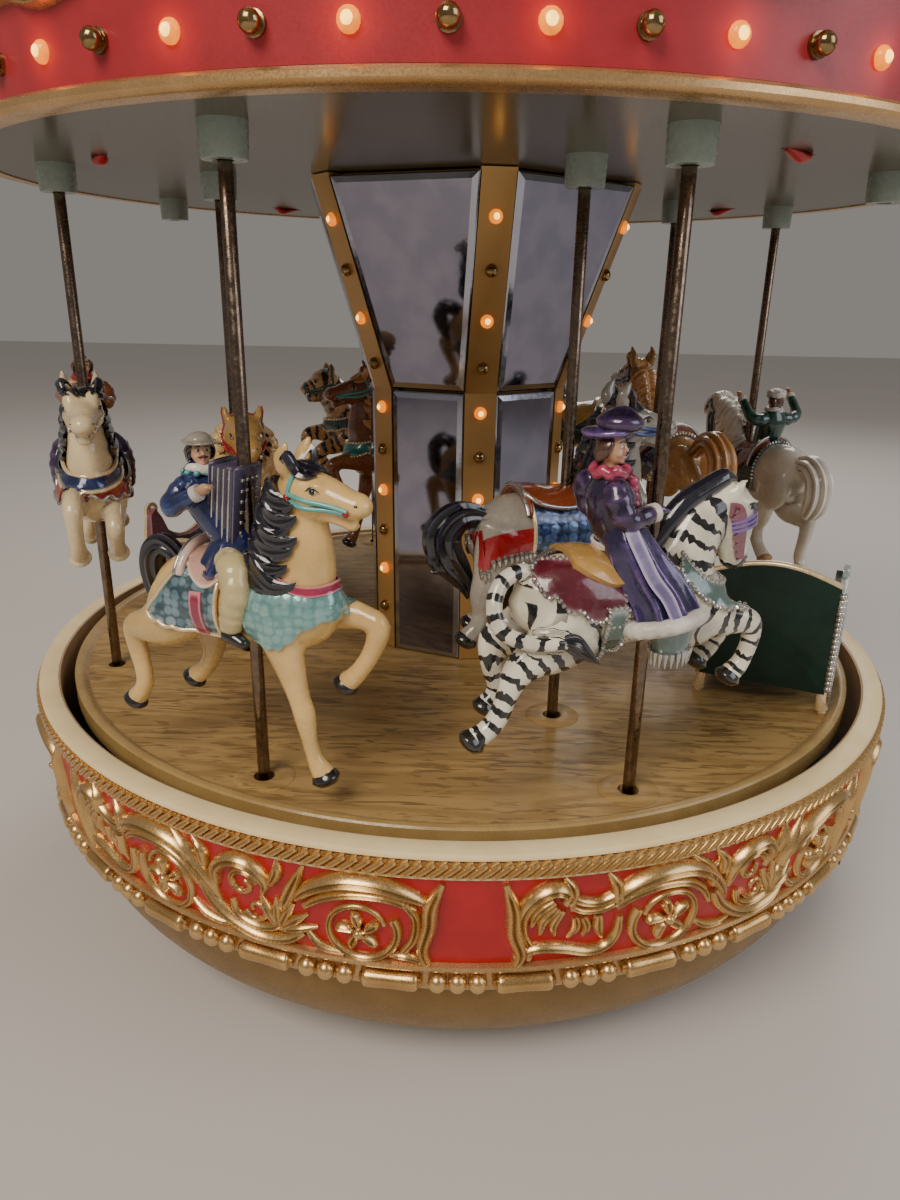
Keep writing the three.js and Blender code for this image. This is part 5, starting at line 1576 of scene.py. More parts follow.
PRANCING = (
    (-5.0, [(14, 46, 6.6, 4.4), (20, 45.4, 5, 3.6), (26, 45.8, 3.6, 2.9), (30, 44.8, 3.0, 2.7),
            (30.6, 40, 2.4, 2.2), (29.4, 35.6, 2.3, 2.1), (27.8, 33.2, 2.5, 2.3), (25.4, 31.2, 2.8, 2.6)]),
    (5.0, [(13, 45, 6, 4.4), (19, 41.4, 4.4, 3.2), (25.2, 39.8, 3.0, 2.6), (26.6, 37.6, 2.8, 2.5),
           (24.8, 33.8, 2.3, 2.1), (20.6, 30.6, 2.8, 2.5)]),
    (-5.0, [(-18.6, 46.6, 9.2, 4.8), (-22.6, 41, 7.2, 4.4), (-27, 37.4, 4.6, 3.6), (-30.2, 34.6, 3.5, 3.0),
            (-29, 29.8, 2.6, 2.3), (-28.8, 25.8, 2.4, 2.2), (-31.4, 23, 2.5, 2.3), (-34.2, 21.8, 2.5, 2.3),
            (-37, 21.2, 2.9, 2.7)]),
    (5.0, [(-21, 47, 8.4, 4.8), (-29.4, 44, 5.6, 4), (-32.4, 40.6, 4.0, 3.2), (-31.4, 34.6, 2.8, 2.5),
           (-30.8, 30, 2.4, 2.2), (-32, 27.8, 2.5, 2.3), (-34.6, 26.6, 2.8, 2.6)]),
)
STRIDING = (
    (-5.0, [(12, 46.6, 6.4, 4.2), (17, 45, 4.6, 3.4), (22.2, 44.2, 3.5, 2.8), (25.4, 42.8, 2.9, 2.6),
            (26, 38.8, 2.3, 2.1), (24.8, 34.8, 2.2, 2.1), (23.4, 32.2, 2.4, 2.2), (21.4, 30.6, 2.7, 2.5)]),
    (5.0, [(11, 45, 6, 4.4), (17, 41.6, 4.4, 3.2), (22.8, 40, 3.0, 2.6), (24.4, 37.8, 2.8, 2.5),
           (23, 34, 2.3, 2.1), (19.4, 31, 2.8, 2.5)]),
    (-5.0, [(-21, 48, 9.6, 4.8), (-25.6, 43.6, 7.0, 4.4), (-30.4, 41, 4.7, 3.6), (-34, 38, 3.6, 3.0),
            (-35.8, 33.8, 2.6, 2.4), (-37, 30.4, 2.4, 2.2), (-38.6, 27.4, 2.5, 2.3), (-41, 25.2, 2.5, 2.3),
            (-43.2, 24.2, 2.8, 2.6)]),
    (5.0, [(-23, 46, 8.4, 4.8), (-31, 43.6, 5.6, 4), (-35, 42, 4.0, 3.2), (-35.4, 36.4, 2.7, 2.4),
           (-34, 31, 2.3, 2.1), (-34.6, 28.4, 2.4, 2.2), (-36.4, 26.8, 2.6, 2.4)]),
)
TROTTING = (PRANCING[0], PRANCING[1],
            (-5.0, [(-18, 47.6, 9, 4.6), (-20.8, 42, 7.2, 4.2), (-23.6, 36, 4.4, 3.4),
                    (-25.4, 31.4, 3.0, 2.8), (-25.2, 26.6, 2.4, 2.2), (-26.4, 22.8, 2.4, 2.2),
                    (-28.8, 20.6, 2.8, 2.6)]), LEAPING[3])

# Locks down each side of a mane, and round each ring of a ruff
MANE_LOCKS = 8
RUFF_LOCKS = 14

# Tails: rows of x, y, height and radius
CURLED = [(-19.4, 0, 51, 1.8), (-22, 0, 55, 2.3), (-26, 0, 56.6, 2.6), (-29.2, 0, 53.6, 2.8),
          (-29.4, 0, 48.6, 2.8), (-27.6, 0, 43.6, 2.5), (-25, 0, 40.8, 0.4)]
SWEPT = [(-21, 0, 50, 2.2), (-26, 0, 51.8, 3.2), (-31, 0, 51.2, 4.2), (-34.4, 0, 47, 4.8),
         (-33, 0, 41.6, 4.6), (-29.8, 0, 37, 3.6), (-27.6, 0, 33, 2.2), (-27, 0, 29.4, 0.3)]
HOOKED = [(-33, 0, 50, 1.4), (-36.2, 0, 46, 1.8), (-36.8, 0, 41.6, 1.7), (-35.4, 0, 38.2, 1.1),
          (-37.2, 0, 37.6, 0.3)]
PLUMED = [(-25, 0, 52, 2.4), (-30, 0, 56, 3.2), (-35.6, 0, 56.4, 3.8), (-40, 0, 52.4, 4.2),
          (-40.6, 0, 46, 4.2), (-38, 0, 40.4, 3.0), (-35.6, 0, 38, 0.5)]
SWITCH = [(-27, 0, 57.6, 1.9), (-32, -0.6, 59.4, 1.9), (-36.6, -1.6, 57.8, 1.9), (-39, -3.4, 53.6, 1.9),
          (-38.4, -5.6, 49, 1.8), (-34.6, -8, 46.8, 1.8), (-29.6, -9.6, 46.2, 1.7), (-25.6, -10.2, 46, 1.7)]
PAW_TAIL = [(-28, 0, 50.6, 1.9), (-32.4, 0, 47.4, 1.8), (-35.8, 0, 50.6, 1.8), (-35.4, 0, 56.6, 1.8),
            (-32.6, 0, 61.4, 2.0)]


def dressed(cloth: Finish, trim: Finish, seat: Finish, collar: Finish, rise: float = 0.0) -> list[Cover]:
    """The saddle cloth, saddle and collar that most of the animals wear, raised on a deeper trunk."""
    return [
        Cover("cloth", cloth, [(-17, 45 + rise), (-12, 42.6 + rise), (-5, 41.6 + rise), (1, 42.2 + rise),
                               (5.6, 44.6 + rise)], scallop=1.6, trim=trim),
        Cover("saddle", seat, [(-14.6, 55 + rise), (-12, 51.6 + rise), (-6.4, 48 + rise), (-3, 47.6 + rise),
                               (1, 52 + rise), (3, 54.6 + rise)], lift=0.7, thick=1.3),
        Cover("girth", seat, [(-6.6, 35, 50), (-3.4, 35, 50)], lift=0.5, thick=0.8),
        Cover("collar", collar, [(0, 48, 52.6), (30, 48.6, 53), (60, 50.6, 54.6), (90, 53, 57),
                                 (122, 56, 60)],
              Region.CHEST, scallop=0.7, waves=6, trim=trim),
    ]


KEPT_FACES = 0.34


def fused(name: str, shapes: Iterable[Shape], grain: float, rounds: int) -> bpy.types.Object:
    """Melts overlapping closed shapes into one smooth skin.

    Args:
        name: The name of the mesh object.
        shapes: The shapes, in millimetres.
        grain: The size of the skin's faces, in millimetres.
        rounds: How many times the skin is smoothed.

    Returns:
        A plain mesh object.
    """
    rough = linked(name, Shape.joined(shapes).mesh(name))
    melt = rough.modifiers.new("melt", "REMESH")
    melt.mode = "VOXEL"
    melt.voxel_size = grain * MM
    soft = rough.modifiers.new("soft", "SMOOTH")
    soft.factor = 0.5
    soft.iterations = rounds
    thin = rough.modifiers.new("thin", "DECIMATE")
    thin.ratio = KEPT_FACES
    return settled(rough, name)


@dataclass
class Ride:
    """One animal on its pole: its coat, hair and harness."""

    shop: Workshop
    name: str
    degrees: float
    ring: float
    rise: float
    style: NeckStyle
    legs: tuple
    coat: Finish
    hair: Finish
    bridle: Finish
    covers: list[Cover]
    tails: Sequence[Rows]
    mane_style: ManeStyle = ManeStyle.LOCKS
    hoof: Finish = HOOF
    head_tilt: float = 0.0
    rod_rise: float = 0.0
    head_drop: float = 0.0
    cantle: tuple[float, float] = (-13.4, 1.5)
    pole_radius: float = 1.5
    axis: float = 47.0
    chest_x: float = 7.0

    def __post_init__(self) -> None:
        """Looks up the form, tilts its head, and makes its lofts."""
        self.form = self.tilted(FORMS[self.style])
        self.body = Loft(self.form.body, 24)
        self.neck = Loft(self.form.neck, 20)
        self.head = Loft(self.form.head, 20)
        self.limbs = [Loft([(x, y, z, t, w) for x, z, t, w in rows], 14, 4) for y, rows in self.legs]
        self.place = at_place(self.degrees, self.ring, DECK_TOP + self.rise)
        self.carrier = "ride_" + self.name

    def tilted(self, form: Form) -> Form:
        """The form with its head raised or lowered about the top of the neck."""
        px, _, pz, _, _ = form.neck[-1]
        c, s = math.cos(math.radians(self.head_tilt)), math.sin(math.radians(self.head_tilt))

        def swing(row: Sequence[float]) -> tuple[float, ...]:
            """Turns one row's place about the pivot and lowers it."""
            x, z = row[0] - px, row[2] - pz
            return (px + x * c - z * s, row[1], pz + x * s + z * c - self.head_drop, *row[3:])

        low = form.neck[0][2]
        neck = [(x, y, z - self.head_drop * (z - low) / (pz - low), t, w) for x, y, z, t, w in form.neck]
        return replace(form, neck=neck, head=[swing(r) for r in form.head], jaw=[swing(r) for r in form.jaw],
                       ear=[swing(r) for r in form.ear], eye=swing(form.eye), nostril=swing(form.nostril))

    def add(self, part: str, shapes: Sequence[Shape], finish: Finish, replaced: Sequence[str] = (),
            crease: float = 50.0) -> bpy.types.Object:
        """Adds a piece of this ride from shapes in its own axes."""
        shape = Shape.joined(shapes).mapped(self.place)
        return self.shop.add(f"{self.name}_{part}", shape, finish, self.carrier, replaced, crease)

    def melt(self, part: str, shapes: Sequence[Shape], finish: Finish, grain: float = 0.6, rounds: int = 3,
             replaced: Sequence[str] = ()) -> bpy.types.Object:
        """Adds a piece of this ride as one smooth skin."""
        name = f"{self.name}_{part}"
        made = fused(name, [s.mapped(self.place) for s in shapes], grain, rounds)
        return self.shop.add(name, made, finish, self.carrier, replaced, 180)

    def build(self) -> None:
        """Builds the animal and its harness."""
        rod = Loft([(0, 0, z + self.rod_rise, self.pole_radius, self.pole_radius)
                    for z in (-24.5, 60, 154.5)], 24, 1)
        self.add("rod", [rod.shape()], ROD, [f"pole_{self.name}"])
        self.flesh()
        self.hooves()
        self.face()
        self.mane()
        self.tail()
        self.harness()
        for cover in self.covers:
            self.cover(cover)
        self.saddle_ends()

    def flesh(self) -> None:
        """The animal's coat, melted from its lofts, and the surface that its harness lies on."""
        form = self.form
        parts = [self.body, self.neck, self.head, Loft(form.jaw, 14), *self.limbs]
        parts += [Loft([(x, side * y, z, t, w) for x, y, z, t, w in form.ear], 10) for side in (-1, 1)]
        own_tail = isinstance(self.coat, Striped) or self.style is NeckStyle.CAT
        lines = [Loft([(*row, row[3]) for row in self.tails[0]], 12)] if own_tail else []
        shapes = [part.shape() for part in parts + lines]
        for x, y, z, rx, ry, rz in form.muscles:
            shapes += [ball((x, side * y, z), (rx, ry, rz)) for side in (-1, 1)]
        ex, ey, ez = form.eye
        shapes += [ball((ex + 0.1, side * (ey - 0.8), ez + 1.0), (2.0, 1.0, 0.7), 10, 7) for side in (-1, 1)]
        piece = self.melt("coat", shapes, self.coat, 0.68, 3, [self.name])
        world = np.zeros(len(piece.data.vertices) * 3)
        piece.data.vertices.foreach_get("co", world)
        origin = self.place(np.zeros((1, 3)))[0]
        local = (world.reshape(-1, 3) / MM - origin) @ (self.place(np.eye(3)) - origin).T
        self.surface = BVHTree.FromPolygons(local.tolist(), [tuple(f.vertices) for f in piece.data.polygons])
        for loft in (self.body, self.neck, self.head):
            loft.coat = self.surface
        if isinstance(self.coat, Striped):
            self.mark(piece.data, local, [self.body, self.neck, self.head, *lines, *self.limbs])

    def mark(self, mesh: bpy.types.Mesh, local: np.ndarray, lofts: Sequence[Loft]) -> None:
        """Writes each point's place in the run of stripes, and whether they break there."""
        best = np.full(len(local), 1e9)
        phase, dash = np.zeros(len(local)), np.zeros(len(local))
        known: list[tuple[np.ndarray, float]] = []
        for i, loft in enumerate(lofts):
            steps = np.linalg.norm(np.diff(loft.rows[:, :3], axis=0), axis=1)
            way = 1 if loft.rows[-1, 0] > loft.rows[0, 0] else -1
            start = min(known, key=lambda k: np.linalg.norm(k[0] - loft.rows[0, :3]))[1] if known else 0.0
            run = start + way * np.concatenate([[0], np.cumsum(steps)]) / (4.0 if i < 3 else 3.8)
            if loft is self.head and self.mane_style is ManeStyle.CREST:
                run = round(start) + np.where(np.arange(len(run)) < 0.68 * len(run), 0.35, -0.15)
            for row, place in zip(loft.rows, run):
                far = np.linalg.norm(local - row[:3], axis=1) - 0.85 * (row[3] + row[4]) / 2
                near = far < best
                best[near] = far[near]
                phase[near] = place
                dash[near] = 1.0 if i == 0 else 0.0
                known.append((row[:3], place))
        for name, values in (("phase", phase), ("dash", dash)):
            attribute = mesh.attributes.new(name, "FLOAT", "POINT")
            attribute.data.foreach_set("value", self.spread(mesh, values).astype(np.float32))

    @staticmethod
    def spread(mesh: bpy.types.Mesh, values: np.ndarray, rounds: int = 4) -> np.ndarray:
        """Averages values with their neighbours along the mesh's edges."""
        pairs = np.zeros(len(mesh.edges) * 2, int)
        mesh.edges.foreach_get("vertices", pairs)
        a, b = pairs.reshape(-1, 2).T
        count = np.bincount(a, minlength=len(values)) + np.bincount(b, minlength=len(values))
        for _ in range(rounds):
            total = np.bincount(a, values[b], len(values)) + np.bincount(b, values[a], len(values))
            values = 0.4 * values + 0.6 * total / np.maximum(count, 1)
        return values

    def hooves(self) -> None:
        """Hooves at the legs' ends; a cat's paws are part of its coat."""
        if self.style is NeckStyle.CAT:
            return
        shapes = []
        for limb in self.limbs:
            end = limb.rows[-1]
            step = end[:3] - limb.rows[-5][:3]
            step = step / np.linalg.norm(step) + (0, 0, -0.55)
            step /= np.linalg.norm(step)
            rows = [(*(end[:3] + step * push), end[3] * grow, end[4] * grow)
                    for push, grow in ((-0.7, 0.86), (0, 1.05), (0.9, 1.2), (1.2, 1.18))]
            shapes.append(Loft(rows, 16, 2).shape())
        self.add("hooves", shapes, self.hoof)

    def face(self) -> None:
        """Eyes, and nostrils as dark spots of painted shade."""
        x, y, z = self.form.eye
        nx, ny, nz = self.form.nostril
        dark, white = [], []
        for side in (-1, 1):
            spot = self.surface.find_nearest(Vector((x, side * (y + 1), z)))[0]
            white.append(ball(spot, (1.15, 0.45, 0.62), 14, 9))
            dark.append(ball(spot + Vector((0.1, side * 0.22, 0)), (0.78, 0.38, 0.6), 12, 8))
            dark.append(tube([spot + Vector(p) for p in ((-1.7, side * 0.1, -0.1), (0, side * 0.5, 0.95),
                                                         (1.7, side * 0.1, 0.1))], [0.1, 0.24, 0.1], 6, 3))
            # Each nostril is a dark spot: painted shade where the nostril's opening would be.
            spot = self.surface.find_nearest(Vector((nx, side * (ny + 1), nz)))[0]
            dark.append(ball(spot - Vector((0.1, side * 0.15, 0)), (0.6, 0.3, 0.3), 10, 6))
        self.add("eyes", dark, EYE)
        self.add("eye_whites", white, FUR)

    def lock(self, loft: Loft, spots: Rows, radii: Sequence[float], lobes: int = 7,
             flat: float = 0.6) -> Shape:
        """A ridged lock of hair on a limb, through places by station, angle and lift."""
        path = [loft.at(*spot) for spot in spots]
        outward = [loft.at(s, a, lift + 1) - p for (s, a, lift), p in zip(spots, path)]
        return tube(path, radii, 3 * lobes, 3, flat, lobes, outward)

    def mane(self) -> None:
        """The mane in carved locks, a standing crest or a cat's ruff, and the forelock."""
        low, high = self.form.mane
        neck, locks = self.neck, []
        if self.mane_style is ManeStyle.CREST:
            path = [neck.at(s, 0, 1.0) for s in np.linspace(low + 0.4, high - 0.4, 6)]
            path += [self.head.at(s, 0, lift) for s, lift in ((0.1, 1.0), (0.45, 0.9), (0.8, 0.3))]
            locks.append(tube(path, [0.5, 1.7, 2.2, 2.5, 2.5, 2.4, 2.3, 1.9, 0.8], 14, 5))
        elif self.mane_style is ManeStyle.RUFF:
            if isinstance(self.coat, Striped):
                return
            for ring, spot in enumerate((2.9, 2.2, 1.5, 0.8)):
                for k in range(RUFF_LOCKS):
                    a = k * 360 / RUFF_LOCKS + ring * 13
                    locks.append(self.lock(neck, [(spot, a, 0.2), (spot - 0.1, a + 4, 2.2),
                                                  (spot - 0.5, a + 9, 2.6), (spot - 0.9, a + 6, 1.8),
                                                  (spot - 1.1, a, 1.4)],
                                           [1.0, 2.2, 2.2, 1.4, 0.15], 5))
        else:
            for side in (-1, 1):
                for i in range(MANE_LOCKS):
                    spot = low + (high - low) * i / (MANE_LOCKS - 1)
                    wave, drop = 8 * math.sin(i * 2.4 + side), 0.9 + 0.25 * math.sin(i * 1.7 + side)
                    rows = ((-0.15, 0, 0.2), (0.0, 24, 1.0), (0.25, 46 + wave, 1.3), (0.55, 64 + wave, 1.1),
                            (0.66, 82 + wave, 0.9), (0.5, 98 + wave, 0.9), (0.3, 106 + wave, 1.2))
                    locks.append(self.lock(neck, [(spot - d * drop, side * a, lift) for d, a, lift in rows],
                                           [1.4, 2.3, 2.6, 2.5, 2.0, 1.2, 0.15]))
        if self.mane_style is ManeStyle.LOCKS:
            for i in range(-2, 3):
                locks.append(self.lock(self.head, [(0.1, 15 * i, 0.3), (0.6, 17 * i, 0.9), (1.1, 20 * i, 0.9),
                                                   (1.7, 22 * i + 4, 0.6), (2.2, 17 * i + 9, 0.6)],
                                       [1.1, 1.3, 1.2, 0.9, 0.12], 5))
        self.add("mane", locks, self.hair, (), CARVED)

    def tail(self) -> None:
        """The tail in ridged locks, or a tuft where the coat has the tail."""
        if isinstance(self.coat, Striped) or self.style is NeckStyle.CAT:
            rows = np.array(self.tails[0], float)
            end = rows[-1, :3]
            step = (end - rows[-2, :3]) / np.linalg.norm(end - rows[-2, :3])
            tip = end + step * 4 + (0, 0, -1.8)
            locks = [tube([end - step * 1.5, end + step * 1.6, tip, tip + step * 3.6 + (0.4, 0, -3.0)],
                          [1.2, 2.1, 1.8, 0.15], 28, 5, 0.85, 7)]
            self.add("tuft", locks, self.hair, (), CARVED)
            return
        locks = []
        for rows in self.tails:
            path, radii = [row[:3] for row in rows], [row[3] for row in rows]
            locks.append(tube(path, radii, 40, 6, 0.92, 9))
        self.add("tail", locks, self.hair, (), CARVED)

    def harness(self) -> None:
        """The bridle's straps, or the toothed blaze of an animal with a standing crest."""
        head = self.head
        if self.mane_style is ManeStyle.CREST:
            nets: list[np.ndarray] = []
            for lift in (0.1, 0.7):
                nets.append(np.array([[head.at(s, a, lift) for a in
                                       (-104 - 14 * abs(math.sin(5 * s)), -94, -84)]
                                      for s in np.linspace(0.3, 4.6, 60)]))
            self.add("cheek_band", [shell(*nets), shell(*(net[::-1] * (1, -1, 1) for net in nets))], BURGUNDY)
            self.add("bridle", [head.strap(s, 0.8, 0.0, 0.8, 0.1, (-118, 118)) for s in (1.9, 2.15, 2.4)],
                     VIOLET)
            return
        straps = [head.strap(0.9, 1.0, 0.0, 0.55, 0.1, (-118, 118))]
        for side in (-1, 1):
            for shift in (0, 17):
                cheek = [head.at(s, side * (a + shift), 0.2)
                         for s, a in ((0.9, 96), (2.0, 97), (3.2, 100), (4.5, 108))]
                straps.append(tube(cheek, 0.55, 8, 4))
        self.add("bridle", straps, self.bridle)
        studs = [ball(head.at(s, side * a, 0.5), (0.8, 0.6, 0.8), 10, 7)
                 for side in (-1, 1) for s, a in ((0.9, 104), (4.4, 116))]
        self.add("bridle_studs", studs, RED if self.bridle is TEAL else SILVER)

    def touch(self, region: Region, u: float, v: float, lift: float) -> np.ndarray:
        """A point just off the coat, by x and angle on the trunk or by angle and height on the chest."""
        if region is Region.TRUNK:
            aim = np.array((u, 0.0, self.axis))
            ray = np.array((0.0, math.sin(math.radians(v)), math.cos(math.radians(v))))
            reach = 40.0
        else:
            aim = np.array((self.chest_x, 0.0, v))
            ray = np.array((math.cos(math.radians(u)), math.sin(math.radians(u)), 0.0))
            reach = 17.5
        hit = self.surface.ray_cast(Vector(aim + ray * reach), Vector(-ray))[0]
        return np.array(hit if hit else aim) + ray * lift

    def angle_at(self, x: float, height: float) -> float:
        """The angle round the trunk at which the coat has a height."""
        angles = np.arange(0, 140, 5)
        heights = np.array([self.touch(Region.TRUNK, x, a, 0)[2] for a in angles])
        return float(np.interp(-height, -heights, angles))

    def nets(self, cover: Cover) -> list[np.ndarray]:
        """The nets of places that a cover lies on; the first column of each is a lower edge."""
        rows = smooth_rows(cover.rows, 8)
        share = np.linspace(0, 1, len(rows))
        rows[:, 1] -= cover.scallop * np.abs(np.sin(math.pi * cover.waves * share))
        if cover.region is Region.CHEST:
            rows = np.vstack([rows[:0:-1] * (-1, 1, 1), rows])
            return [np.array([[(a, z) for z in np.linspace(low, high, 9)] for a, low, high in rows])]
        if rows.shape[1] == 2:
            nets = []
            for x, low in rows:
                a = self.angle_at(x, low)
                nets.append([(x, v) for v in np.linspace(-a, a, 29)])
            return [np.array(nets)]
        spans = [(x, self.angle_at(x, low), self.angle_at(x, high)) for x, low, high in rows]
        return [np.array([[(x, side * v) for v in np.linspace(a, b, 13)] for x, a, b in spans])
                for side in (-1, 1)]

    def cover(self, cover: Cover) -> None:
        """Lays a cover on the coat, with its edging."""
        shells, loops, lows = [], [], []
        for net in self.nets(cover):
            low, high = (np.array([[self.touch(cover.region, u, v, lift) for u, v in row] for row in net])
                         for lift in (cover.lift, cover.lift + cover.thick))
            shells.append(shell(low, high))
            loops.append(np.concatenate([high[0], high[1:, -1], high[-1, -2::-1], high[-2::-1, 0]]))
            lows.append(high[:, 0])
            if cover.region is Region.TRUNK and len(cover.rows[0]) == 2:
                lows.append(high[:, -1])
        self.add(cover.part, shells, cover.finish)
        if cover.trim is None:
            return
        name = f"{cover.part}_{cover.edging.value}"
        if cover.edging is Edging.BEADS:
            paths = [self.place(loop) for loop in loops]
            self.shop.along(f"{self.name}_{name}", paths, ball((0, 0, 0), (0.62, 0.62, 0.62), 6, 4), 1.3,
                            cover.trim, self.carrier)
        elif cover.edging is Edging.CORD:
            self.add(name, [tube(loop, 0.55, 8, 1) for loop in loops], cover.trim)
        else:
            threads = []
            for low in lows:
                for spot in low[::2]:
                    threads.append(tube([spot + (0, 0, 0.6), spot, spot + (0.3, 0, -1.3),
                                         spot + (0.1, 0, -2.4)],
                                        [0.5, 0.62, 0.55, 0.12], 6, 2))
            self.add(name, threads, cover.trim)

    def saddle_ends(self) -> None:
        """The saddle's raised cantle and pommel."""
        seat = next((cover for cover in self.covers if cover.part == "saddle"), None)
        if seat is None:
            return
        x, height = self.cantle
        if height < 0.5:
            return
        tubes = []
        for place, tall, size in ((x, height, 1.3), (seat.rows[-1][0] - 0.8, height * 0.7, 1.1)):
            arc = np.linspace(-56, 56, 11)
            path = [self.touch(Region.TRUNK, place, a, 0.8 + tall * (1 - (a / 60) ** 2)) for a in arc]
            tubes.append(tube(path, [size * (0.45 + 0.55 * math.cos(math.radians(a))) for a in arc], 12, 3))
        self.melt("saddle_ends", tubes, seat.finish, 0.5, 2)
        rim = [self.touch(Region.TRUNK, x - 0.9, a, 1.6 + height * (1 - (a / 60) ** 2))
               for a in np.linspace(-56, 56, 15)]
        self.add("cantle_rim", [tube(rim, 0.5, 8, 2)], SILVER)


class HatStyle(Enum):
    """What a rider wears on the head."""

    CAP = "cap"
    FUR = "fur"
    BONNET = "bonnet"
    BARE = "bare"


def creased(path: Rows, radii: Sequence[float], crease: float = 0.07, sides: int = 14) -> Shape:
    """A sleeve or trouser leg with soft folds round it."""
    rows = smooth_rows([[*p, r] for p, r in zip(path, radii)], 7)
    swell = 1 + crease * np.sin(np.arange(len(rows)) * 1.75)
    return tube(rows[:, :3], rows[:, 3] * swell, sides, 1)


def folded(loft: Loft, start: float, end: float, folds: int, depth: float, rows: int = 22) -> Shape:
    """A skirt along a loft, its folds deeper towards the end."""
    turn = np.linspace(0, 360, 8 * folds, endpoint=False)
    rings = []
    for share in np.linspace(0, 1, rows):
        lifts = depth * share * np.cos(np.radians(turn * folds) + 0.7 * np.sin(np.radians(turn))
                                       + 0.5 * share)
        rings.append([loft.at(start + (end - start) * share, a, lift) for a, lift in zip(turn, lifts)])
    return skin(np.array(rings))


@dataclass
class Rider:
    """A seated doll on an animal, made from its hip in the animal's directions."""

    ride: Ride
    coat: Finish
    sleeves: Finish
    legs: Finish
    collar: Finish
    trim: Finish
    hair: Finish
    hat: HatStyle
    hat_finish: Finish
    hip: tuple[float, float] = (-6.0, 57.0)
    facing: float = -25.0
    near_hand: tuple[float, float, float] = (-2.0, -3.4, 71.0)
    far_hand: tuple[float, float, float] = (-2.0, 3.0, 69.0)
    bend: tuple[float, float, float] = (-4.4, 2.8, -4.8)
    lean: float = 4.0
    size: float = 1.0
    head_size: float = 0.86

    def build(self) -> None:
        """Builds the doll."""
        self.trunk()
        self.arms()
        self.thighs()
        self.head()

    def on(self, x: float, y: float, z: float) -> np.ndarray:
        """A place of the doll's in the animal's axes."""
        return np.array((self.hip[0], 0, self.hip[1])) + self.size * np.array((x, y, z))

    def loft(self, rows: Rows, sides: int = 20, per_span: int = 5) -> Loft:
        """A limb of the doll's through its own places."""
        return Loft([(*self.on(*row[:3]), row[3] * self.size, row[4] * self.size) for row in rows],
                    sides, per_span)

    def neck_top(self) -> np.ndarray:
        """The middle of the head."""
        return self.on(-self.lean, 0, 24.6)

    def trunk(self) -> None:
        """The coat's body and its skirts over the saddle."""
        lean = self.lean
        body = self.loft([(0.2, 0, -2, 5.8, 6.4), (-0.8, 0, 3, 5.6, 5.8), (-0.55 * lean, 0, 9, 5.9, 6.2),
                          (-lean, 0, 15, 5.6, 6.7), (-1.1 * lean, 0, 19, 3.9, 4.8),
                          (-lean, 0, 21.4, 2.0, 2.4)])
        skirt = self.loft([(-0.8, 0, 4.4, 4.7, 5.5), (-1.6, 0, 0, 6.2, 7.6), (-2.8, 0, -4.6, 6.8, 9.6)])
        self.ride.melt("rider_coat", [body.shape(), folded(skirt, 0, 2, 8, 0.7, 9)], self.coat, 0.5, 1)
        seams = [tube([body.at(s, a, 0.1) for s in np.linspace(0.8, 3.8, 8)], 0.22, 5, 2)
                 for a in (176, -176)]
        hem = tube([skirt.at(1.95, a, 0.75 * math.cos(math.radians(8 * a)))
                    for a in np.linspace(-180, 180, 80)], 0.45, 6, 1)
        buttons = [ball(body.at(s, 166, 0.2), (0.5, 0.5, 0.5), 8, 6) for s in (1.2, 1.9, 2.6, 3.3)]
        self.ride.add("rider_trim", [*seams, hem, *buttons], self.trim)
        x, _, z = self.on(-lean, 0, 20.4)
        wide = 3.3 * self.size
        ring = [(x + wide * math.cos(a), wide * math.sin(a), z + 0.4 * math.sin(3 * a))
                for a in np.linspace(0, 2 * math.pi, 25)]
        self.ride.melt("rider_collar", [tube(ring, 1.25 * self.size, 8, 2, 0.8),
                                        ball((x, 0, z), (wide, wide, 1.6 * self.size))], self.collar, 0.42, 1)

    def arms(self) -> None:
        """Sleeves bent to the two hands, with cuffs."""
        sleeves, hands, cuffs = [], [], []
        size = self.size
        for side, hand in ((-1, self.near_hand), (1, self.far_hand)):
            shoulder = self.on(-self.lean - 0.4, side * 5.6, 17.4)
            reach = np.array(hand, float)
            bend = np.array((self.bend[0], side * self.bend[1], self.bend[2]))
            elbow = (shoulder + reach) / 2 + size * bend
            wrist = elbow + (reach - elbow) * 0.74
            ahead = (reach - elbow) / np.linalg.norm(reach - elbow)
            path = [shoulder + size * np.array((0.6, -side * 1.4, 0.6)),
                    shoulder + size * np.array((-0.7, side * 1.0, -1.6)), elbow, wrist]
            sleeves.append(creased(path, [2.3 * size, 2.9 * size, 2.6 * size, 1.9 * size]))
            cuffs.append(tube([wrist - ahead * 0.7, wrist + ahead * 0.9], 2.1 * size, 14, 1))
            hands.append(tube([wrist, (wrist + reach) / 2, reach, reach + ahead * 0.9],
                              [1.1 * size, 1.35 * size, 1.5 * size, 0.8], 10, 3, 0.7))
            across = np.cross(ahead, (0, 0, 1.0))
            for k in (-0.9, -0.3, 0.3, 0.9):
                root = reach + across * k * size * 1.1
                tip = root + ahead * 1.9 * size + (0, -side * 0.4, -0.8)
                hands.append(tube([root, root + ahead * 1.2 * size, tip],
                                  [0.5 * size, 0.46 * size, 0.3 * size], 6, 2))
        self.ride.melt("rider_sleeves", sleeves, self.sleeves, 0.45, 1)
        self.ride.add("rider_cuffs", cuffs, FUR)
        self.ride.melt("rider_hands", hands, self.glove(), 0.32, 1)

    def glove(self) -> Finish:
        """What the hands are painted with."""
        return SKIN

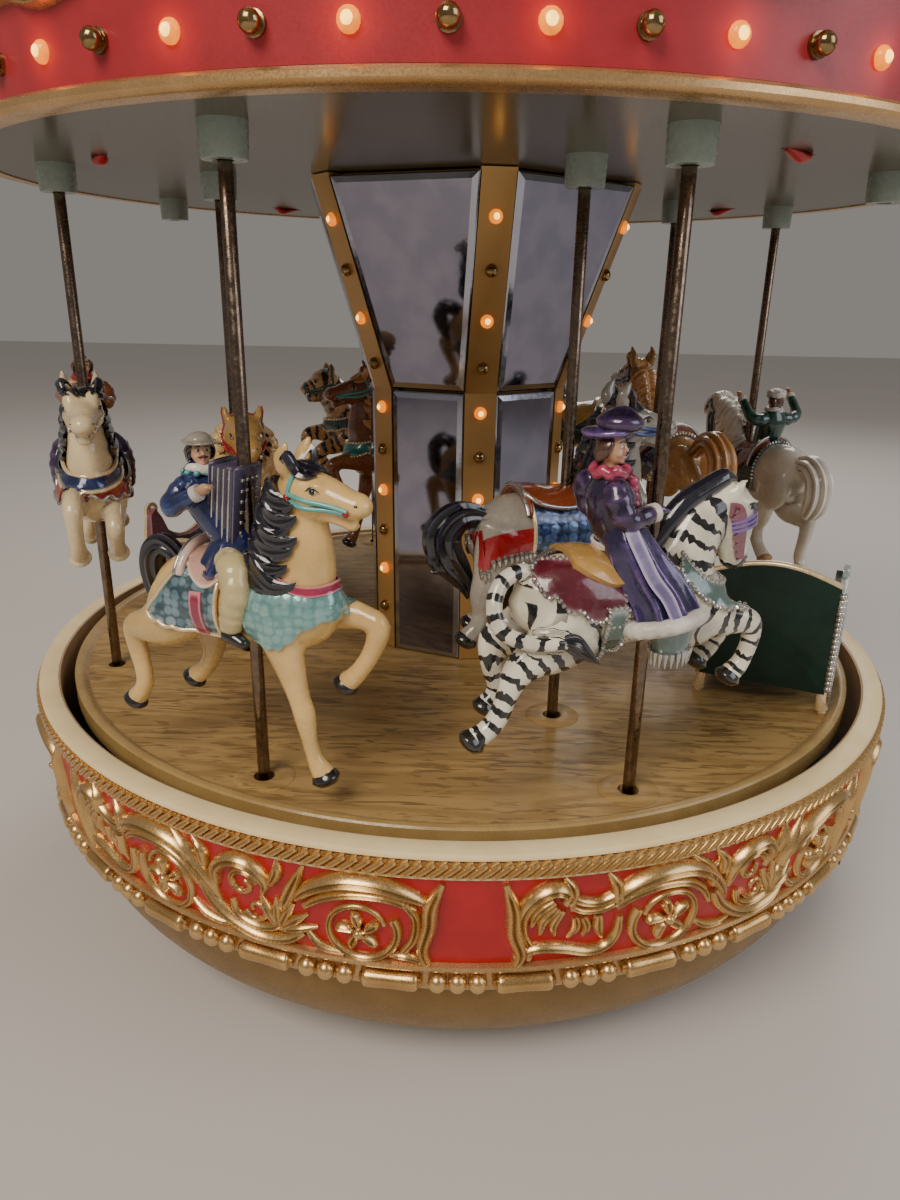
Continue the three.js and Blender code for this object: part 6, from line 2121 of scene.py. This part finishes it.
    def thighs(self) -> None:
        """Legs astride, bent at the knee, and shoes."""
        legs, shoes = [], []
        for side in (-1, 1):
            path = [self.on(x, side * y, z) for x, y, z in ((0, 4.5, -1), (4.6, 8.4, -2.6), (6.2, 10.6, -7.6),
                                                           (5.0, 10.9, -13), (4.2, 10.7, -17))]
            legs.append(creased(path, [r * self.size for r in (3.8, 4.1, 3.6, 3.2, 2.8)], 0.06))
            shoes.append(self.loft([(2.6, side * 10.6, -18.4, 1.9, 1.9), (5.6, side * 10.8, -18.9, 1.9, 2.0),
                                    (8.6, side * 11, -20, 1.3, 1.6)], 12, 4).shape())
        self.ride.melt("rider_legs", legs, self.legs, 0.5, 1)
        self.ride.add("rider_shoes", shoes, HOOF)

    def turned_head(self, shapes: Iterable[Shape]) -> list[Shape]:
        """Turns shapes of the head's own axes, +X where it faces, and sets them on the neck."""
        a = math.radians(self.facing)
        turn = np.array([[math.cos(a), math.sin(a), 0], [-math.sin(a), math.cos(a), 0], [0, 0, 1]])
        turn *= self.size * self.head_size
        return [Shape(s.points @ turn + self.neck_top(), s.faces) for s in shapes]

    def head(self) -> None:
        """The head: face, eyes, brows, lips, hair and hat."""
        face = [ball((0, 0, 0), (3.4, 3.1, 3.9)), ball((0.8, 0, -1.9), (2.5, 2.3, 2.3)),
                tube([(3.0, 0, 0.8), (3.55, 0, -0.2), (3.75, 0, -0.9)], [0.35, 0.5, 0.62], 8, 3),
                ball((2.3, 1.4, -1.3), (1.0, 1.0, 0.95), 10, 7),
                ball((2.3, -1.4, -1.3), (1.0, 1.0, 0.95), 10, 7),
                ball((2.6, 0, -3.2), (0.8, 0.9, 0.7), 10, 7),
                Loft([(-0.3, 0, -2.4, 1.9, 1.9), (-0.6, 0, -6, 2.1, 2.1)], 12).shape()]
        face += [ball((-0.3, side * 3.1, -0.4), (0.8, 0.5, 1.1), 8, 6) for side in (-1, 1)]
        self.ride.melt("rider_face", self.turned_head(face), SKIN, 0.3, 1)
        marks = [ball((3.16, side * 1.25, 0.5), (0.3, 0.42, 0.42), 10, 7) for side in (-1, 1)]
        marks += [tube([(3.15, side * 0.6, 1.45), (3.05, side * 1.3, 1.75), (2.6, side * 2.1, 1.4)],
                       [0.16, 0.24, 0.1], 6, 2) for side in (-1, 1)]
        whites = [ball((2.96, side * 1.3, 0.5), (0.4, 0.72, 0.46), 10, 7) for side in (-1, 1)]
        self.ride.add("rider_eyes", self.turned_head(marks), EYE)
        self.ride.add("rider_eye_whites", self.turned_head(whites), FUR)
        lips = [tube([(2.75, -0.9, -1.95), (3.25, 0, -2.2), (2.75, 0.9, -1.95)], [0.16, 0.36, 0.16], 8, 3)]
        self.ride.add("rider_lips", self.turned_head(lips), PINK)
        locks = [ball((-0.9, 0, 0.7), (3.3, 3.4, 3.8)), ball((-2.2, 0, -1.4), (2.2, 2.9, 3.0))]
        for side in (-1, 1):
            for k in range(3):
                locks.append(tube([(0.9 - k, side * 3.0, 1.8 - 0.3 * k), (0.2 - k, side * 3.5, -0.4),
                                   (-0.4 - k, side * 3.3, -2.6 - 0.4 * k)], [0.8, 1.0, 0.5], 7, 3))
        self.ride.melt("rider_hair", self.turned_head(locks), self.hair, 0.36, 1)
        hats = self.hat_shapes()
        if hats:
            self.ride.melt("rider_hat", self.turned_head(hats), self.hat_finish, 0.36, 1)

    def hat_shapes(self) -> list[Shape]:
        """The hat, in the head's axes."""
        if self.hat is HatStyle.CAP:
            return [ball((-0.6, 0, 3.0), (3.8, 3.7, 2.4), 18, 10),
                    Loft([(-6.4, 0, 2.9, 0.5, 2.4), (-3, 0, 2.6, 0.55, 5.0), (1, 0, 2.4, 0.55, 5.2),
                          (4.6, 0, 2.5, 0.5, 4.0), (6.4, 0, 2.7, 0.4, 1.6)], 18).shape()]
        if self.hat is HatStyle.FUR:
            lumps = [ball((-0.2, 0, 3.2), (4.2, 4.2, 3.2), 16, 10)]
            for i in range(26):
                a = i * 2.4
                lumps.append(ball((-0.2 + 3.9 * math.cos(a), 3.9 * math.sin(a), 2.0 + 2.6 * (i / 26)),
                                  (1.3, 1.3, 1.2), 8, 6))
            return lumps
        if self.hat is HatStyle.BONNET:
            return [Loft([(-7.4, 0, 3.4, 0.8, 2.4), (-4.8, 0, 3.2, 1.5, 4.8), (-0.6, 0, 3.4, 1.7, 5.4),
                          (3, 0, 3.8, 1.4, 4.4), (4.6, 0, 4.2, 0.7, 2)], 20).shape()]
        return []


@dataclass
class AccordionPlayer(Rider):
    """A rider who plays a squeeze-box, head turned out and laughing."""

    def build(self) -> None:
        """Builds the rider and the instrument."""
        super().build()
        tilt = 0.12
        turn = np.array([[math.cos(tilt), 0, math.sin(tilt)], [0, 1, 0],
                         [-math.sin(tilt), 0, math.cos(tilt)]])
        at = np.array((-3.4, 0.0, 69.8))

        def lay(shapes: Iterable[Shape]) -> list[Shape]:
            """Leans shapes back against the chest."""
            return [Shape(s.points @ turn.T + at, s.faces) for s in shapes]

        rings = []
        for i in range(9):
            half, tall = (4.9, 8.2) if i % 2 else (4.0, 7.3)
            x = -3.0 + 0.75 * i
            rings.append([(x, -half, -tall), (x, half, -tall), (x, half, tall), (x, -half, tall)])
        self.ride.add("bellows", lay([skin(np.array(rings, float))]), self.trim, (), 20)
        ends = [Loft([(s * 3.4, 0, -8.8, 0.5, 4.4), (s * 3.4, 0, -8.2, 0.7, 4.9), (s * 3.4, 0, 8.2, 0.7, 4.9),
                      (s * 3.4, 0, 8.8, 0.5, 4.4)], 14, 1).shape() for s in (-1, 1)]
        self.ride.add("box_ends", lay(ends), self.trim)
        keys = [ball((4.1, -2.6 + 1.7 * (i % 4), -6.2 + 2.4 * (i // 4)), (0.35, 0.55, 0.5), 8, 6)
                for i in range(24)]
        frames = [tube([(-2.25 + 1.5 * i, y, z) for y, z in ((-4.9, -8.1), (-5.0, 0), (-4.9, 8.1))],
                       0.24, 6, 3)
                  for i in range(4)]
        self.ride.add("box_keys", lay([*keys, *frames]), SILVER)
        x, _, z = self.on(-self.lean, 0, 19.6)
        dots = [ball((x + 4.0 * math.cos(a), 4.0 * math.sin(a), z), (0.8, 0.8, 0.7), 9, 6)
                for a in np.linspace(-3, 2.6, 10)]
        self.ride.add("collar_dots", dots, TEAL)
        lip = [tube([(3.35, 0.15 * s, -1.45), (3.2, 1.0 * s, -1.5), (2.7, 1.9 * s, -1.2)],
                    [0.26, 0.3, 0.1], 6, 3)
               for s in (-1, 1)]
        self.ride.add("moustache", self.turned_head(lip), HAIR_BROWN)


@dataclass
class SideSaddleRider(Rider):
    """A lady who sits sideways in a long full skirt with a fur hem."""

    def neck_top(self) -> np.ndarray:
        """The middle of the head."""
        return np.array((-12.9, -1.4, 84.8))

    def glove(self) -> Finish:
        """Dark gloves."""
        return DARK_CLOTH

    def trunk(self) -> None:
        """The jacket, the ruffled scarf and the lapel."""
        body = Loft([(-9.4, -1, 62, 5.2, 6.2), (-10, -1, 65.6, 4.4, 5.2), (-11.4, -1, 70.4, 5.2, 6.0),
                     (-12.4, -1, 75.2, 5.0, 6.5), (-12.8, -1, 78.2, 3.4, 4.2), (-12.8, -1, 80.6, 1.9, 2.1)],
                    18)
        self.ride.melt("rider_coat", [body.shape()], self.coat, 0.5, 1)
        self.ride.add("rider_trim", [body.strap(0.8, 1.4, 0.2, 0.7)], self.trim)
        ruffles = []
        for i in range(15):
            a = math.radians(24 * i)
            ruffles.append(ball((-12.8 + 3.4 * math.cos(a), -1 + 3.4 * math.sin(a), 79.6 + 0.6 * (i % 2)),
                                (1.4, 1.4, 1.5), 9, 7))
        ruffles += [ball((-8.8 + 0.2 * i, -3.4 - 0.2 * i, 78 - 1.6 * i), (1.6 - 0.1 * i, 1.7, 1.2), 9, 7)
                    for i in range(4)]
        self.ride.melt("rider_scarf", ruffles, self.collar, 0.42, 1)
        lapel = tube([(-8, -4.4, 78), (-7, -5.0, 74.6), (-6.6, -4.6, 70.6)], [0.5, 1.0, 0.5], 8, 4, 0.5)
        self.ride.add("rider_lapel", [lapel], SILVER)

    def thighs(self) -> None:
        """The skirt with its folds, fur hem and petticoat."""
        skirt = Loft([(-10.6, -2, 69, 4.4, 5.2), (-9.2, -3.6, 64.5, 5.3, 6.2), (-7, -6.4, 59.4, 5.9, 6.2),
                      (-4, -8.8, 54.6, 6.4, 5.4), (-2.4, -10.4, 50.6, 7.0, 4.8), (-2, -10.8, 48.6, 7.4, 4.8)],
                     26, 7)
        self.ride.melt("rider_skirt", [folded(skirt, 0, 5, 9, 1.5), skirt.shape()], self.legs, 0.42, 3)
        stripe = skirt.patch(lambda s: (-112 + 10 * s, -84 - 2 * s), 0.4, 4.8, 0.75, 0.5, 24, 5)
        self.ride.add("rider_stripe", [stripe], LILAC)
        hem = [tube([skirt.at(4.9, a, 0.5) for a in np.linspace(-180, 180, 41)], 1.9, 10, 1)]
        for i in range(40):
            hem.append(ball(skirt.at(4.8 + 0.2 * (i % 2), i * 9, 1.5), (1.3, 1.2, 1.6), 8, 6))
        self.ride.melt("rider_hem", hem, FUR, 0.45, 1)
        under = Loft([(-0.6, -10.6, 47.6, 5.6, 4), (-0.2, -10.6, 44, 4.6, 3.6), (0, -10.4, 41.4, 4.2, 3)], 16)
        self.ride.melt("petticoat", [under.shape()], GREY_GREEN, 0.6, 1)
        fringe = [tube([under.at(1.6, a, 0.1), under.at(2.0, a, 0.3), under.at(2.0, a, 0.3) + (0, 0, -2.6)],
                       [0.6, 0.7, 0.15], 6, 2) for a in range(0, 360, 18)]
        self.ride.add("petticoat_fringe", fringe, SILVER)

    def hat_shapes(self) -> list[Shape]:
        """The bonnet's pale brim; its dark crown is a piece of its own."""
        crown = [ball((1.4, 0, 6.0), (5.8, 5.2, 2.9), 22, 12),
                 tube([(-3, 0, 6), (2.2, 0, 7.6), (6.4, 0, 5.8)], [1.4, 2.4, 1.2], 12, 4)]
        self.ride.melt("hat_crown", self.turned_head(crown), self.coat, 0.4, 1)
        return super().hat_shapes()


@dataclass
class Chariot:
    """A little painted car with an arched back board, scrolled sides, a seat and a rising prow."""

    shop: Workshop
    number: int
    degrees: float
    paint: Finish
    seat: Finish
    carving: Finish
    feet: Finish

    def __post_init__(self) -> None:
        """Works out the chariot's name and its place on the deck."""
        self.name = f"chariot_{self.number}"
        self.place = at_place(self.degrees, CHARIOT_RING, DECK_TOP)

    def build(self) -> None:
        """Builds the boards, the seat, the carved edges and the feet."""
        boards = [*self.board(-19.6, -17.2, 7.2, 41.0, 4.4), *self.board(18.8, 21.0, 7.2, 20, 4.0),
                  box((0, 0, 8.2), (37, 34, 2.4)), *self.side(-1), *self.side(1)]
        self.put("boards", boards, self.paint, [self.name])
        self.cushions()
        self.put("edges", [self.crest(-18.4, 41.0, 4.4), self.crest(19.9, 20, 4.0)], PALE_GOLD)
        beads = [ball((-19.4 + 0.5 * math.sin(1.3 * k), side * 18.2, 9 + 1.65 * k), (1.3, 1.2, 1.1), 10, 7)
                 for side in (-1, 1) for k in range(18)]
        self.put("beading", beads, SILVER)
        self.put("scrolls", self.scrolls(), self.carving)
        feet = [tube([(x, y, 9), (x * 1.04, y * 1.03, 4.5), (x * 0.98, y * 1.06, 1.6),
                      (x * 1.05, y * 1.08, 0.5)], [1.7, 1.5, 1.9, 0.9], 12, 4)
                for x in (-17.4, 17.4) for y in (-16.6, 16.6)]
        self.put("feet", feet, self.feet)

    def put(self, part: str, shapes: Sequence[Shape], finish: Finish, replaced: Sequence[str] = ()) -> None:
        """Adds a piece of the chariot at its place on the deck."""
        self.shop.add(f"{self.name}_{part}", Shape.joined(shapes).mapped(self.place), finish,
                      Body.TURNTABLE.value, replaced, 40)

    def cushions(self) -> None:
        """Adds the seat and its back, buttoned into five swells."""
        shapes = []
        for k in range(5):
            shapes.append(ball((-11, -12 + 6 * k, 17.2), (6.6, 3.5, 2.6), 16, 10))
            shapes.append(ball((-16.2, -12 + 6 * k, 25), (2.4, 3.5, 7.4), 16, 10))
        shapes.append(box((-11.5, 0, 13), (12, 33, 7)))
        made = fused(f"{self.name}_seat", [shape.mapped(self.place) for shape in shapes], 0.7, 2)
        self.shop.add(f"{self.name}_seat", made, self.seat, Body.TURNTABLE.value, (), 180)

    def scrolls(self) -> list[Shape]:
        """The carved scrolls on both sides."""
        scrolls = []
        for side in (-1, 1):
            y = side * 18.0
            for rows in ([(-18, 9, 1.4), (-15, 14, 2.2), (-16, 22, 2.4), (-18.6, 30, 2.2), (-19.2, 36, 1.6)],
                         [(-18, 33, 1.6), (-10, 24, 2.4), (-2, 19.5, 2.4), (6, 19, 2.4), (14, 23, 2.4),
                          (18, 30, 2.2), (22, 34, 1.4)],
                         [(-16, 6, 1.4), (-8, 9.2, 2.0), (4, 8.6, 2.0), (14, 8.8, 2.0), (21, 12, 2),
                          (23.4, 20, 2), (22.6, 30, 1.2)],
                         spiral(-9, 15.5, (4.4, 1.0), (120, 560), (1.8, 1.0)),
                         spiral(6, 13.6, (3.6, 0.9), (60, -380), (1.6, 1.0)),
                         spiral(19.4, 32.6, (3.2, 0.8), (-60, 330), (1.8, 1.0))):
                flat = ribbon(rows, 1.5, 6, 4)
                run, height, depth = flat.points.T
                scrolls.append(Shape(np.stack([run, y + side * depth, height], 1), flat.faces))
        return scrolls

    def arch(self, top: float, rise: float) -> list[tuple[float, float]]:
        """Points across a board's arched top edge, as y and height."""
        return [(y, top + rise * math.cos(math.pi * y / 36) - rise * 0.5)
                for y in np.linspace(-17.6, 17.6, 17)]

    def board(self, back: float, front: float, foot: float, top: float, rise: float) -> list[Shape]:
        """An upright board across the car."""
        rows = [[[(x, y, foot), (x, y, z)] for y, z in self.arch(top, rise)] for x in (back, front)]
        return [shell(np.array(rows[0]), np.array(rows[1]))]

    def crest(self, x: float, top: float, rise: float) -> Shape:
        """The pale rounded edge on a board's top."""
        return tube([(x, y, z + 0.3) for y, z in self.arch(top, rise)], 1.0, 10, 1)

    def side(self, side: int) -> list[Shape]:
        """One scrolled side of the car, thick enough to carry its carving."""
        top = [(-19.4, 36), (-17.6, 30), (-13, 25), (-6, 21), (2, 19.2), (9, 19.8), (14, 23.4), (17, 29.4),
               (20, 33.4), (22.6, 31.4)]
        low = [(-18.6, 6.6), (-15, 6.6), (-11, 7), (-6, 7), (2, 7), (8, 7), (13, 7), (17, 7), (21, 9),
               (23.6, 14)]
        sheets = [np.array([[(x0, side * y, z0), ((x0 + x1) / 2, side * y, (z0 + z1) / 2), (x1, side * y, z1)]
                            for (x0, z0), (x1, z1) in zip(low, top)]) for y in (15.6, 18.0)]
        return [shell(*sheets)]


@dataclass
class Studio:
    """The floor, the soft lights and the camera."""

    camera_at: tuple[float, float, float] = (0.00766, -0.29336, 0.19183)
    yaw: float = -0.03885
    pitch: float = 0.34177
    roll: float = 0.01722
    lens: float = 25.772
    sensor: float = 36.0
    sky_strength: float = 0.24
    floor_size: float = 3.0
    light_aim: tuple[float, float, float] = (0.0, 0.0, 0.12)

    def build(self) -> None:
        """Builds the stage."""
        scene = bpy.context.scene
        scene.world = bpy.data.worlds.new("studio")
        scene.world.use_nodes = True
        sky = scene.world.node_tree.nodes["Background"].inputs
        sky[0].default_value = (1.0, 0.93, 0.86, 1)
        sky[1].default_value = self.sky_strength
        floor = linked("floor", bpy.data.meshes.new("floor"))
        size = self.floor_size
        floor.data.from_pydata([(-size, -size, 0), (size, -size, 0), (size, size, 0), (-size, size, 0)], [],
                               [(0, 1, 2, 3)])
        paper = Paper("floor_pale")
        cloud = paper.noise(paper.spot(), 0.004, 3.0)
        paper.feed(paper.shader.inputs["Base Color"], paper.mix(cloud, (0.66, 0.63, 0.6), (0.62, 0.59, 0.56)))
        paper.shader.inputs["Roughness"].default_value = 0.7
        floor.data.materials.append(paper.material)
        self.light("key", (-0.35, -0.75, 0.85), 0.5, 8.5, (1.0, 0.9, 0.78))
        self.light("fill", (0.8, -0.4, 0.55), 0.6, 2.8, (0.9, 0.93, 1.0))
        self.light("back", (0.2, 0.8, 0.75), 0.6, 3.8, (1.0, 0.93, 0.86))
        self.camera()

    def light(self, name: str, place: tuple[float, float, float], size: float, power: float,
              colour: Colour) -> None:
        """Adds a square soft light that faces the deck."""
        lamp = bpy.data.lights.new(name, "AREA")
        lamp.size = size
        lamp.energy = power
        lamp.color = colour
        rig = linked(name, lamp)
        rig.location = place
        aim = Vector(self.light_aim) - Vector(place)
        rig.rotation_euler = aim.to_track_quat("-Z", "Y").to_euler()

    def camera(self) -> None:
        """Adds the camera at the photograph's angle."""
        cy, sy, cp, sp = math.cos(self.yaw), math.sin(self.yaw), math.cos(self.pitch), math.sin(self.pitch)
        ahead = Vector((sy * cp, cy * cp, -sp))
        right = Vector((cy, -sy, 0))
        up = right.cross(ahead)
        cr, sr = math.cos(self.roll), math.sin(self.roll)
        x, y = right * cr + up * sr, -right * sr + up * cr
        turn = Matrix((x, y, -ahead)).transposed().to_4x4()
        view = bpy.data.cameras.new("view")
        view.sensor_width = self.sensor
        view.lens = self.lens
        view.clip_start = 0.01
        rig = linked("view", view)
        rig.matrix_world = Matrix.Translation(self.camera_at) @ turn
        bpy.context.scene.camera = rig


def main() -> None:
    """Builds the carousel round its frame."""
    logging.basicConfig(level=logging.INFO, format="%(name)s %(message)s")
    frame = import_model()
    shop = Workshop()
    Studio().build()
    ridden = rides(shop)
    dolls = riders({ride.name: ride for ride in ridden})
    for part in (Base(shop), Deck(shop), Column(shop), Canopy(shop), *ridden, *dolls, *chariots(shop)):
        part.build()
    dress_frame(frame["nodes"])


def riders(ridden: dict[str, Ride]) -> list[Rider]:
    """The four dolls."""
    return [
        AccordionPlayer(ridden["palomino_horse"], BLUE, BLUE, TROUSERS, FUR, BELLOWS, EYE, HatStyle.CAP,
                        COAT_GREY,
                        hip=(-2.8, 58.0), facing=-38, near_hand=(-5.0, -7.4, 73.6), far_hand=(-3.4, 6.6, 71),
                        bend=(-5.6, 3.2, -5.4), lean=10.2, size=0.9),
        SideSaddleRider(ridden["zebra"], DARK_CLOTH, DARK_CLOTH, VIOLET, SCARF_PINK, FUR, HAIR_BROWN,
                        HatStyle.BONNET,
                        VIOLET, hip=(-6.8, 59.4), facing=-50, near_hand=(-2.4, -5.6, 71.6),
                        far_hand=(-2, 1.4, 69.8), lean=6.0, bend=(-4.0, 2.4, -3.4)),
        Rider(ridden["cream_horse"], DARK_CLOTH, COAT_BROWN, DARK_CLOTH, RED, SILVER, HAIR_BROWN,
              HatStyle.BARE,
              HAIR_BROWN, hip=(-8.0, 58.5), facing=12, near_hand=(-1.6, -2.8, 75), far_hand=(-1.6, 2.6, 72),
              size=0.84),
        Rider(ridden["white_horse"], GREEN, GREEN, BURGUNDY, FUR, GREEN, HAIR_BROWN, HatStyle.FUR, FUR,
              hip=(-9.0, 57.5), facing=15, near_hand=(-4, -12.5, 79.5), far_hand=(-2.6, 8.6, 78.5), size=0.8),
    ]


def chariots(shop: Workshop) -> list[Chariot]:
    """The two chariots."""
    return [Chariot(shop, 1, CHARIOT_PLACES[0], CHARIOT_GREEN, BURGUNDY, GREY_GREEN, PALE_GOLD),
            Chariot(shop, 2, CHARIOT_PLACES[1], BURGUNDY, TEAL, PALE_GOLD, PALE_GOLD)]


def palomino_covers() -> list[Cover]:
    """The blanket, saddle, belt and breast drape of the palomino."""
    return [
        Cover("blanket", TEAL_SCALES, [(-23.2, 43.8, 44.4), (-20.4, 42.4, 47.2), (-17.4, 41.4, 50.6),
                                       (-14, 40.6, 54), (-9, 40.2, 55.4),
                                       (-3, 40.6, 55.4)], scallop=0.5, trim=PALE_GOLD,
              edging=Edging.CORD),
        Cover("saddle", PEACH, [(-12.6, 56), (-10.4, 53), (-6.4, 50.8), (-3, 52), (0, 55)], lift=0.7,
              thick=1.1),
        Cover("belt", PINK, [(-9.6, 39, 50), (-6.6, 38.6, 50)], lift=0.7, thick=0.7),
        Cover("drape", TEAL_PEARL, [(0, 47.6, 53.4), (26, 46, 52.8), (48, 41.6, 54.2), (72, 40.4, 56.4),
                                    (106, 42, 59.4)],
              Region.CHEST, scallop=0.8, waves=6),
        Cover("drape_top", PINK, [(0, 52.8, 54.8), (26, 52.2, 54.2), (48, 53.6, 55.6), (72, 55.8, 57.8),
                                  (106, 58.8, 60.8)],
              Region.CHEST, lift=0.5, thick=0.7),
    ]


def zebra_covers() -> list[Cover]:
    """The scalloped cloth, saddle, girth and collar of the zebra."""
    return [
        Cover("cloth", BURGUNDY, [(-30.4, 57.6, 59.4), (-27, 55.2, 61), (-22, 52.4, 61.4), (-16, 50, 61),
                                  (-11.4, 49, 60)],
              scallop=1.4, trim=SILVER),
        Cover("saddle", TAN_LEATHER, [(-22.4, 60), (-19, 58), (-14, 56), (-9, 56.4), (-5, 58)], lift=0.7,
              thick=1.5),
        Cover("girth", GREY_GREEN, [(-15.6, 40, 52), (-11, 40, 52)], lift=0.4, thick=0.9, trim=SILVER),
        Cover("collar", GREY_GREEN, [(0, 48, 54), (30, 48.4, 54), (60, 50.4, 55.4), (90, 54, 58.6),
                                     (116, 58, 62)],
              Region.CHEST, scallop=0.8, waves=7, trim=SILVER),
    ]


def grey_covers() -> list[Cover]:
    """The scaled blanket, fringed band and saddle of the grey horse."""
    return [
        Cover("blanket", BLUE_SCALES, [(-13, 42.6), (-7, 40.6), (0, 40.4), (6, 42.6)], trim=PALE_GOLD,
              edging=Edging.CORD),
        Cover("band", RED, [(-27.4, 42.6, 46), (-24, 43.2, 48), (-18, 43.8, 49.4), (-13, 44, 49.8)],
              trim=SILVER, edging=Edging.FRINGE),
        Cover("saddle", RED_LEATHER, [(-14.6, 56), (-11, 54), (-4, 52.8), (2, 53.6), (5, 55.6)], lift=0.8,
              thick=1.6, trim=SILVER, edging=Edging.CORD),
        Cover("collar", BLUE, [(0, 48, 53), (30, 48.6, 53.4), (60, 50.6, 55), (90, 53, 57), (116, 56, 60)],
              Region.CHEST, scallop=0.7, waves=6, trim=SILVER),
    ]


def cream_covers() -> list[Cover]:
    """The belled collar, cloth and saddle of the cream horse."""
    return [
        *dressed(BLUE, PALE_GOLD, TAN_LEATHER, BLUE)[:3],
        Cover("collar", BLUE, [(0, 48.4, 52.4), (24, 49.2, 53.2), (48, 51.6, 55.4), (72, 54.8, 58.4),
                               (96, 58, 61.4)],
              Region.CHEST, lift=0.4, trim=PALE_GOLD, edging=Edging.CORD),
        Cover("bib", RED, [(0, 47.8, 48.6), (20, 47, 49.4), (42, 46.8, 51.2), (66, 49.4, 54.4),
                           (90, 54, 57.6)], Region.CHEST,
              scallop=1.5, waves=5, trim=SILVER, edging=Edging.CORD),
    ]


def rides(shop: Workshop) -> list[Ride]:
    """The ten rides."""
    outer, inner = OUTER_PLACES, INNER_PLACES
    proud, arched, cat = NeckStyle.PROUD, NeckStyle.ARCHED, NeckStyle.CAT
    curled, full = [CURLED], [PLUMED]
    return [
        Ride(shop, "cream_horse", outer[0], OUTER_RING, 13, proud, PRANCING, COAT_IVORY, HAIR_BLACK,
             PALE_GOLD, cream_covers(), curled, hoof=COAT_IVORY, head_drop=5.0),
        Ride(shop, "palomino_horse", outer[1], OUTER_RING, 0, proud, LEAPING, COAT_CREAM, HAIR_BLACK, TEAL,
             palomino_covers(), curled),
        Ride(shop, "zebra", outer[2], OUTER_RING, 0, arched, STRIDING, COAT_ZEBRA, HAIR_BLACK, BURGUNDY,
             zebra_covers(), [SWITCH], ManeStyle.CREST, rod_rise=7.0, cantle=(-22, 0.4)),
        Ride(shop, "white_horse", outer[3], OUTER_RING, 2, arched, LEAPING, COAT_WHITE, HAIR_CREAM, BLUE,
             dressed(GREEN, SILVER, RED_LEATHER, GREEN, 2.5), full, hoof=HOOF_TAN),
        Ride(shop, "brown_horse", outer[4], OUTER_RING, 11, proud, LEAPING, COAT_BROWN, HAIR_BLACK, GREEN,
             dressed(GREEN, PALE_GOLD, TAN_LEATHER, GREEN), [SWEPT]),
        Ride(shop, "tiger", outer[5], OUTER_RING, 7, cat, PRANCING, COAT_TIGER, COAT_WHITE, GREEN,
             dressed(GREEN, PALE_GOLD, TAN_LEATHER, GREEN, 1.5), [PAW_TAIL], ManeStyle.RUFF),
        Ride(shop, "lion", inner[0], INNER_RING, 6, cat, LEAPING, COAT_GOLD, HAIR_GOLD, RED,
             dressed(RED, PALE_GOLD, TAN_LEATHER, RED, 1.5), [PAW_TAIL], ManeStyle.RUFF),
        Ride(shop, "grey_horse", inner[1], INNER_RING, 9, proud, TROTTING, COAT_GREY, HAIR_BLACK, BLUE,
             grey_covers(), [SWEPT, HOOKED], cantle=(-14, 0.6)),
        Ride(shop, "tan_horse", inner[2], INNER_RING, 12, proud, PRANCING, COAT_TAN, HAIR_RUST, BLUE,
             dressed(BLUE, PALE_GOLD, RED_LEATHER, BLUE), full),
        Ride(shop, "chestnut_horse", inner[3], INNER_RING, 3, proud, LEAPING, COAT_BROWN, HAIR_RUST, TEAL,
             dressed(TEAL_SCALES, PALE_GOLD, TAN_LEATHER, TEAL), [SWEPT]),
    ]


def dress_frame(nodes: dict[str, bpy.types.Object]) -> None:
    """Gives the CAD nodes their finish: bronze on the column's frame and black on the rest."""
    for name, node in nodes.items():
        node.data.materials.clear()
        node.data.materials.append((BRONZE if name == "column_frame" else BLACK).material())


if __name__ == "__main__":
    main()
